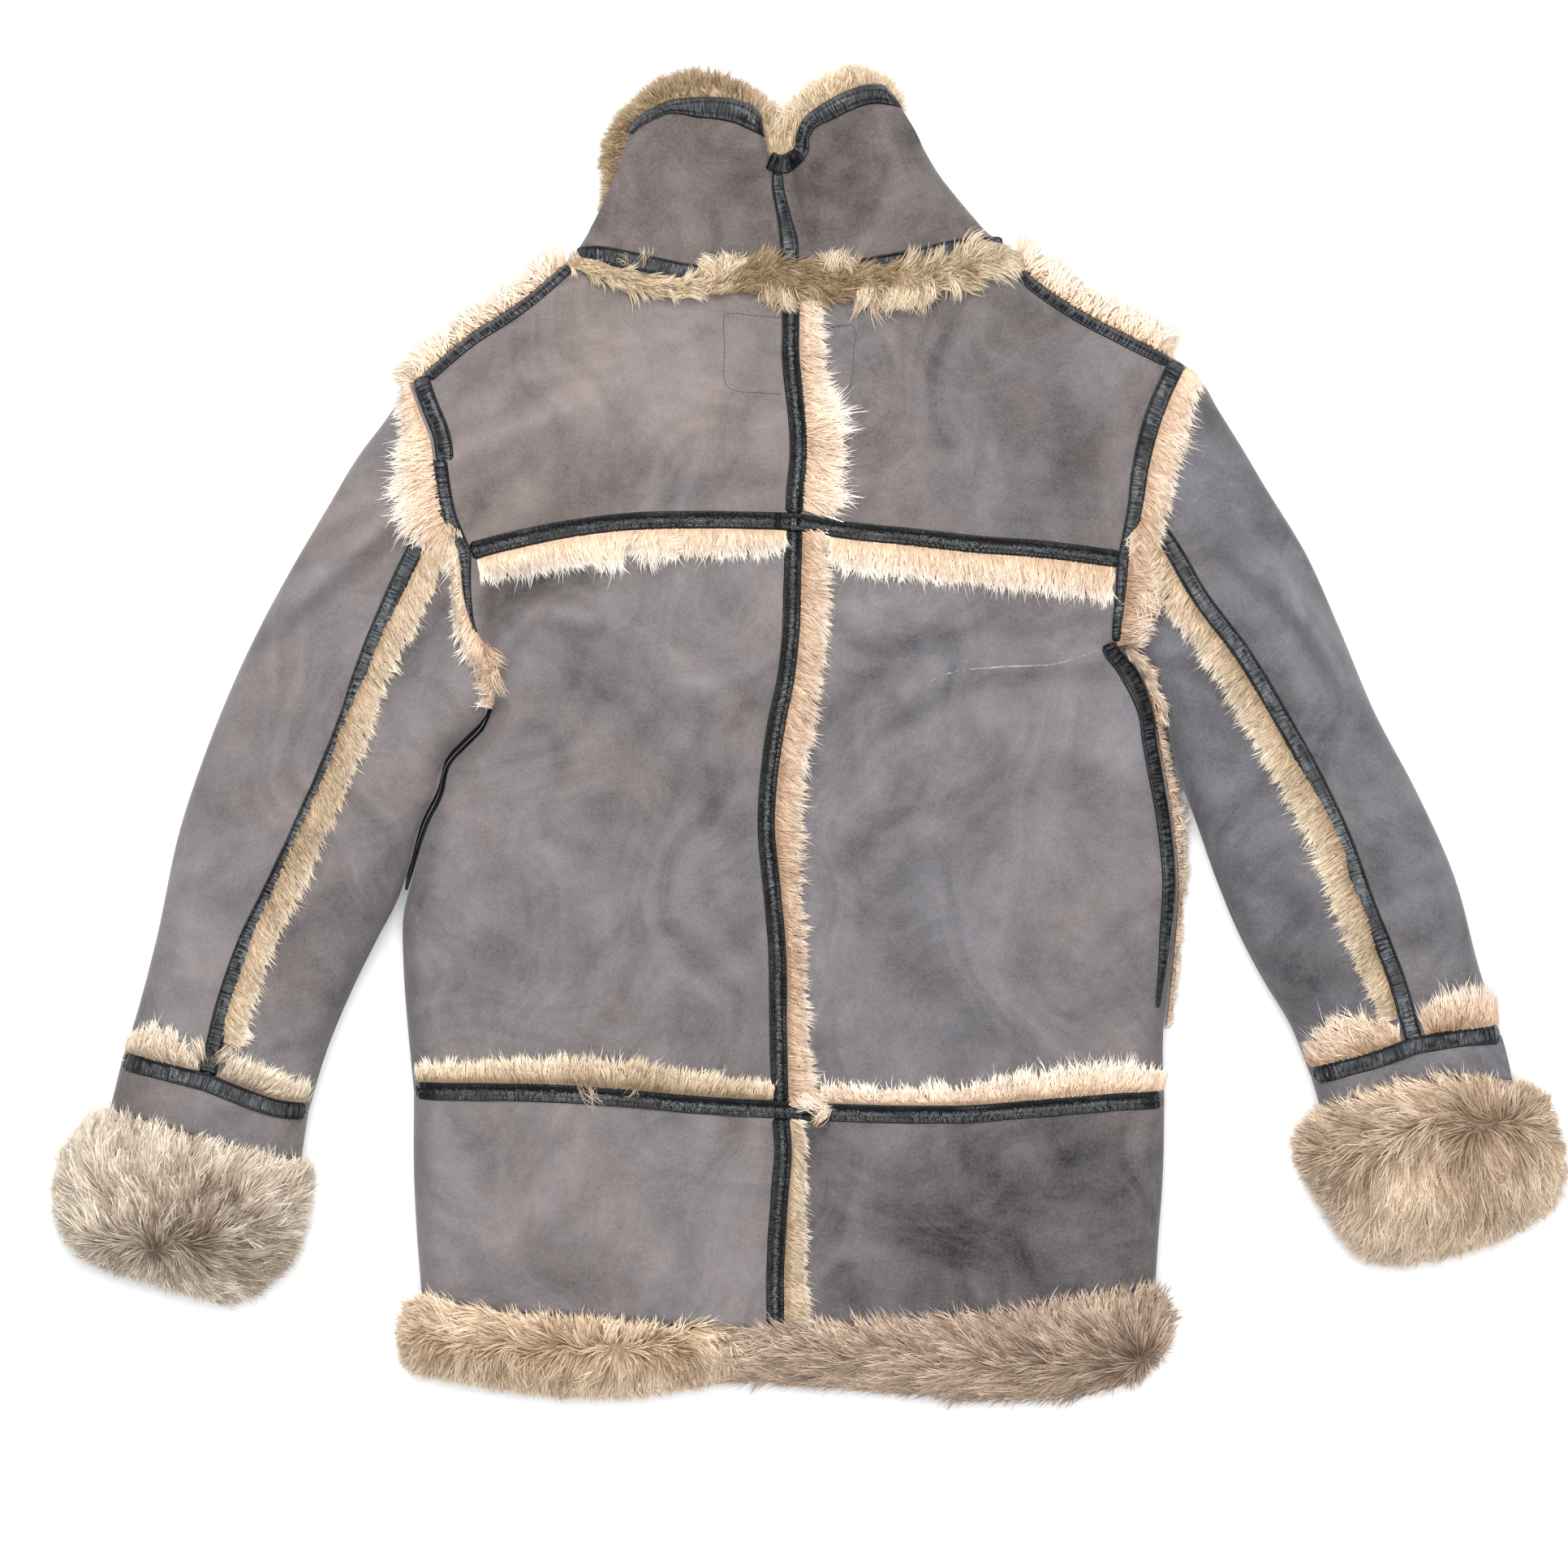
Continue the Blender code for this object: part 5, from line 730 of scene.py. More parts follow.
def closed_edges():
    """The folded edges, where the back layer comes down to meet the front layer."""
    cuff_left = PATHS["cuff_left_end"]
    cuff_right = PATHS["cuff_right_end"]
    fold_left = at(PATHS["fold_left"], np.linspace(0, CLOSED_FOLD, 6))
    fold_right = at(PATHS["fold_right"], np.linspace(0, 1 - 1.5 * CLOSED_FOLD, 24))
    return (
        join(cuff_left[:1], PATHS["sleeve_left_outer"][::-1], PATHS["shoulder_left"], fold_left),
        np.vstack([PATHS["sleeve_left_inner"], cuff_left[-1:]]),
        join(PATHS["side_left_main"], PATHS["side_left_hem"]),
        join(fold_right[::-1], PATHS["shoulder_right"], PATHS["sleeve_right_outer"], cuff_right[-1:]),
        np.vstack([PATHS["sleeve_right_inner"], cuff_right[:1]]),
        join(PATHS["side_right_main"], PATHS["side_right_hem"]),
    )


CLOSED_EDGES = closed_edges()
NAP_STROKE_AND_FOLD_LIGHT_PATHS = [(smooth(path, 5), amount, width) for path, amount, width in NAP_STROKES_AND_FOLD_LIGHT]
CREASE_PATHS = [(smooth(path, 5), CREASE_DEPTH * height, width) for path, height, width in CREASES]
SEAMS = [PATHS[name] for name in (
    "centre_yoke", "centre_main", "centre_hem", "yoke", "hip", "armhole_left", "armhole_right",
    "sleeve_left_seam", "sleeve_right_seam", "cuff_left_seam", "cuff_right_seam", "neck", "collar_centre")]
FREE_COLLAR_EDGES = [
    at(PATHS["fold_left"], np.linspace(CLOSED_FOLD + 0.05, 1, 20)),
    at(PATHS["fold_right"], np.linspace(1 - CLOSED_FOLD, 1, 8)),
    PATHS["collar_top_left"], PATHS["collar_top_right"], PATHS["notch_left"], PATHS["notch_right"],
]


def edge_distance(plan):
    """Distance from each place of a plan grid to the nearest folded edge."""
    places = plan.reshape(-1, 2)
    nearest = np.min([distance_to(edge, places) for edge in CLOSED_EDGES], axis=0)
    return nearest.reshape(plan.shape[:-1])


def edge_rise(distance, reach):
    """Share of full height at a distance from a folded edge, rounded down to nothing at the fold."""
    remaining = 1 - np.clip(distance / reach, 0, 1)
    turn = np.sqrt(np.clip(1 - (1 - np.clip(distance / EDGE_TURN, 0, 1)) ** 2, 0, 1))
    return turn * (EDGE_STEP + (1 - EDGE_STEP) * (1 - remaining**EDGE_CURVE))


def back_height(plan):
    """Height of the back layer's suede, with its creases, soft swells and pulled-in seams."""
    places = plan.reshape(-1, 2)
    level = np.full(len(places), BACK_LEVEL)
    for path, height, width in CREASE_PATHS:
        near = np.max(np.abs(places[:, None] - path[None, ::4]), axis=2).min(axis=1) < 3.2 * width + 20
        if near.any():
            level[near] += height * np.exp(-((distance_to(path, places[near]) / width) ** 2))
    seam = np.min([distance_to(path, places) for path in SEAMS], axis=0)
    level += (-SEAM_DIP * np.exp(-((seam / SEAM_DIP_WIDTH) ** 2))
              + SEAM_PUFF * np.exp(-(((seam - SEAM_PUFF_PLACE) / SEAM_PUFF_WIDTH) ** 2)))
    level += 1.1 * unevenness(places, 62.0, 3) + 0.55 * unevenness(places, 27.0, 5)
    level += 0.16 * unevenness(places, 11.0, 8)
    free = np.min([distance_to(path, places) for path in FREE_COLLAR_EDGES], axis=0)
    level -= 4.0 * np.clip(1 - free / 5.0, 0, 1) ** 2
    level = level.reshape(plan.shape[:-1])
    return LAYER_MEET + (level - LAYER_MEET) * edge_rise(edge_distance(plan), BACK_ROUND)


def front_height(plan):
    """Height of the front layer's suede, which lies on the floor but for its folded edges."""
    return LAYER_MEET * (1 - edge_rise(edge_distance(plan), FRONT_ROUND))


def coons(bottom, top, left, right):
    """Plan grid between four rows of edge points, rows going up and columns going across."""
    columns = length_along(top)
    rows = length_along(left)
    u = (columns / columns[-1])[None, :, None]
    v = (rows / rows[-1])[:, None, None]
    low, high = bottom[None], top[None]
    near, far = left[:, None], right[:, None]
    near = near + (1 - v) * (bottom[0] - left[0]) + v * (top[0] - left[-1])
    far = far + (1 - v) * (bottom[-1] - right[0]) + v * (top[-1] - right[-1])
    corners = ((1 - u) * (1 - v) * bottom[0] + u * (1 - v) * bottom[-1]
               + (1 - u) * v * top[0] + u * v * top[-1])
    return (1 - v) * low + v * high + (1 - u) * near + u * far - corners


def shares_of(points):
    """Share of the whole length at each of a row of points."""
    run = length_along(points)
    return run / run[-1]


def inset(plan, bottom=SEAM_INSET, top=SEAM_INSET, left=SEAM_INSET, right=SEAM_INSET):
    """The grid with its four edges moved inwards."""
    def step(first, second, size):
        """The first points, moved towards the second."""
        run = second - first
        return first + size * run / np.linalg.norm(run, axis=-1, keepdims=True)

    moved = plan.copy()
    moved[0] = step(moved[0], moved[1], bottom)
    moved[-1] = step(moved[-1], moved[-2], top)
    moved[:, 0] = step(moved[:, 0], moved[:, 1], left)
    moved[:, -1] = step(moved[:, -1], moved[:, -2], right)
    return moved


def from_edge(length, count):
    """Shares that crowd at the start, where a folded edge rounds over."""
    crowded = np.array(EDGE_COLUMNS) / length
    return np.concatenate([crowded, np.linspace(crowded[-1], 1, count)[1:]])


def to_edge(length, count):
    """Shares that crowd at the end."""
    return 1 - from_edge(length, count)[::-1]


def between_edges(length, count):
    """Shares that crowd at both ends."""
    crowded = np.array(EDGE_COLUMNS) / length
    middle = np.linspace(crowded[-1], 1 - crowded[-1], count)[1:-1]
    return np.concatenate([crowded, middle, 1 - crowded[::-1]])


def directions(path):
    """Unit vectors along a path at its points."""
    run = np.gradient(path, axis=0)
    return run / np.maximum(np.linalg.norm(run, axis=1, keepdims=True), 1e-9)


def heading(path, shares, reach=0.01):
    """Unit vectors along a path at shares of its length."""
    run = at(path, np.clip(shares + reach, 0, 1)) - at(path, np.clip(shares - reach, 0, 1))
    return run / np.linalg.norm(run, axis=1, keepdims=True)


def ribbon(path, offsets, rows, cut=None):
    """Plan grid along a path. Offsets are to the left of the path, one column for each.

    A cut is the direction that the last row takes, in place of straight across.
    """
    points = at(path, np.linspace(0, 1, rows))
    run = directions(points)
    left = left_of(run)
    if cut is not None:
        gap = np.linspace(1, 0, rows) * length_along(path)[-1]
        share = soft_step(1 - gap / CUT_REACH)[:, None]
        left = (1 - share) * left + share * np.array(cut)
        left /= np.linalg.norm(left, axis=1, keepdims=True)
    columns = [points + left * np.broadcast_to(offset, rows)[:, None] for offset in offsets]
    return np.stack(columns, axis=1)


def lifted(plan, height):
    """A plan grid at its heights."""
    return np.concatenate([plan, np.broadcast_to(height, plan.shape[:-1])[..., None]], axis=-1)


def grid_faces(index):
    """Quads between neighbouring entries of a grid of point numbers."""
    a, b = index[:-1, :-1].ravel(), index[:-1, 1:].ravel()
    c, d = index[1:, 1:].ravel(), index[1:, :-1].ravel()
    return np.stack([a, b, c, d], axis=1)


def strip_faces(first, second):
    """Quads between two lists of point numbers of one length."""
    return grid_faces(np.stack([first, second]))


def numbered(grid, start=0):
    """Point numbers of a grid of places."""
    return start + np.arange(grid.shape[0] * grid.shape[1]).reshape(grid.shape[:2])


def shell_faces(outer, inner, ring=False):
    """Faces of two grids of point numbers and the rims between them. A ring's columns run round."""
    if ring:
        outer = np.hstack([outer, outer[:, :1]])
        inner = np.hstack([inner, inner[:, :1]])
    faces = [grid_faces(outer), grid_faces(inner)[:, ::-1]]
    faces.append(strip_faces(outer[0], inner[0])[:, ::-1])
    faces.append(strip_faces(outer[-1], inner[-1]))
    if not ring:
        faces.append(strip_faces(outer[:, 0], inner[:, 0]))
        faces.append(strip_faces(outer[:, -1], inner[:, -1])[:, ::-1])
    return np.vstack(faces)


def new_piece(name, points, corners, sizes, materials, slots=None, numbers=None):
    """A mesh object from points in millimetres, face corners and face sizes.

    Numbers are named values at the points that the materials read.
    """
    mesh = bpy.data.meshes.new(name)
    mesh.vertices.add(len(points))
    mesh.vertices.foreach_set("co", (points * MILLIMETRE).astype(np.float32).ravel())
    mesh.loops.add(len(corners))
    mesh.loops.foreach_set("vertex_index", corners.astype(np.int32))
    mesh.polygons.add(len(sizes))
    starts = np.concatenate([[0], np.cumsum(sizes)[:-1]])
    mesh.polygons.foreach_set("loop_start", starts.astype(np.int32))
    for material in materials:
        mesh.materials.append(material)
    if slots is not None:
        mesh.polygons.foreach_set("material_index", slots.astype(np.int32))
    mesh.update(calc_edges=True)
    mesh.polygons.foreach_set("use_smooth", np.ones(len(sizes), bool))
    for label, values in (numbers or {}).items():
        layer = mesh.attributes.new(label, "FLOAT", "POINT")
        layer.data.foreach_set("value", values.astype(np.float32))
    piece = bpy.data.objects.new(name, mesh)
    bpy.context.scene.collection.objects.link(piece)
    return piece


def of_quads(name, points, faces, materials, slots=None, numbers=None):
    """A mesh object made of quads alone."""
    return new_piece(name, points, faces.ravel(), np.full(len(faces), 4), materials, slots, numbers)


def stands_for(piece, slot, *nodes):
    """Says which solids a piece stands for, hides them and hangs the piece on the root, which it rides on.
    The slot is not used.
    """
    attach(piece, "root")
    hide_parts(*nodes)
    return piece


def node(tree, kind, **values):
    """A shader node with its settings and plain input values."""
    made = tree.nodes.new(kind)
    for name, value in values.items():
        if name in made.inputs:
            made.inputs[name].default_value = value
        else:
            setattr(made, name, value)
    return made


def new_material(name):
    """A material with a Principled shader, its tree and the shader."""
    material = bpy.data.materials.new(name)
    material.use_nodes = True
    tree = material.node_tree
    return material, tree, tree.nodes["Principled BSDF"]


def noise(tree, scale, detail=3.0, roughness=0.5, stretch=None, turn=0.0, wander=0.0):
    """A noise over the coat in metres, or one drawn out in a direction that may wander."""
    place = node(tree, "ShaderNodeTexCoord").outputs["Object"]
    if wander:
        drift = node(tree, "ShaderNodeTexNoise")
        drift.inputs["Scale"].default_value = 9.0
        drift.inputs["Detail"].default_value = 1.0
        tree.links.new(place, drift.inputs["Vector"])
        moved = node(tree, "ShaderNodeVectorMath", operation="MULTIPLY_ADD")
        tree.links.new(drift.outputs["Color"], moved.inputs[0])
        moved.inputs[1].default_value = (wander, wander, 0.0)
        tree.links.new(place, moved.inputs[2])
        place = moved.outputs["Vector"]
    if stretch:
        mapping = node(tree, "ShaderNodeMapping")
        mapping.inputs["Scale"].default_value = stretch
        mapping.inputs["Rotation"].default_value = (0.0, 0.0, turn)
        tree.links.new(place, mapping.inputs["Vector"])
        place = mapping.outputs["Vector"]
    made = node(tree, "ShaderNodeTexNoise")
    made.inputs["Scale"].default_value = scale
    made.inputs["Detail"].default_value = detail
    made.inputs["Roughness"].default_value = roughness
    tree.links.new(place, made.inputs["Vector"])
    return made.outputs["Fac"]


def arithmetic(tree, operation, first, second):
    """A math node of two values or sockets."""
    made = node(tree, "ShaderNodeMath", operation=operation)
    for socket, value in zip(made.inputs, (first, second)):
        if isinstance(value, (int, float)):
            socket.default_value = value
        else:
            tree.links.new(value, socket)
    return made.outputs[0]


def between(tree, value, low, high, to_low=0.0, to_high=1.0):
    """A value mapped from one range to another, and held inside it."""
    made = node(tree, "ShaderNodeMapRange", clamp=True)
    for name, number in (("From Min", low), ("From Max", high), ("To Min", to_low), ("To Max", to_high)):
        made.inputs[name].default_value = number
    tree.links.new(value, made.inputs["Value"])
    return made.outputs["Result"]


def mixed(tree, factor, first, second, blend="MIX"):
    """A mix of two colours, each a colour or a socket."""
    made = node(tree, "ShaderNodeMix", data_type="RGBA", blend_type=blend)
    if isinstance(factor, (int, float)):
        made.inputs[0].default_value = factor
    else:
        tree.links.new(factor, made.inputs[0])
    for socket, value in ((made.inputs[6], first), (made.inputs[7], second)):
        if isinstance(value, tuple):
            socket.default_value = (*value, 1.0)
        else:
            tree.links.new(value, socket)
    return made.outputs[2]


def grey(tree, value):
    """A value as a colour."""
    made = node(tree, "ShaderNodeCombineColor")
    for socket in made.inputs:
        tree.links.new(value, socket)
    return made.outputs[0]


def bumped(tree, shader, height, strength, distance):
    """Gives a shader small relief from a height in shares of a distance in metres."""
    made = node(tree, "ShaderNodeBump")
    made.inputs["Strength"].default_value = strength
    made.inputs["Distance"].default_value = distance
    tree.links.new(height, made.inputs["Height"])
    tree.links.new(made.outputs["Normal"], shader.inputs["Normal"])


def suede_material():
    """Brushed suede: mottled taupe-grey with warmer and cooler places and a fine nap, paler or darker by the
    tone of each point, which holds painted shade and painted highlight along folds.
    """
    material, tree, shader = new_material("suede")
    broad = noise(tree, 10.0, 4.0, 0.6)
    patch = noise(tree, 42.0, 6.0, 0.66)
    brushed = noise(tree, 34.0, 5.0, 0.58, (1.0, 0.34, 1.0), 0.7, 0.3)
    crossed = noise(tree, 52.0, 4.0, 0.55, (0.36, 1.0, 1.0), -0.5, -0.24)
    hue = noise(tree, 15.0, 4.0, 0.55, (1.0, 1.0, 1.0), 1.1)
    grain = noise(tree, 560.0, 4.0, 0.75)
    cool = node(tree, "ShaderNodeAttribute", attribute_name="cool").outputs["Fac"]
    shift = arithmetic(tree, "ADD", cool, between(tree, hue, 0.3, 0.7, -0.3, 0.3))
    colour = mixed(tree, shift, (0.145, 0.1205, 0.113), (0.124, 0.119, 0.130))
    value = arithmetic(tree, "ADD", between(tree, broad, 0.3, 0.7, -0.17, 0.17),
                       between(tree, patch, 0.3, 0.7, -0.13, 0.13))
    value = arithmetic(tree, "ADD", value, between(tree, brushed, 0.3, 0.7, -0.2, 0.2))
    value = arithmetic(tree, "ADD", value, between(tree, crossed, 0.3, 0.7, -0.12, 0.12))
    value = arithmetic(tree, "ADD", value, between(tree, grain, 0.25, 0.75, -0.24, 0.24))
    # The tone adds the nap's spots and strokes together with painted shade and painted highlight of the
    # folds.
    tone = node(tree, "ShaderNodeAttribute", attribute_name="tone")
    value = arithmetic(tree, "ADD", value, tone.outputs["Fac"])
    value = arithmetic(tree, "ADD", value, 1.0)
    tree.links.new(mixed(tree, 1.0, colour, grey(tree, value), "MULTIPLY"), shader.inputs["Base Color"])
    shader.inputs["Roughness"].default_value = 0.92
    shader.inputs["Specular IOR Level"].default_value = 0.15
    shader.inputs["Sheen Weight"].default_value = 0.16
    shader.inputs["Sheen Roughness"].default_value = 0.45
    relief = arithmetic(tree, "ADD", arithmetic(tree, "MULTIPLY", grain, 0.6), patch)
    bumped(tree, shader, relief, 0.45, 0.0011)
    return material


def leather_material():
    """Black glazed leather, pleated across the tape, with grain and worn places, and a painted highlight on
    the pleat ridges along the tape's middle.
    """
    material, tree, shader = new_material("leather")
    along = node(tree, "ShaderNodeAttribute", attribute_name="run").outputs["Fac"]
    aside = node(tree, "ShaderNodeAttribute", attribute_name="aside").outputs["Fac"]
    place = node(tree, "ShaderNodeCombineXYZ")
    tree.links.new(along, place.inputs["X"])
    tree.links.new(arithmetic(tree, "MULTIPLY", aside, 0.16), place.inputs["Y"])
    pleat = node(tree, "ShaderNodeTexNoise")
    pleat.inputs["Scale"].default_value = 0.42
    pleat.inputs["Detail"].default_value = 2.0
    pleat.inputs["Roughness"].default_value = 0.5
    tree.links.new(place.outputs["Vector"], pleat.inputs["Vector"])
    wrinkle = noise(tree, 420.0, 3.0, 0.6)
    wear_and_highlight = noise(tree, 45.0, 3.0, 0.5)
    height = arithmetic(tree, "ADD", pleat.outputs["Fac"], arithmetic(tree, "MULTIPLY", wrinkle, 0.05))
    colour = mixed(tree, between(tree, height, 0.45, 0.6), (0.0006, 0.0009, 0.0016), (0.003, 0.004, 0.0056))
    colour = mixed(tree, between(tree, wear_and_highlight, 0.5, 0.7, 0.0, 0.6), colour, (0.012, 0.014, 0.018))
    # Painted highlight: the pleat ridges in the tape's middle are paler, standing in for gloss that catches
    # the light.
    middle = between(tree, arithmetic(tree, "MULTIPLY", aside, aside), 5.0, 17.0, 1.0, 0.0)
    painted_ridge_highlight = arithmetic(tree, "MULTIPLY", between(tree, pleat.outputs["Fac"], 0.46, 0.58), middle)
    painted_ridge_highlight = arithmetic(tree, "MULTIPLY", painted_ridge_highlight, between(tree, wear_and_highlight, 0.36, 0.56, 0.25, 1.0))
    colour = mixed(tree, painted_ridge_highlight, colour, (0.05, 0.054, 0.064))
    tree.links.new(colour, shader.inputs["Base Color"])
    tree.links.new(between(tree, wear_and_highlight, 0.38, 0.62, 0.44, 0.2), shader.inputs["Roughness"])
    shader.inputs["Specular IOR Level"].default_value = 0.34
    bumped(tree, shader, height, 1.0, 0.0014)
    return material


def thread_material():
    """Black sewing thread."""
    material, tree, shader = new_material("thread")
    twist = noise(tree, 1800.0, 2.0, 0.5)
    colour = mixed(tree, twist, (0.004, 0.004, 0.005), (0.014, 0.015, 0.018))
    tree.links.new(colour, shader.inputs["Base Color"])
    shader.inputs["Roughness"].default_value = 0.6
    return material


def fur_material(name, dark_root, dark_tip, pale_root, pale_tip):
    """Fur whose colour runs from root to tip, paler or darker with each hair's tone."""
    material, tree, shader = new_material(name)
    along = node(tree, "ShaderNodeAttribute", attribute_name="along").outputs["Fac"]
    tone = node(tree, "ShaderNodeAttribute", attribute_name="tone").outputs["Fac"]
    climb = between(tree, along, 0.05, 0.95)
    dark = mixed(tree, climb, dark_root, dark_tip)
    pale = mixed(tree, climb, pale_root, pale_tip)
    blend = noise(tree, 260.0, 3.0, 0.6)
    level = arithmetic(tree, "ADD", tone, between(tree, blend, 0.3, 0.7, -0.12, 0.12))
    tree.links.new(mixed(tree, level, dark, pale), shader.inputs["Base Color"])
    shader.inputs["Roughness"].default_value = 0.6
    shader.inputs["Specular IOR Level"].default_value = 0.25
    shader.inputs["Sheen Weight"].default_value = 0.12
    shader.inputs["Sheen Roughness"].default_value = 0.5
    shader.inputs["Sheen Tint"].default_value = (1.0, 0.93, 0.82, 1.0)
    return material


SUEDE = suede_material()
LEATHER = leather_material()
THREAD = thread_material()
FURS = {
    "peach": fur_material("peach_fur", (0.40, 0.24, 0.15), (0.62, 0.46, 0.33),
                          (0.84, 0.60, 0.41), (1.0, 0.94, 0.85)),
    "golden": fur_material("golden_fur", (0.24, 0.155, 0.085), (0.58, 0.45, 0.31),
                           (0.70, 0.50, 0.32), (0.97, 0.87, 0.72)),
    "sand": fur_material("sand_fur", (0.25, 0.18, 0.115), (0.68, 0.56, 0.41),
                         (0.60, 0.46, 0.33), (0.93, 0.84, 0.70)),
    "honey": fur_material("honey_fur", (0.13, 0.078, 0.036), (0.37, 0.26, 0.145),
                          (0.52, 0.36, 0.205), (0.96, 0.84, 0.66)),
    "taupe": fur_material("taupe_fur", (0.085, 0.058, 0.038), (0.36, 0.27, 0.19),
                          (0.40, 0.31, 0.225), (0.98, 0.87, 0.73)),
    "fawn": fur_material("fawn_fur", (0.145, 0.085, 0.045), (0.53, 0.36, 0.22),
                         (0.42, 0.275, 0.165), (0.98, 0.80, 0.60)),
    "umber": fur_material("umber_fur", (0.08, 0.05, 0.033), (0.32, 0.22, 0.15),
                          (0.25, 0.165, 0.113), (0.80, 0.62, 0.48)),
    "tan": fur_material("tan_fur", (0.135, 0.084, 0.05), (0.48, 0.34, 0.225),
                        (0.38, 0.265, 0.175), (0.93, 0.76, 0.58)),
}


def tone_at(plan):
    """How much paler or darker the suede is at each place: the nap's own spots and strokes, with painted
    shade and painted highlight along folds and creases.
    """
    places = plan.reshape(-1, 2)
    tone = 0.05 * unevenness(places, 24.0, 12) + 0.07 * unevenness(places, 60.0, 13)
    wobble = 1 + 0.35 * unevenness(places, 16.0, 11)
    for across, up, radius, amount in NAP_SPOTS_AND_PAINTED_SHADE:
        gap = np.linalg.norm(places - (across, up), axis=1) * wobble
        tone += amount * np.exp(-((gap / radius) ** 2))
    for path, amount, width in NAP_STROKE_AND_FOLD_LIGHT_PATHS:
        low, high = path.min(axis=0) - 3 * width, path.max(axis=0) + 3 * width
        near = np.all((places > low) & (places < high), axis=1)
        if near.any():
            gap = distance_to(path, places[near]) * wobble[near]
            tone[near] += amount * np.exp(-((gap / width) ** 2))
    return tone.reshape(plan.shape[:-1])


CLOTHS = []


def declare_cloth(piece, outer, rests_on):
    """Adds a panel to the list of cloths, with the size that its surface spreads out to, its area and what it
    rests on.
    """
    rows = np.linalg.norm(np.diff(outer, axis=0), axis=2).sum(axis=0).max()
    columns = np.linalg.norm(np.diff(outer, axis=1), axis=2).sum(axis=1).max()
    a = outer[1:, 1:] - outer[:-1, :-1]
    b = outer[1:, :-1] - outer[:-1, 1:]
    area = np.linalg.norm(np.cross(a, b), axis=2).sum() / 2
    area = min(area, 0.99 * rows * columns)
    CLOTHS.append((piece, (columns * MILLIMETRE, rows * MILLIMETRE), area * MILLIMETRE**2, rests_on))


def cloth(name, outer, inner, rests_on, ring=False):
    """A suede panel: its outer surface, its inner one and the rims."""
    flesh = numbered(outer)
    faces = shell_faces(flesh, numbered(inner, flesh.size), ring)
    points = np.vstack([outer.reshape(-1, 3), inner.reshape(-1, 3)])
    cool, paler = next(values for start, values in PANELS.items() if name.startswith(start))
    numbers = {"tone": tone_at(points[:, :2]) + paler, "cool": np.full(len(points), cool)}
    piece = of_quads(name + "_hide", points, faces, [SUEDE], numbers=numbers)
    stands_for(piece, "suede", name)
    if ring:
        outer = np.concatenate([outer, outer[:, :1]], axis=1)
    declare_cloth(piece, outer, rests_on)
    return piece


def back_cloth(name, plan, rests_on):
    """A panel of the back layer."""
    top = np.maximum(back_height(plan), BACK_FLOOR)
    under = np.maximum(top - HIDE, BACK_FLOOR)
    return cloth(name, lifted(plan, top), lifted(plan, under), rests_on)


def front_cloth(name, plan):
    """A panel of the front layer, face down on the floor."""
    bottom = np.minimum(front_height(plan), FRONT_CEILING)
    over = np.minimum(bottom + HIDE, FRONT_CEILING)
    return cloth(name, lifted(plan[:, ::-1], bottom[:, ::-1]), lifted(plan[:, ::-1], over[:, ::-1]), ())


def outward(side, bottom, top, edge, middle):
    """Plan grid of a panel that lies to one side of the middle."""
    if side == "left":
        return coons(bottom, top, edge, middle)
    return coons(bottom, top, middle, edge)


def top_edge(side, shoulder_count, neck_count):
    """Points along the shoulder and the neck, from left to right."""
    shoulder_shares = np.linspace(0, 1, shoulder_count)
    neck_shares = np.linspace(0, 1, neck_count)[1:]
    if side == "left":
        return np.vstack([at(PATHS["shoulder_left"], shoulder_shares), at(PATHS["neck_left"], neck_shares)])
    shoulder = at(PATHS["shoulder_right"][::-1], shoulder_shares)
    return np.vstack([shoulder, at(PATHS["neck_right"][::-1], neck_shares)])[::-1]


def main_edge(side, rows):
    """Points up the side edge from the hip seam to the armpit, and up the armhole to the yoke."""
    armpit = ARMPITS[side]
    edge = at(PATHS[f"side_{side}_main"][::-1], np.clip(rows / armpit, 0, 1))
    armhole = at(PATHS[f"armhole_{side}_low"][::-1], np.clip((rows - armpit) / (1 - armpit), 0, 1))
    return np.where((rows <= armpit)[:, None], edge, armhole)


def main_rows(side):
    """Shares up the main panel, with one at the armpit."""
    armpit = ARMPITS[side]
    return np.concatenate([np.linspace(0, armpit, 56), np.linspace(armpit, 1, 22)[1:]])


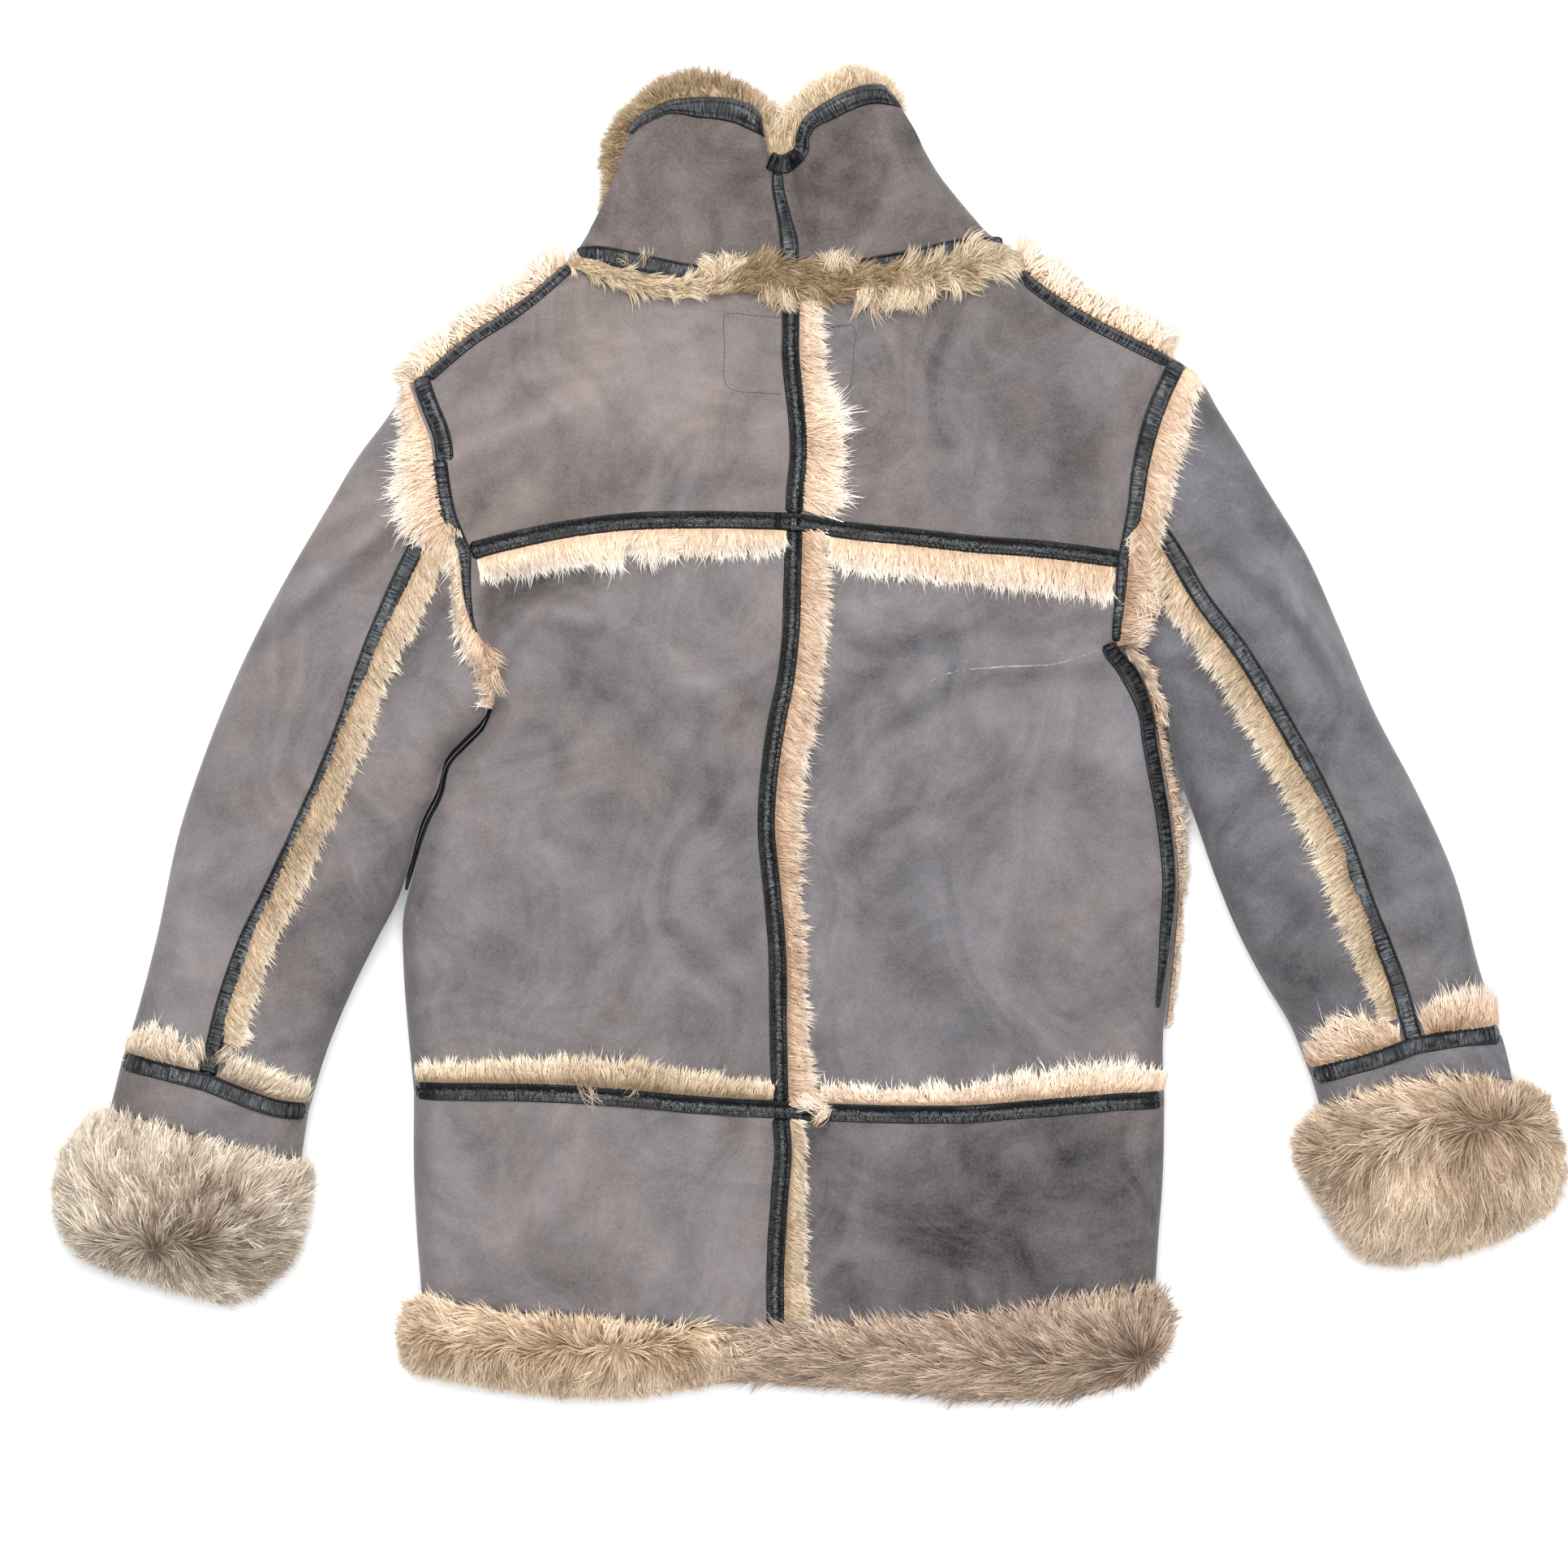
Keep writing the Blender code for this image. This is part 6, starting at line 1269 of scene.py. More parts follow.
def body():
    """Yoke, main and hem panels of the back, and the two fronts beneath."""
    hem_halves = dict(zip(("left", "right"), cut_at(PATHS["hem"], CENTRE_HEM[-1][0])))
    front_hems = dict(zip(("left", "right"), cut_at(PATHS["hem"], FRONT_OPENING[-1][0])))
    for side in ("left", "right"):
        across = from_edge(BACK_SPAN, 44) if side == "left" else to_edge(BACK_SPAN, 44)
        yoke_seam = PATHS[f"yoke_{side}"]
        top = top_edge(side, 26, 30)
        rows = to_edge(ARMHOLE_SPAN, 26)
        plan = inset(outward(side, at(yoke_seam, shares_of(top)), top,
                             at(PATHS[f"armhole_{side}_high"][::-1], rows),
                             at(PATHS["centre_yoke"][::-1], rows)))
        back_cloth(f"back_yoke_{side}", plan, (f"front_{side}",))
        rows = main_rows(side)
        plan = inset(outward(side, at(PATHS[f"hip_{side}"], across), at(yoke_seam, across),
                             main_edge(side, rows), at(PATHS["centre_main"][::-1], rows)))
        back_cloth(f"back_main_{side}", plan, (f"front_{side}",))
        rows = np.linspace(0, 1, 30)
        plan = inset(outward(side, at(hem_halves[side], across), at(PATHS[f"hip_{side}"], across),
                             at(PATHS[f"side_{side}_hem"][::-1], rows),
                             at(PATHS["centre_hem"][::-1], rows)))
        back_cloth(f"back_hem_{side}", plan, (f"front_{side}",))

        top = top_edge(side, 16, 14)
        edge = join(at(PATHS[f"side_{side}_hem"][::-1], np.linspace(0, 1, 14)),
                    main_edge(side, main_rows(side)[::2]),
                    at(PATHS[f"armhole_{side}_high"][::-1], to_edge(ARMHOLE_SPAN, 12)))
        across = from_edge(FRONT_SPAN, 20) if side == "left" else to_edge(FRONT_SPAN, 20)
        top = at(top, across)
        plan = inset(outward(side, at(front_hems[side], across), top, edge,
                             at(PATHS["front_opening"][::-1], shares_of(edge))))
        front_cloth(f"front_{side}", plan)


def collar_plan(side, across_count, up_count):
    """Plan grid of one side of the collar."""
    rows = np.linspace(0, 1, up_count)
    middle = at(join(PATHS["collar_centre"], PATHS[f"notch_{side}"]), rows)
    across = from_edge(COLLAR_SPAN, across_count)
    if side == "left":
        return inset(coons(at(PATHS["neck_left"], across), at(PATHS["collar_top_left"], across),
                           at(PATHS["fold_left"], rows), middle))
    across = 1 - across[::-1]
    return inset(coons(at(PATHS["neck_right"], across), at(PATHS["collar_top_right"], across), middle,
                       at(PATHS["fold_right"], rows)))


def parting(plan):
    """How far the collar's halves part for the fur between them, from 0 at a fold to 1."""
    return soft_step((edge_distance(plan) - 8) / 8)


def collar():
    """Back and front halves of the collar."""
    for side in ("left", "right"):
        plan = collar_plan(side, 24, 30)
        top = np.maximum(back_height(plan), BACK_FLOOR)
        lowest = BACK_FLOOR + (COLLAR_BACK_UNDERSIDE - LAYER_MEET) * parting(plan)
        cloth(f"collar_back_{side}", lifted(plan, top),
              lifted(plan, np.minimum(np.maximum(top - HIDE, lowest), top)), (f"collar_front_{side}",))
        plan = collar_plan(side, 12, 16)[:, ::-1]
        bottom = np.minimum(front_height(plan), FRONT_CEILING)
        highest = FRONT_CEILING - (LAYER_MEET - COLLAR_FRONT_TOP) * parting(plan)
        cloth(f"collar_front_{side}", lifted(plan, bottom),
              lifted(plan, np.maximum(np.minimum(bottom + HIDE, highest), bottom)), ())


def tube_grids(plan, closed):
    """Outer and inner grids of a flattened tube, over and back under its fold or folds."""
    over = np.maximum(back_height(plan), LAYER_MEET)
    under = np.minimum(front_height(plan), LAYER_MEET)
    over_in = np.maximum(over - HIDE, LAYER_MEET)
    under_in = np.minimum(under + HIDE, LAYER_MEET)
    back = plan[:, ::-1]
    last = plan.shape[1] - 1 if closed else plan.shape[1]
    outer = np.concatenate([lifted(plan, over), lifted(back, under[:, ::-1])[:, 1:last]], axis=1)
    inner = np.concatenate([lifted(plan, over_in), lifted(back, under_in[:, ::-1])[:, 1:last]], axis=1)
    return outer, inner


def sleeve(side):
    """Outer and inner sleeve panels, each folded at its edge, and the suede cuff."""
    columns = to_edge(SLEEVE_SPAN, 16)
    high_path = at(PATHS[f"armhole_{side}_high"][::-1], np.linspace(SLEEVE_HEAD, 1, 60))
    low_path = join(high_path[:1], at(PATHS[f"armhole_{side}_high"][::-1], np.linspace(SLEEVE_HEAD, 0, 20)),
                    PATHS[f"armhole_{side}_low"][:-2], PATHS[f"sleeve_{side}_inner"][:1])
    rows = np.linspace(0, 1, 78)
    seam = at(np.vstack([high_path[:1], PATHS[f"sleeve_{side}_seam"][1:]])[::-1], rows)
    cuff_lines = {"outer": PATHS[f"cuff_{side}_outer"], "inner": PATHS[f"cuff_{side}_inner"]}
    toward_seam = "outer" if side == "left" else "inner"
    cuff_lines[toward_seam] = cuff_lines[toward_seam][::-1]
    for part, head in (("outer", at(high_path, columns)), ("inner", at(low_path, columns))):
        edge = at(PATHS[f"sleeve_{side}_{part}"][::-1], rows)
        plan = inset(coons(at(cuff_lines[part], columns), head, seam, edge), right=0.0)
        outer, inner = tube_grids(plan, closed=False)
        if (part == "outer") == (side == "left"):
            outer, inner = outer[:, ::-1], inner[:, ::-1]
        cloth(f"sleeve_{side}_{part}", outer, inner, ())

    across = between_edges(CUFF_SPAN, 26)
    top_line = at(PATHS[f"cuff_{side}_seam"], across)
    end_line = at(PATHS[f"cuff_{side}_end"], across)
    rows = np.linspace(0, 1, 10)
    plan = inset(coons(end_line, top_line, at(np.stack([end_line[0], top_line[0]]), rows),
                       at(np.stack([end_line[-1], top_line[-1]]), rows)), top=CUFF_INSET, left=0.0, right=0.0)
    outer, inner = tube_grids(plan, closed=True)
    cloth(f"cuff_{side}", outer, inner, (), ring=True)


def everything():
    """A tree of all faces made so far, in millimetres, to cast rays at."""
    points = []
    faces = []
    start = 0
    for piece, *_ in CLOTHS:
        mesh = piece.data
        places = np.empty(3 * len(mesh.vertices), np.float32)
        mesh.vertices.foreach_get("co", places)
        points.append(places.reshape(-1, 3) / MILLIMETRE)
        corners = np.empty(len(mesh.loops), np.int32)
        mesh.loops.foreach_get("vertex_index", corners)
        faces.append(corners.reshape(-1, 4) + start)
        start += len(mesh.vertices)
    return BVHTree.FromPolygons(np.vstack(points).tolist(), np.vstack(faces).tolist())


def make_ground(tree):
    """Heights of the suede on an even raster, falling off past its edges."""
    heights = np.zeros(GROUND_SHAPE)
    for i in range(GROUND_SHAPE[0]):
        for j in range(GROUND_SHAPE[1]):
            x, y = GROUND_LOW + GROUND_STEP * np.array((i, j))
            hit = tree.ray_cast(Vector((x, y, RAY_START)), DOWN)[0]
            if hit is not None:
                heights[i, j] = hit.z
    for _ in range(GROUND_PASSES):
        near = np.maximum.reduce([np.roll(heights, 1, 0), np.roll(heights, -1, 0),
                                  np.roll(heights, 1, 1), np.roll(heights, -1, 1)]) - GROUND_FALL
        heights = np.maximum(heights, near)
    return GROUND_LOW, GROUND_STEP, heights


def read_raster(raster, plan):
    """Values of a raster at places, smoothly between its points."""
    corner, step, values = raster
    place = np.clip((plan - corner) / step, 0, np.array(values.shape) - 1.001)
    cell = place.astype(int)
    part = place - cell
    i, j = cell[..., 0], cell[..., 1]
    low = values[i, j] * (1 - part[..., 0]) + values[i + 1, j] * part[..., 0]
    high = values[i, j + 1] * (1 - part[..., 0]) + values[i + 1, j + 1] * part[..., 0]
    return low * (1 - part[..., 1]) + high * part[..., 1]


body()
collar()
sleeve("left")
sleeve("right")
TREE = everything()
GROUND = make_ground(TREE)


def surface(plan):
    """Height of the suede at exact places."""
    exact = read_raster(GROUND, plan).reshape(-1)
    for k, (x, y) in enumerate(plan.reshape(-1, 2)):
        hit = TREE.ray_cast(Vector((x, y, RAY_START)), DOWN)[0]
        if hit is not None:
            exact[k] = hit.z
    return exact.reshape(plan.shape[:-1])


def stitches(rows, rng):
    """Small thread stitches along a row of points."""
    total = length_along(rows)[-1]
    count = max(int(total / STITCH_PITCH), 1)
    middles = at(rows, (np.arange(count) + 0.5) / count)
    ahead = at(rows, np.minimum((np.arange(count) + 0.7) / count, 1.0)) - middles
    ahead /= np.maximum(np.linalg.norm(ahead, axis=1, keepdims=True), 1e-9)
    length, width, height = STITCH_SIZE
    side = np.cross(ahead, (0.0, 0.0, 1.0))
    side /= np.linalg.norm(side, axis=1, keepdims=True)
    up = np.cross(side, ahead)
    middles = middles + up * 0.12 + side * rng.normal(0, 0.05, (count, 1))
    corners = np.stack([middles - length * ahead, middles + length * ahead, middles - width * side,
                        middles + width * side, middles - height * up, middles + height * up], axis=1)
    pattern = np.array(((0, 2, 5), (2, 1, 5), (1, 3, 5), (3, 0, 5),
                        (2, 0, 4), (1, 2, 4), (3, 1, 4), (0, 3, 4)))
    faces = (pattern[None] + 6 * np.arange(count)[:, None, None]).reshape(-1, 3)
    return corners.reshape(-1, 3), faces


def ribs(offsets, run, seed):
    """Fine wrinkles across a tape."""
    places = np.stack(np.broadcast_arrays(run[:, None], offsets[None] * 0.28), axis=-1)
    fine = unevenness(places, 3.2, seed)
    broad = unevenness(places, 10.0, seed + 1)
    middle = np.clip(1 - (np.abs(offsets) / 5.0) ** 4, 0, 1)[None]
    return (FINE_RIBS * fine + BROAD_RIBS * broad) * middle


def tape_part(path, offsets, heights, seed, round_ends=(1.2, 1.2), widths=None):
    """Grid of one length of tape, its underside's two edges, and its rows of stitches."""
    total = length_along(path)[-1]
    rows = max(int(total / TAPE_ROW), 6)
    run = np.linspace(0, total, rows)
    offsets = np.array(offsets, float)
    narrow = np.ones(rows)
    for radius, gap in ((round_ends[0], run), (round_ends[1], total - run)):
        if radius > 0:
            share = np.clip(gap / radius, 0, 1)
            narrow = np.minimum(narrow, 0.72 + 0.28 * np.sqrt(1 - (1 - share) ** 2))
    middle = offsets.mean()
    if widths is not None:
        scale = np.interp(run / total, *np.array(widths).T)
    else:
        scale = np.ones(rows)
    wobble = 1 + 0.035 * unevenness(np.stack([run, 0 * run], axis=-1), 14.0, seed + 5)
    spread = [middle + (offset - middle) * narrow * scale * wobble for offset in offsets]
    plan = ribbon(path, spread, rows)
    base = surface(plan)
    base = np.maximum(base, 0.5 * (base + base.max(axis=1, keepdims=True) - 1.0))
    top = base + 0.1 + np.array(heights) + ribs(offsets - middle, run, seed)
    tilt = TAPE_TILT * unevenness(np.stack([run, 0 * run], axis=-1), 26.0, seed + 7)
    top = np.maximum(top + tilt[:, None] * (offsets - middle), base + 0.3)
    ends = np.clip(np.minimum(run, total - run) / 1.6, 0.25, 1)[:, None]
    top = base + (top - base) * ends
    return lifted(plan, top), lifted(plan, base + 0.05)[:, [0, -1]]


def tape(name, parts, rows_of_stitches=STITCH_COLUMNS, extra=()):
    """A leather tape of one or more lengths with its stitches."""
    rng = np.random.default_rng(len(name))
    points, corners, sizes, slots, run, aside = [], [], [], [], [], []
    start = 0

    def sew(line):
        """Adds a row of stitches."""
        nonlocal start
        sewn, faces = stitches(line, rng)
        points.append(sewn)
        corners.append((faces + start).ravel())
        sizes.append(np.full(len(faces), 3))
        slots.append(np.ones(len(faces)))
        run.append(np.zeros(len(sewn)))
        aside.append(np.zeros(len(sewn)))
        start += len(sewn)

    for top, under in parts:
        upper = numbered(top, start)
        lower = numbered(under, start + upper.size)
        points += [top.reshape(-1, 3), under.reshape(-1, 3)]
        along = length_along(top[:, top.shape[1] // 2])
        width = np.concatenate([[0], np.cumsum(np.linalg.norm(np.diff(top[len(top) // 2], axis=0), axis=1))])
        width = width - width[-1] / 2
        run += [np.repeat(along, top.shape[1]), np.repeat(along, 2)]
        aside += [np.tile(width, len(top)), np.tile(width[[0, -1]], len(top))]
        faces = [grid_faces(upper), grid_faces(lower)[:, ::-1],
                 strip_faces(upper[:, 0], lower[:, 0]), strip_faces(lower[:, 1], upper[:, -1])]
        faces = np.vstack(faces)
        corners.append(faces.ravel())
        sizes.append(np.full(len(faces), 4))
        slots.append(np.zeros(len(faces)))
        for row in (0, -1):
            ring = np.concatenate([upper[row], lower[row, ::-1]])
            corners.append(ring if row == 0 else ring[::-1])
            sizes.append(np.array([len(ring)]))
            slots.append(np.zeros(1))
        start += upper.size + lower.size
        for column in rows_of_stitches:
            sew(trim_line(top[:, column], 0.8))
    for line in extra:
        sew(line)
    piece = new_piece(name + "_sewn", np.vstack(points), np.concatenate(corners), np.concatenate(sizes),
                      [LEATHER, THREAD], np.concatenate(slots),
                      {"run": np.concatenate(run), "aside": np.concatenate(aside)})
    return stands_for(piece, "leather_tape", name)


def trim_line(line, end):
    """A row of points without its two ends."""
    total = length_along(line)[-1]
    share = min(end / total, 0.3)
    return at(line, np.linspace(share, 1 - share, len(line)))


def moved_aside(path, offset):
    """A path moved to its left."""
    return path + offset * left_of(directions(path))


def crossing_lines(before, share_before, after, share_after):
    """Short rows of stitches that run on across another tape, from one seam to the next."""
    path = np.vstack([at(PATHS[before][::-1], np.linspace(0, share_before, 8))[::-1],
                      at(PATHS[after], np.linspace(0, share_after, 6))])
    lines = [moved_aside(path, offset) for offset in (-CROSSING_OFFSET, CROSSING_OFFSET)]
    return [lifted(line, surface(line) + CROSSING_HEIGHT) for line in lines]


def tapes():
    """Every leather tape."""
    for seed, (name, path_name, start, end) in enumerate(TAPES):
        path = trimmed(PATHS[path_name], start, end)
        part = tape_part(path, TAPE_OFFSETS, TAPE_HEIGHTS, 20 + seed, TAPE_ENDS.get(name, (1.2, 1.2)),
                         TAPE_WIDTHS.get(name))
        tape(name, [part], extra=crossing_lines(*TAPE_CROSSINGS[name]) if name in TAPE_CROSSINGS else ())

    whole = trimmed(PATHS["armhole_left"], 0.5, 52.0)
    upper, lower = at(whole, np.linspace(0, 0.33, 60)), at(whole, np.linspace(0.325, 1, 60))
    tape("tape_armhole_left", [
        tape_part(moved_aside(upper, 2.4), TAPE_OFFSETS, TAPE_HEIGHTS, 61, (0.5, 0.5)),
        tape_part(moved_aside(lower, -2.0), TAPE_OFFSETS, TAPE_HEIGHTS, 62, (0.5, 1.0),
                  ((0, 1), (0.42, 0.95), (0.6, 0.7), (1, 0.4))),
    ])

    offsets = np.linspace(-0.6, -8.6, 9)
    heights = (0.4, 1.5, 1.9, 2.1, 2.2, 2.1, 1.6, 1.8, 0.4)
    for name, path, start, end in (
        ("tape_shoulder_left", PATHS["shoulder_left"], 6.0, 8.0),
        ("tape_shoulder_right", PATHS["shoulder_right"], 20.0, 6.0),
    ):
        tape(name, [tape_part(trimmed(path, start, end), offsets, heights, len(name))], (6,))

    path = trimmed(np.vstack([SIDE_TAPE_START, PATHS["side_right_main"]]), 0.0, 60.0)
    offsets = np.linspace(-0.8, -10.8, 10)
    heights = (0.4, 1.6, 2.0, 1.6, 2.0, 2.2, 2.2, 1.6, 1.9, 0.4)
    tape("tape_side_right", [tape_part(path, offsets, heights, 71,
                                       widths=((0, 1.0), (0.1, 1.25), (0.25, 1.0), (0.8, 0.85), (1, 0.3)))],
         (3, 7))

    left = trimmed(PATHS["collar_top_left"], 1.0, 0.0)
    for name, path, shares, widths, cut in (
        ("tape_collar_edge_left", left, (0, 0.14, 0.3, 0.42, 0.52, 0.76, 0.9, 1),
         (1.5, 4.5, 5.7, 8.5, 11.3, 13.0, 13.0, 13.0), (-0.15, 0.99)),
        ("tape_collar_edge_right", smooth(COLLAR_TAPE_RIGHT), (0, 0.08, 0.2, 0.28, 0.39, 0.55, 1),
         (9.5, 10.5, 7.0, 6.0, 7.5, 10.5, 11.0), (-0.54, 0.84)),
    ):
        collar_edge(name, path, shares, widths, cut)


def collar_edge(name, path, shares, widths, cut):
    """Leather binding rolled over the collar's top edge."""
    total = length_along(path)[-1]
    rows = max(int(total / TAPE_ROW), 6)
    run = np.linspace(0, total, rows)
    width = np.interp(run / total, shares, widths)
    across = np.array((0.0, 0.06, 0.16, 0.45, 0.72, 0.8, 0.9, 0.97, 1.0))
    heights = np.array((0.6, 1.6, 2.3, 2.5, 2.0, 1.4, 1.8, 1.3, 0.3))
    plan = ribbon(path, [-share * width + 0.6 for share in across], rows, cut)
    base = surface(ribbon(path, [-share * width - 1.2 for share in across], rows, cut))
    base = np.maximum(base, base[:, -1:] - 0.8)
    top = base + heights + 0.8 * ribs(10 * (across - 0.5), run, len(name) + 3)
    lip = ribbon(path, np.array(COLLAR_ROLL), rows, cut)
    lip_height = top[:, :1] + np.array(COLLAR_ROLL_HEIGHTS)
    points = np.concatenate([lifted(lip, lip_height), lifted(plan, top)], axis=1)
    under = np.stack([lifted(ribbon(path, (2.2,), rows, cut)[:, 0], lip_height[:, 0] - 0.2),
                      lifted(plan[:, -1], base[:, -1] + 0.05)], axis=1)
    tape(name, [(points, under)], (len(COLLAR_ROLL) + 5,))


tapes()


def strand_faces(count, points_each):
    """Corner numbers and face sizes of many ribbons that taper to a point."""
    each = 2 * (points_each - 1) + 1
    pattern = []
    sizes = []
    for k in range(points_each - 2):
        pattern += [2 * k, 2 * k + 1, 2 * k + 3, 2 * k + 2]
        sizes.append(4)
    last = 2 * (points_each - 2)
    pattern += [last, last + 1, last + 2]
    sizes.append(3)
    corners = (np.array(pattern)[None] + each * np.arange(count)[:, None]).ravel()
    return corners, np.tile(sizes, count)


class Pile:
    """Gathers a fur piece's bed and hairs, then makes one mesh of them."""

    def __init__(self, seed):
        """Starts with nothing but a source of random numbers."""
        self.rng = np.random.default_rng(seed)
        self.points = []
        self.corners = []
        self.sizes = []
        self.along = []
        self.tone = []
        self.start = 0

    def add(self, points, corners, sizes, along, tone):
        """Adds faces with the colour place and the tone of their points."""
        self.points.append(points)
        self.corners.append(corners + self.start)
        self.sizes.append(sizes)
        self.along.append(along)
        self.tone.append(tone)
        self.start += len(points)

    def bed(self, top, bottom, tone):
        """A closed lump under the hairs, in their root colour."""
        upper = numbered(top)
        faces = shell_faces(upper, numbered(bottom, upper.size))
        points = np.vstack([top.reshape(-1, 3), bottom.reshape(-1, 3)])
        self.add(points, faces.ravel(), np.full(len(faces), 4), np.full(len(points), 0.25),
                 np.broadcast_to(tone, len(points)).astype(float))

    def hairs(self, paths, tone, width, climb=None):
        """Tapering ribbons along paths, an array of hairs by points by three.

        The climb is each point's place between root colour and tip colour.
        """
        count, steps = paths.shape[:2]
        if count == 0:
            return
        run = np.gradient(paths, axis=1)
        run /= np.maximum(np.linalg.norm(run, axis=2, keepdims=True), 1e-9)
        flat = np.cross(run, (0.0, 0.0, 1.0))
        size = np.linalg.norm(flat, axis=2, keepdims=True)
        flat = np.where(size > 0.05, flat / np.maximum(size, 1e-9), (1.0, 0.0, 0.0))
        third = np.cross(run, flat)
        roll = self.rng.uniform(-0.95, 0.95, (count, 1, 1))
        side = flat * np.cos(roll) + third * np.sin(roll)
        taper = np.interp(np.linspace(0, 1, steps), (0, 0.3, 0.7, 1), (0.85, 1.0, 0.7, 0.0))
        thick = np.broadcast_to(width, count)[:, None] * self.rng.uniform(0.7, 1.3, (count, 1))
        half = side * (taper[None] * thick)[:, :, None] / 2
        pairs = np.stack([paths - half, paths + half], axis=2)[:, :-1].reshape(count, -1, 3)
        points = np.concatenate([pairs, paths[:, -1:]], axis=1)
        climb = np.linspace(0, 1, steps) if climb is None else climb
        climb = np.broadcast_to(climb, (count, steps))
        climb = np.concatenate([np.repeat(climb[:, :-1], 2, axis=1), climb[:, -1:]], axis=1)
        corners, sizes = strand_faces(count, steps)
        self.add(points.reshape(-1, 3), corners, sizes, climb.ravel(),
                 np.repeat(np.broadcast_to(tone, count), points.shape[1]))

    def piece(self, name, material, slot):
        """Makes the mesh, which stands for the solid of its name."""
        points = np.vstack(self.points)
        points[:, 2] = np.maximum(points[:, 2], 0.05)
        made = new_piece(name + "_pile", points, np.concatenate(self.corners),
                         np.concatenate(self.sizes), [material],
                         numbers={"along": np.concatenate(self.along), "tone": np.concatenate(self.tone)})
        return stands_for(made, slot, name)


def clump_values(cell, which):
    """A steady random number for each clump."""
    value = np.sin(cell[:, 0] * 12.9898 * which + cell[:, 1] * 78.233 + which * 4.17) * 43758.5453
    return value - np.floor(value)


def combed(pile, roots, flow, reach, clump=5.0, gather=0.55, spread=0.3, curl=0.3, steps=4, ragged=1.0):
    """Plan paths of hairs that leave their roots in clumps, and each clump's random number."""
    rng = pile.rng
    cell = np.floor(roots / clump)
    centre = (cell + 0.5) * clump + clump * 0.5 * np.stack(
        [clump_values(cell, 1) - 0.5, clump_values(cell, 2) - 0.5], axis=1)
    turn = (clump_values(cell, 3) - 0.5) * 2 * spread + rng.normal(0, 0.35 * spread, len(roots))
    direction = turned(flow, turn)
    side = left_of(direction)
    length = reach * (1 + ragged * 0.4 * (clump_values(cell, 4) - 0.6)) * rng.uniform(0.72, 1.06, len(roots))
    bend = curl * (clump_values(cell, 5) - 0.5) * 2 + rng.normal(0, 0.12, len(roots))
    share = np.linspace(0, 1, steps)[None, :, None]
    away = (roots - centre)[:, None] * (1 - gather * share)
    along = direction[:, None] * (length[:, None, None] * share)
    aside = side[:, None] * (length * bend)[:, None, None] * share**2
    return centre[:, None] + away + along + aside, clump_values(cell, 6)


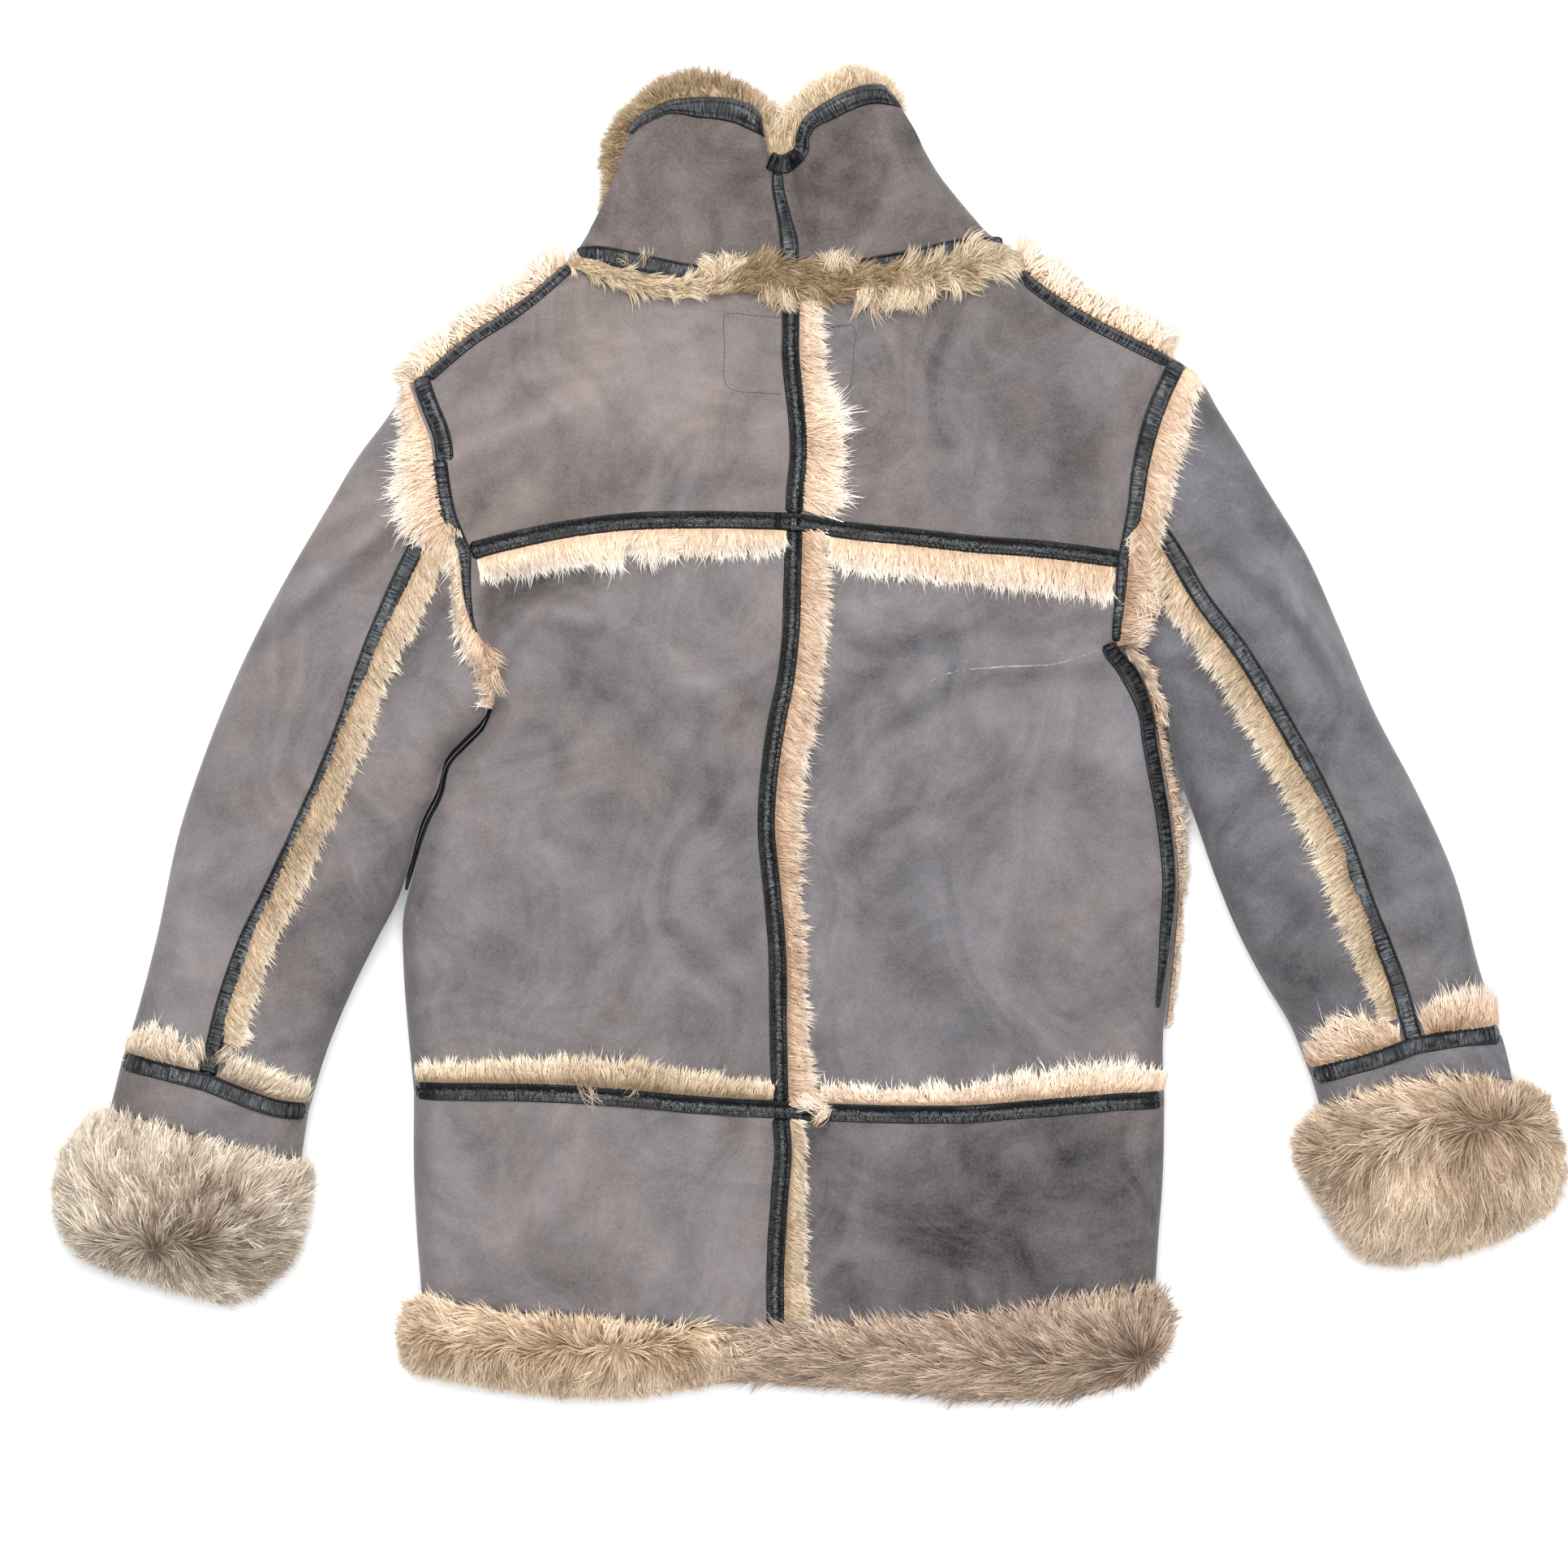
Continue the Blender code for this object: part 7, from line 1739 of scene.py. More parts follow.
def fur_strip(row, seed):
    """A strip of fur beside a tape."""
    name, path_name, start, end, side, reach, height, tones, leans, ragged, finish = row
    pile = Pile(seed)
    rng = pile.rng
    path = trimmed(PATHS[path_name], start, end)
    total = length_along(path)[-1]
    reach_at, tone_along, lean_at = (np.array(table, float).T for table in (reach, tones, leans))
    root_at = np.array(FUR_ROOTS.get(name, ((0, FUR_ROOT), (1, FUR_ROOT)))).T

    rows = max(int(total / 5), 8)
    shares = np.linspace(0, 1, rows)
    near = np.interp(shares, *root_at) - 0.8
    far = np.interp(shares, *reach_at) - 5.0
    columns = np.array((0.0, 0.12, 0.3, 0.5, 0.75, 1.0))
    plan = ribbon(path, [side * (near + (far - near) * column) for column in columns], rows)
    ground = read_raster(GROUND, plan)
    ends = np.clip(np.minimum(shares, 1 - shares) * total / 6, 0, 1)[:, None]
    swell = BED_SHARE * height * np.interp(columns, FUR_PROFILE_SHARES, BED_PROFILE) * ends
    swell = swell * (1 + 0.2 * unevenness(plan, 9.0, seed)) * np.clip((1 - columns) / 0.25, 0.05, 1)
    bed_tone = np.repeat(np.interp(shares, *tone_along) - 0.25, len(columns))
    pile.bed(lifted(plan, ground + 0.3 + swell), lifted(plan, ground + 0.1), np.tile(bed_tone, 2))

    count = int(total * reach_at[1].mean() * STRIP_HAIRS * STRAND_SHARE)
    along = rng.uniform(-0.01, 1.01, count)
    across = np.where(rng.uniform(0, 1, count) < 0.26, rng.uniform(-0.06, 0.05, count),
                      rng.uniform(0.0, 0.8, count))
    width = np.interp(along, *reach_at)
    base = np.interp(along, *root_at) + FUR_SETBACK
    depth = base + (width - base) * across
    middle = at(path, np.clip(along, 0, 1))
    ahead = heading(path, along)
    outward_run = side * left_of(ahead)
    roots = middle + outward_run * depth[:, None] + ahead * ((along - np.clip(along, 0, 1)) * total)[:, None]
    lean = np.interp(along, *lean_at) + 0.3 * unevenness(roots, 22.0, seed + 3)
    from_end = np.minimum(along, 1 - along) * total
    inward = np.where(along < 0.5, 1.0, -1.0)
    lean = np.where((from_end < 12) & (lean * inward < 0), lean * np.clip(from_end / 12, 0, 1), lean)
    flow = outward_run + ahead * lean[:, None]
    flow /= np.linalg.norm(flow, axis=1, keepdims=True)
    length = (width - depth) + 5.0 * rng.uniform(-0.2, 1.0, count)
    length += 5.0 * ragged * np.clip(unevenness(roots, 8.0, seed + 12), -0.4, 1)
    short = 11.0 * rng.uniform(0.6, 1.25, count)
    length = np.where(rng.uniform(0, 1, count) < 0.75, np.minimum(length, short), length)
    stray = rng.uniform(0, 1, count) < 0.03
    length = np.where(stray, (width - depth) * 1.1 + 6.0, length)
    plan, luck = combed(pile, roots, flow, length, clump=3.4, gather=0.45, spread=0.2 * ragged,
                        curl=0.3 * ragged, steps=4, ragged=ragged)
    share = np.linspace(0, 1, 4)[None]
    place = across[:, None] + (length / (width - base))[:, None] * share
    level = rng.uniform(0.55, 1.08, count)[:, None]
    ends = np.clip(from_end / 5, 0.35, 1)[:, None]
    pile_height = height * level * ends * np.interp(place, FUR_PROFILE_SHARES, FUR_PROFILE)
    z = read_raster(GROUND, plan) + 0.5 + pile_height
    tone = np.interp(along, *tone_along) + 0.24 * (luck - 0.5) + rng.normal(0, 0.08, count)
    tone += 0.2 * unevenness(roots, 13.0, seed + 9) + 0.25 * stray
    climb = 0.25 * share + np.interp(place, (0.2, 0.6, 1.0, 1.15), (0.05, 0.25, 0.75, 0.8))
    pile.hairs(lifted(plan, z), np.clip(tone, 0, 1), np.where(stray, 0.42, 0.68), np.clip(climb, 0, 1))
    add_tufts(pile, name)
    return pile.piece(name, FURS[finish], "cream_fur")


TUFT_HOMES = {
    "fur_neck": (-200, 200, 280, 330), "fur_centre_main": (-20, 12, -244, -225),
    "fur_centre_hem": (-20, 20, -262, -250), "fur_hip_left": (-160, -100, -236, -220),
    "fur_armhole_right": (200, 240, 5, 90), "fur_armhole_left": (-220, -200, 30, 60),
    "fur_yoke_left": (-115, -90, 115, 130), "fur_cuff_seam_left_outer": (-410, -395, -220, -200),
    "fur_cuff_seam_left_inner": (-390, -375, -220, -205), "fur_cuff_seam_right_inner": (340, 355, -210, -190),
}


def add_tufts(pile, name):
    """The tufts that grow out of one fur piece."""
    if name not in TUFT_HOMES:
        return
    low_across, high_across, low_up, high_up = TUFT_HOMES[name]
    rng = pile.rng
    for across, up, height, degrees, length, curl, width, tone, hairs in TUFTS:
        if not (low_across <= across <= high_across and low_up <= up <= high_up):
            continue
        loose = hairs < 30
        count = max(int((0.8 if loose else 1.2) * hairs * STRAND_SHARE), 6)
        angle = np.radians(degrees) + rng.normal(0, 0.4 if loose else 0.26, count)
        roots = np.array((across, up)) + rng.normal(0, width / 2.4, (count, 2))
        share = np.linspace(0, 1, 5)[None]
        reach = length * rng.uniform(0.5, 1.08, count)[:, None]
        turn = angle[:, None] + (1.7 * curl + rng.normal(0, 0.5 if loose else 0.25, count)[:, None]) * share
        step = reach / 4
        x = roots[:, :1] + np.cumsum(np.cos(turn) * step, axis=1) - np.cos(turn[:, :1]) * step
        y = roots[:, 1:] + np.cumsum(np.sin(turn) * step, axis=1) - np.sin(turn[:, :1]) * step
        plan = np.stack([x, y], axis=-1)
        group = rng.integers(0, max(hairs // 14, 1), count)
        for k in range(group.max() + 1):
            chosen = group == k
            centre = plan[chosen].mean(axis=0, keepdims=True)
            plan[chosen] += (centre - plan[chosen]) * ((0.4 if loose else 0.5) * share**1.3)[..., None]
        bow = np.sin(np.pi * np.clip(share * 0.85 + 0.1, 0, 1))
        z = read_raster(GROUND, plan) + 1.5 + height * bow * rng.uniform(0.5, 1.15, count)[:, None]
        pile.hairs(lifted(plan, z), np.clip(tone + rng.normal(0, 0.12, count), 0, 1), 0.26 if loose else 0.52)


def guided(guides, places):
    """Which way the hair runs at each place, how surely, and its tone, by the nearest guides."""
    table = np.array(guides, float)
    turn = np.radians(table[:, 2])
    gap = np.sum((places[:, None] - table[None, :, :2]) ** 2, axis=2)
    weight = 1 / (gap + 9.0) ** 2.2
    weight /= weight.sum(axis=1, keepdims=True)
    flow = weight @ np.stack([np.cos(turn), np.sin(turn)], axis=1)
    sure = np.linalg.norm(flow, axis=1)
    return flow / np.maximum(sure, 1e-6)[:, None], sure, weight @ table[:, 3]


def neck_fur():
    """The curly strip of fur over the neck seam."""
    pile = Pile(7)
    rng = pile.rng
    table = np.array(NECK_FUR, float)
    path = smooth(table[:, :2])
    widths = np.interp(np.linspace(0, 1, 60), np.linspace(0, 1, len(table)), table[:, 2])
    columns = np.linspace(-0.8, 0.8, 7)
    plan = ribbon(path, [share * widths for share in columns], 60)
    ground = read_raster(GROUND, plan)
    dome = np.sqrt(np.clip(1 - (columns / 0.85) ** 2, 0, 1))
    ends = np.clip(np.minimum(np.arange(60), 59 - np.arange(60)) / 5, 0.05, 1)[:, None]
    swell = 7.0 * dome * ends * (1 + 0.25 * unevenness(plan, 9.0, 4))
    pile.bed(lifted(plan, ground + 0.3 + swell), lifted(plan, ground + 0.1), 0.4)

    count = int(NECK_HAIRS * STRAND_SHARE)
    along = rng.uniform(0, 1, count)
    across = rng.uniform(-0.9, 0.9, count)
    middle = at(path, along)
    ahead = heading(path, along)
    left = left_of(ahead)
    half = np.interp(along, np.linspace(0, 1, len(table)), table[:, 2])
    roots = middle + left * (across * half)[:, None]
    flow, _, tone = guided(GUIDES_NECK, roots)
    curly = soft_step((along - 0.28) / 0.15)
    angle = np.arctan2(flow[:, 1], flow[:, 0]) + (0.12 + 0.75 * curly) * unevenness(roots, 12.0, 21)
    flow = np.stack([np.cos(angle), np.sin(angle)], axis=1)
    reach = rng.uniform(8, 15, count) * (0.85 + 0.3 * curly)
    plan, luck = combed(pile, roots, flow, reach, clump=5.0, gather=0.55, spread=0.25, curl=0.7, steps=4)
    share = np.linspace(0, 1, 4)[None]
    level = rng.uniform(0.45, 1.1, count)[:, None]
    end = np.clip(np.minimum(along, 1 - along) * 18, 0.3, 1)[:, None]
    z = read_raster(GROUND, plan) + 1.0 + (NECK_FUR_HEIGHT - 2) * level * end * np.interp(
        share, (0, 0.3, 0.65, 1), (0.6, 1.0, 0.75, 0.25)) * (1 - 0.4 * np.abs(across))[:, None]
    tone = 0.9 * tone - 0.2 + 0.42 * (1 - curly) + 0.35 * (luck - 0.5) + rng.normal(0, 0.1, count)
    tone -= 0.14 * np.exp(-((roots[:, 0] - 5.0) / 45.0) ** 2)
    pile.hairs(lifted(plan, z), np.clip(tone, 0, 1), 0.66)
    add_tufts(pile, "fur_neck")
    pile.piece("fur_neck", FURS["honey"], "cream_fur")


def hanging_fur(name, inner, outer, top, tone, seed, over=3.0):
    """Fur that hangs off an edge down to the floor, between an inner and an outer line."""
    pile = Pile(seed)
    rng = pile.rng
    total = length_along(inner)[-1]
    rows = max(int(total / 5), 10)
    shares = np.linspace(0, 1, rows)
    ends = np.clip(np.minimum(shares, 1 - shares) * total / 8, 0.15, 1)[:, None]
    columns = np.array((0.0, 0.35, 0.7))[None, :, None]
    near, far = at(inner, shares)[:, None], at(outer, shares)[:, None]
    plan = near * (1 - columns) + far * columns
    height = np.array((0.8, 0.72, 0.4)) * top * ends
    pile.bed(lifted(plan, height), lifted(plan, 0.1), tone - 0.1)

    width = np.linalg.norm(at(inner, 0.5) - at(outer, 0.5))
    count = int(total * (width + 8) * HANGING_HAIRS * STRAND_SHARE)
    along = rng.uniform(0, 1, count)
    across = rng.uniform(-0.15, 0.6, count)
    a, b = at(inner, along), at(outer, along)
    roots = a * (1 - across[:, None]) + b * across[:, None]
    flow = b - a
    reach = np.linalg.norm(flow, axis=1)
    flow /= reach[:, None]
    flow = turned(flow, 0.5 * unevenness(roots, 14.0, seed + 1))
    length = reach * (1 - across) * 1.02 + over * rng.uniform(-1.2, 1.2, count)
    length += 3.0 * unevenness(roots, 9.0, seed + 3)
    plan, luck = combed(pile, roots, flow, np.maximum(length, 3), clump=5.0, gather=0.6, spread=0.5,
                        curl=0.6, steps=4)
    share = np.linspace(0, 1, 4)[None]
    end = np.clip(np.minimum(along, 1 - along) * total / 10, 0.3, 1)[:, None]
    start_height = rng.uniform(0.5, 1.08, count)[:, None] * top * end
    start_height *= (1 - 0.35 * np.clip(across, 0, 1))[:, None]
    drop = rng.uniform(0.35, 0.95, (count, 1))
    z = start_height * (1 - drop * share**1.8) + 1.0
    value = tone + 0.2 * (luck - 0.5) + rng.normal(0, 0.08, count)
    climb = np.interp(across[:, None] + (1 - across[:, None]) * share, (0, 0.7, 1.1), (0.15, 0.6, 1))
    pile.hairs(lifted(plan, z), np.clip(value, 0, 1), 0.95, climb)
    pile.piece(name, FURS["peach"], "cream_fur")


def edge_furs():
    """Fur off the shoulder seams and the right side seam."""
    for name, path, start, end, clear, reach, tone, seed in (
        ("fur_shoulder_left", PATHS["shoulder_left"], 0.0, 8.0, SHOULDER_CLEARANCE_LEFT, 17.0, 0.8, 31),
        ("fur_shoulder_right", PATHS["shoulder_right"], 8.0, 5.0, SHOULDER_CLEARANCE_RIGHT, 20.0, 0.85, 32),
    ):
        path = trimmed(path, start, end)
        if name == "fur_shoulder_left":
            path = np.vstack([SHOULDER_CORNER, path])
        hanging_fur(name, moved_aside(path, clear), moved_aside(path, reach), 27.0, tone, seed)
    hanging_fur("fur_side_right", smooth(SIDE_FUR_INNER), smooth(SIDE_FUR_OUTER), 26.0, 0.6, 33, over=2.0)


def deep_height(places, free_edges, root_edge, level, reach, outline):
    """Height of a deep fur band's surface at any place, falling off past its outline."""
    free = np.min([distance_to(edge, places) for edge in free_edges], axis=0)
    within = inside(outline, places)
    from_root = distance_to(root_edge, places)
    height = FUR_ROOT_LEVEL + (level - FUR_ROOT_LEVEL) * soft_step(from_root / (0.6 * reach))
    remaining = 1 - np.clip(free / reach, 0, 1)
    rise = EDGE_STEP + (1 - EDGE_STEP) * (1 - remaining**EDGE_CURVE)
    inner = LAYER_MEET + (height - LAYER_MEET) * rise
    outer = LAYER_MEET + 3.0 - 1.2 * free
    behind = np.minimum(inner, height)
    past_root = from_root < free
    return np.where(within, inner, np.where(past_root, behind, np.maximum(outer, 6.0)))


def kept_within(roots, flow, length, depth_raster, over):
    """Hair lengths cut so that each tip ends a given way past the outline at most."""
    shares = np.linspace(0.15, 1, 9)
    kept = length.copy()
    out = np.zeros(len(roots), bool)
    for share in shares:
        spots = roots + flow * (length * share)[:, None]
        past = read_raster(depth_raster, spots) < -over
        first = past & ~out
        kept[first] = length[first] * (share - 0.05)
        out |= past
    return kept


def deep_fur(name, grid, free_edges, root_edge, level, reach, guides, look, seed, whole_outline=None,
             rims=None):
    """A deep fur band: its bed, the hairs over it and those round its free edges."""
    pile = Pile(seed)
    rng = pile.rng
    outline = join(grid[0], grid[:, -1], grid[-1][::-1], grid[::-1, 0])
    whole_outline = outline if whole_outline is None else whole_outline
    middle = grid.reshape(-1, 2).mean(axis=0)
    bed_plan = middle + (grid - middle) * look["bed"]
    places = bed_plan.reshape(-1, 2)
    heights = raster_of(lambda spots: deep_height(spots, free_edges, root_edge, level, reach,
                                                  whole_outline), grid)
    edges = [*free_edges, root_edge]
    depths = raster_of(lambda spots: np.min([distance_to(edge, spots) for edge in edges], axis=0)
                       * np.where(inside(whole_outline, spots), 1, -1), grid)
    top = read_raster(heights, bed_plan)
    top = np.maximum(top - look["bed_drop"] + 1.5 * unevenness(bed_plan, 13.0, seed), 12.0)
    bottom_rise = 8.0 * (1 - np.clip(np.min([distance_to(edge, places) for edge in free_edges], axis=0)
                                     .reshape(top.shape) / 14.0, 0, 1))
    pile.bed(lifted(bed_plan, top), lifted(bed_plan, 0.1 + bottom_rise), look["bed_tone"])

    low, high = grid.reshape(-1, 2).min(axis=0) - 2, grid.reshape(-1, 2).max(axis=0) + 2
    tries = int(np.prod(high - low) * look["density"] * STRAND_SHARE)
    spots = rng.uniform(low, high, (tries, 2))
    spots = spots[inside(outline, spots)]
    flow, sure, guide_tone = guided(guides, spots)
    angle = np.arctan2(flow[:, 1], flow[:, 0]) + look["swirl"] * unevenness(spots, 17.0, seed + 2)
    angle += 2.4 * np.clip(0.85 - sure, 0, 1) * unevenness(spots, 11.0, seed + 4)
    flow = np.stack([np.cos(angle), np.sin(angle)], axis=1)
    length = look["length"] * rng.uniform(0.75, 1.1, len(spots)) * (0.6 + 0.4 * sure)
    at_root = distance_to(root_edge, spots) < 24
    over_root = rng.uniform(-3, 1, len(spots)) + look["overlap"] * rng.uniform(0, 1, len(spots)) ** 3
    over = np.where(at_root, over_root, rng.uniform(-5, 2.5, len(spots)))
    length = kept_within(spots, flow, length, depths, over)
    long_enough = length > rng.uniform(3, 9, len(spots))
    spots, flow, length, sure, guide_tone = (
        values[long_enough] for values in (spots, flow, length, sure, guide_tone))
    plan, luck = combed(pile, spots, flow, length, clump=look["clump"], gather=0.6, spread=look["spread"],
                        curl=look["curl"], steps=4, ragged=0.5)
    count = len(spots)
    share = np.linspace(0, 1, 4)[None]
    z = read_raster(heights, plan)
    sunk = rng.uniform(-4.5, 0.5, count)[:, None]
    bow = np.sin(np.pi * np.clip(share * 0.8 + 0.05, 0, 1))
    lift = look["lift"] * bow * rng.uniform(0.3, 1.2, (count, 1))
    z = np.minimum(z + sunk + lift - 2.0, level + 1.5)
    tone = guide_tone + 0.75 * (luck - 0.5) + rng.normal(0, 0.08, count) + look["paler"]
    tone = tone + look["patchy"] * unevenness(spots, 20.0, seed + 6)
    tone = tone - look["dark"] * np.clip(0.9 - sure, 0, 1)
    # Hair near the free edges is painted paler, a painted highlight where the rim glows in the light.
    tone = tone + look["rim_light"] * np.exp(-np.clip(read_raster(depths, spots), 0, None) / 9.0)
    pile.hairs(lifted(plan, z), np.clip(tone, 0, 1), look["width"])

    for edge in rims or free_edges:
        total = length_along(edge)[-1]
        count = int(total * RIM_HAIRS * STRAND_SHARE)
        shares = rng.uniform(0, 1, count)
        base = at(edge, shares)
        normal = left_of(heading(edge, shares, 0.02))
        flip = np.sign(np.sum((base - middle) * normal, axis=1))
        normal *= flip[:, None]
        inward = rng.uniform(5, 12, count)
        roots = base - normal * inward[:, None]
        plan, luck = combed(pile, roots, normal, inward + rng.uniform(-3, 2.5, count), clump=5.0, gather=0.5,
                            spread=0.45, curl=0.5, steps=4, ragged=0.2)
        height = rng.uniform(1.5, 27.0, count)[:, None]
        z = height + rng.normal(0, 4.0, count)[:, None] * share - 2.5 * share**2
        z += 2.5 * unevenness(np.concatenate([base, height], axis=1)[:, 1:], 8.0, seed + 8)[:, None] * share
        tone = 0.9 + look["paler"] + 0.3 * (luck - 0.5)
        pile.hairs(lifted(plan, np.maximum(z, 0.5)), np.clip(tone, 0, 1), look["width"])
    return pile.piece(name, FURS[look["finish"]], "brown_fur")


def raster_of(function, grid):
    """A local raster of a height function round a plan grid."""
    low = grid.reshape(-1, 2).min(axis=0) - LOCAL_MARGIN
    high = grid.reshape(-1, 2).max(axis=0) + LOCAL_MARGIN
    shape = np.ceil((high - low) / LOCAL_STEP).astype(int) + 1
    i, j = np.meshgrid(np.arange(shape[0]), np.arange(shape[1]), indexing="ij")
    places = np.stack([i, j], axis=-1).reshape(-1, 2) * LOCAL_STEP + low
    return low, LOCAL_STEP, function(places).reshape(shape)


# The rim value paints the hair near the free edges paler, a painted highlight.
LOOK_CUFF = {"bed": (0.88, 0.86), "bed_tone": 0.3, "bed_drop": 5.0, "density": 1.0, "swirl": 0.36,
             "length": 27.0, "clump": 5.5, "spread": 0.22, "curl": 0.34, "lift": 5.0, "paler": -0.02,
             "patchy": 0.28, "dark": 0.3, "rim_light": 0.5, "width": 0.78, "overlap": 6.0, "finish": "taupe"}
LOOK_CUFF_RIGHT = {**LOOK_CUFF, "length": 31.0, "swirl": 0.2, "finish": "tan", "paler": -0.14}
LOOK_HEM_LEFT = {**LOOK_CUFF, "bed": (0.98, 0.8), "density": 1.05, "length": 22.0, "clump": 5.0, "lift": 4.0,
                 "overlap": 5.0, "finish": "fawn", "paler": -0.04}
LOOK_HEM_RIGHT = {**LOOK_HEM_LEFT, "length": 26.0, "swirl": 0.2, "overlap": 11.0, "finish": "umber",
                  "paler": -0.15}


def cuff_fur(side, table_end, table_left, table_right, guides, look, seed):
    """The deep fur tube at a sleeve's end."""
    left_edge, right_edge = smooth(table_left)[::-1], smooth(table_right)[::-1]
    cuff_end = at(PATHS[f"cuff_{side}_end"], np.linspace(0, 1, 20))
    root = np.vstack([left_edge[-1:], cuff_end, right_edge[-1:]])
    end_line = smooth(table_end)
    rows = np.linspace(0, 1, 18)
    grid = coons(at(end_line, shares_of(root)), root, at(left_edge, rows), at(right_edge, rows))
    deep_fur("fur_cuff_" + side, grid, (end_line, left_edge, right_edge), root, FUR_CUFF_LEVEL,
             FUR_CUFF_ROUND, guides, look, seed)


def hem_fur(side, end_line, side_edge, guides, look, seed):
    """Half of the deep fur round the hem."""
    hem_left, hem_right = cut_at(PATHS["hem"], FRONT_OPENING[-1][0])
    hem_line = hem_left[::-1] if side == "left" else hem_right
    root = np.vstack([hem_line, side_edge[:1]])
    split = np.stack([end_line[0], root[0]])
    across = np.linspace(0, 1, 40)
    rows = np.linspace(0, 1, 12)
    grid = coons(at(end_line, across), at(root, across), at(split, rows), at(side_edge[::-1], rows))
    whole = np.vstack([smooth(FUR_HEM_SIDE_LEFT), smooth(FUR_HEM_END_LEFT)[::-1], smooth(FUR_HEM_END_RIGHT),
                       smooth(FUR_HEM_SIDE_RIGHT)[::-1], PATHS["hem"][::-1]])
    ends = (smooth(FUR_HEM_END_LEFT), smooth(FUR_HEM_END_RIGHT), side_edge)
    hem_whole = np.vstack([smooth(FUR_HEM_SIDE_LEFT)[:1], PATHS["hem"], smooth(FUR_HEM_SIDE_RIGHT)[:1]])
    deep_fur("fur_hem_" + side, grid, ends, hem_whole, FUR_HEM_LEVEL, FUR_HEM_ROUND, guides, look, seed,
             whole, (end_line, side_edge))


def collar_fur():
    """The collar's inner fur, that shows past its top edge and in the dip."""
    pile = Pile(51)
    rng = pile.rng
    table = np.array(COLLAR_FUR, float)
    root, tip, depth = table[:, 0:2], table[:, 2:4], table[:, 4]
    fine = np.linspace(0, 1, 70)
    knots = np.linspace(0, 1, len(table))
    roots_line = np.stack([np.interp(fine, knots, root[:, axis]) for axis in (0, 1)], axis=-1)
    tips_line = np.stack([np.interp(fine, knots, tip[:, axis]) for axis in (0, 1)], axis=-1)
    fine_depth = np.interp(fine, knots, depth)[:, None]
    columns = np.array((0.0, 0.3, 0.55, 0.75))[None, :, None]
    plan = roots_line[:, None] * (1 - columns) + tips_line[:, None] * columns
    top = LAYER_MEET + fine_depth * np.array((7.5, 8.0, 11.0, 6.0))
    bottom = LAYER_MEET - fine_depth * np.array((11.0, 11.5, 12.0, 6.0))
    pile.bed(lifted(plan, top), lifted(plan, bottom), 0.35)

    count = int(COLLAR_HAIRS * STRAND_SHARE)
    along = rng.uniform(0, 1, count)
    across = rng.uniform(0.0, 0.75, count)
    a = np.stack([np.interp(along, knots, root[:, axis]) for axis in (0, 1)], axis=-1)
    b = np.stack([np.interp(along, knots, tip[:, axis]) for axis in (0, 1)], axis=-1)
    full = np.interp(along, knots, depth)
    roots = a * (1 - across[:, None]) + b * across[:, None]
    flow = b - a
    reach = np.linalg.norm(flow, axis=1)
    flow /= reach[:, None]
    flow = turned(flow, 0.5 * unevenness(roots, 12.0, 53))
    length = np.minimum((reach * (1 - across)) + rng.uniform(-3.0, 2.5, count), 26.0)
    plan, luck = combed(pile, roots, flow, np.maximum(length, 4), clump=4.5, gather=0.5, spread=0.3, curl=0.4,
                        steps=4, ragged=0.3)
    share = np.linspace(0, 1, 4)[None]
    layer = np.sign(rng.uniform(-1, 1, count)) * rng.uniform(0, 1, count) ** 0.6
    place = across[:, None] + (1 - across[:, None]) * share
    spread = np.interp(place, (0, 0.35, 0.6, 0.85, 1.1), (7.0, 8.0, 14.0, 11.0, 5.0))
    z = LAYER_MEET + full[:, None] * layer[:, None] * spread - 1.0 * share
    tone = np.interp(along, *np.array(COLLAR_TONES).T)
    tone = tone + 0.2 * (luck - 0.5) + rng.normal(0, 0.08, count)
    pile.hairs(lifted(plan, np.maximum(z, 0.5)), np.clip(tone, 0, 1), 0.7)
    pile.piece("fur_collar", FURS["honey"], "cream_fur")


for number, strip in enumerate(FUR_STRIPS):
    fur_strip(strip, 100 + 7 * number)
neck_fur()
edge_furs()
collar_fur()
cuff_fur("left", FUR_CUFF_LEFT_END, FUR_CUFF_LEFT_OUTER, FUR_CUFF_LEFT_INNER, GUIDES_CUFF_LEFT, LOOK_CUFF, 81)
cuff_fur("right", FUR_CUFF_RIGHT_END, FUR_CUFF_RIGHT_INNER, FUR_CUFF_RIGHT_OUTER, GUIDES_CUFF_RIGHT,
         LOOK_CUFF_RIGHT, 82)
hem_fur("left", smooth(FUR_HEM_END_LEFT), smooth(FUR_HEM_SIDE_LEFT), GUIDES_HEM_LEFT, LOOK_HEM_LEFT, 83)
hem_fur("right", smooth(FUR_HEM_END_RIGHT), smooth(FUR_HEM_SIDE_RIGHT), GUIDES_HEM_RIGHT, LOOK_HEM_RIGHT, 84)


def bead(path, half_width, rise, sink, fullness=1.0):
    """Points and triangles of a thin raised line along a path, as full as given along it."""
    count = len(path)
    full = np.ones(count) * fullness
    ahead = np.gradient(path[:, :2], axis=0)
    ahead /= np.linalg.norm(ahead, axis=1, keepdims=True)
    aside = np.stack([-ahead[:, 1], ahead[:, 0], np.zeros(count)], axis=1) * (half_width * full)[:, None]
    low = np.array((0.0, 0.0, -sink))
    high = np.array((0.0, 0.0, rise)) * full[:, None]
    points = np.vstack([path - aside + low, path + high, path + aside + low])
    rows = np.arange(count - 1)
    faces = [((0, 2 * count, count), (count - 1, 2 * count - 1, 3 * count - 1))]
    for first, second in ((0, 1), (1, 2), (2, 0)):
        a, b = first * count + rows, second * count + rows
        faces += [np.stack([a, b, b + 1], axis=1), np.stack([a, b + 1, a + 1], axis=1)]
    return points, np.vstack(faces)


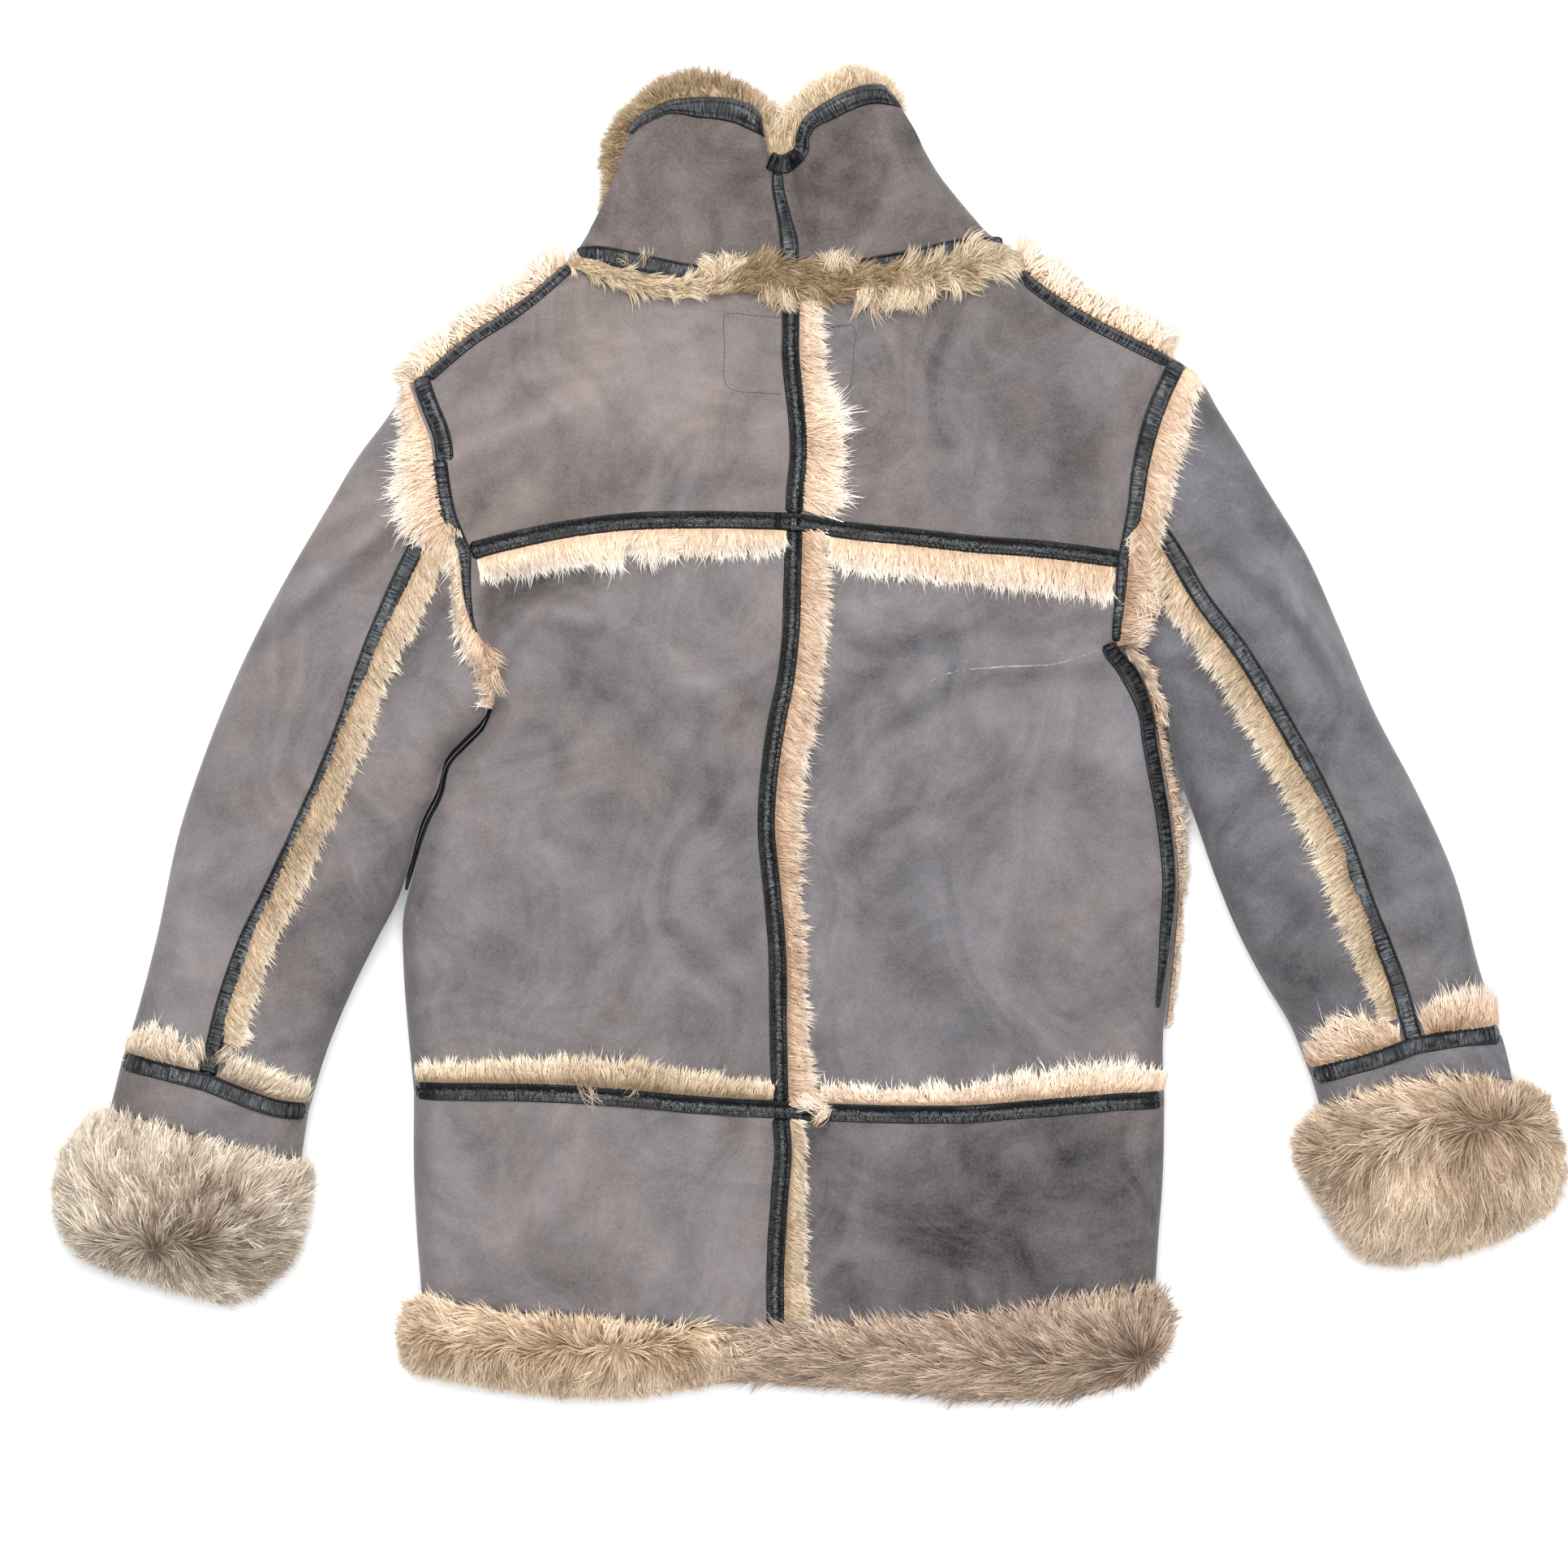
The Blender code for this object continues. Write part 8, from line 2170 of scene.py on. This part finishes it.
def label_outline(material):
    """The stitched outline that a label on the inside leaves on the yoke."""
    rng = np.random.default_rng(5)
    points = []
    faces = []
    start = 0
    for line, passes in ((LABEL_LEFT, 1), (LABEL_RIGHT, 1), (LABEL_DASH, 3)):
        path = smooth(line, 6)
        line_points, line_faces = bead(lifted(path, surface(path)), *LABEL_BEAD)
        points.append(line_points)
        faces.append(line_faces + start)
        start += len(line_points)
        for _ in range(passes):
            sewn, corners = stitches(lifted(path, surface(path) - 0.05 + 0.1 * passes), rng)
            points.append(sewn)
            faces.append(corners + start)
            start += len(sewn)
    faces = np.vstack(faces)
    piece = new_piece("label_stitching", np.vstack(points), faces.ravel(), np.full(len(faces), 3), [material])
    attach(piece, "root")
    return piece


def fold_edge(material):
    """The edge of the fold that runs in from under the right arm: a raised line in a painted highlight."""
    path = smooth(FOLD_EDGE, 8)
    full = np.sin(np.pi * np.linspace(0.02, 0.9, len(path))) ** 0.6
    points, faces = bead(lifted(path, surface(path)), *FOLD_BEAD, full)
    piece = new_piece("fold_edge", points, faces.ravel(), np.full(len(faces), 3), [material])
    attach(piece, "root")
    return piece


def side_tape_and_shadow_left():
    """A black leather strip deep in the slit between the sleeve and the body: the left side seam's tape, and
    a dark fill that stands in for the slit's deep shadow.
    """
    path = smooth(SIDE_SLIT, 8)
    full = np.interp(np.linspace(0, 1, len(path)), (0, 0.1, 0.7, 1), (0.5, 1.0, 1.0, 0.3))
    points, faces = bead(lifted(path, SIDE_TAPE_HEIGHT), *SIDE_TAPE_BEAD, full)
    piece = new_piece("side_tape_and_shadow_left", points, faces.ravel(), np.full(len(faces), 3), [LEATHER])
    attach(piece, "root")
    return piece


def fold_highlight_material():
    """Suede painted pale along a fold's crest: a painted highlight."""
    material, tree, shader = new_material("painted_highlight_suede")
    shade = noise(tree, 160.0, 3.0, 0.6)
    # Painted highlight: paler than the suede round it, where the fold's crest catches the light.
    colour = mixed(tree, between(tree, shade, 0.3, 0.7), (0.21, 0.185, 0.182), (0.34, 0.305, 0.3))
    tree.links.new(colour, shader.inputs["Base Color"])
    shader.inputs["Roughness"].default_value = 0.95
    shader.inputs["Specular IOR Level"].default_value = 0.1
    return material


def label_thread_material():
    """Taupe thread, a little darker than the suede."""
    material, tree, shader = new_material("label_thread")
    shade = noise(tree, 900.0, 2.0, 0.5)
    colour = mixed(tree, shade, (0.035, 0.03, 0.029), (0.08, 0.07, 0.067))
    tree.links.new(colour, shader.inputs["Base Color"])
    shader.inputs["Roughness"].default_value = 0.8
    return material


fold_edge(fold_highlight_material())
side_tape_and_shadow_left()
label_outline(label_thread_material())


def studio():
    """A white floor, soft lights and a camera straight above."""
    half = STAGE_SIZE / 2
    corners = np.array(((-half, -half, 0), (half, -half, 0), (half, half, 0), (-half, half, 0))) / MILLIMETRE
    floor_material, tree, shader = new_material("floor")
    cloud = noise(tree, 3.0, 2.0, 0.5)
    tree.links.new(mixed(tree, cloud, (0.9, 0.905, 0.905), (0.915, 0.915, 0.91)), shader.inputs["Base Color"])
    shader.inputs["Roughness"].default_value = 0.7
    shader.inputs["Specular IOR Level"].default_value = 0.1
    floor = new_piece("studio_floor", corners, np.arange(4), np.array([4]), [floor_material])

    world = bpy.data.worlds.new("studio")
    world.use_nodes = True
    background = world.node_tree.nodes["Background"]
    background.inputs["Color"].default_value = (0.9, 0.95, 1.0, 1.0)
    background.inputs["Strength"].default_value = 0.42
    bpy.context.scene.world = world
    for name, place, size, power, colour in LIGHTS:
        light = bpy.data.lights.new(name, "AREA")
        light.size = size
        light.energy = power
        light.color = colour
        lamp = bpy.data.objects.new(name, light)
        lamp.location = place
        aim = Vector((0.0, 0.0, 0.0)) - Vector(place)
        lamp.rotation_euler = aim.to_track_quat("-Z", "Y").to_euler()
        bpy.context.scene.collection.objects.link(lamp)

    camera = bpy.data.cameras.new("camera")
    camera.lens = LENS
    camera.sensor_width = SENSOR
    camera.clip_end = 50.0
    eye = bpy.data.objects.new("camera", camera)
    eye.location = (*VIEW_MIDDLE, VIEW_HEIGHT + VIEW_SQUARE * LENS / SENSOR)
    bpy.context.scene.collection.objects.link(eye)
    bpy.context.scene.camera = eye
    settings = bpy.context.scene.view_settings
    settings.view_transform = "Standard"
    settings.look = "None"
    settings.exposure = 0.0
    settings.gamma = 1.0


studio()
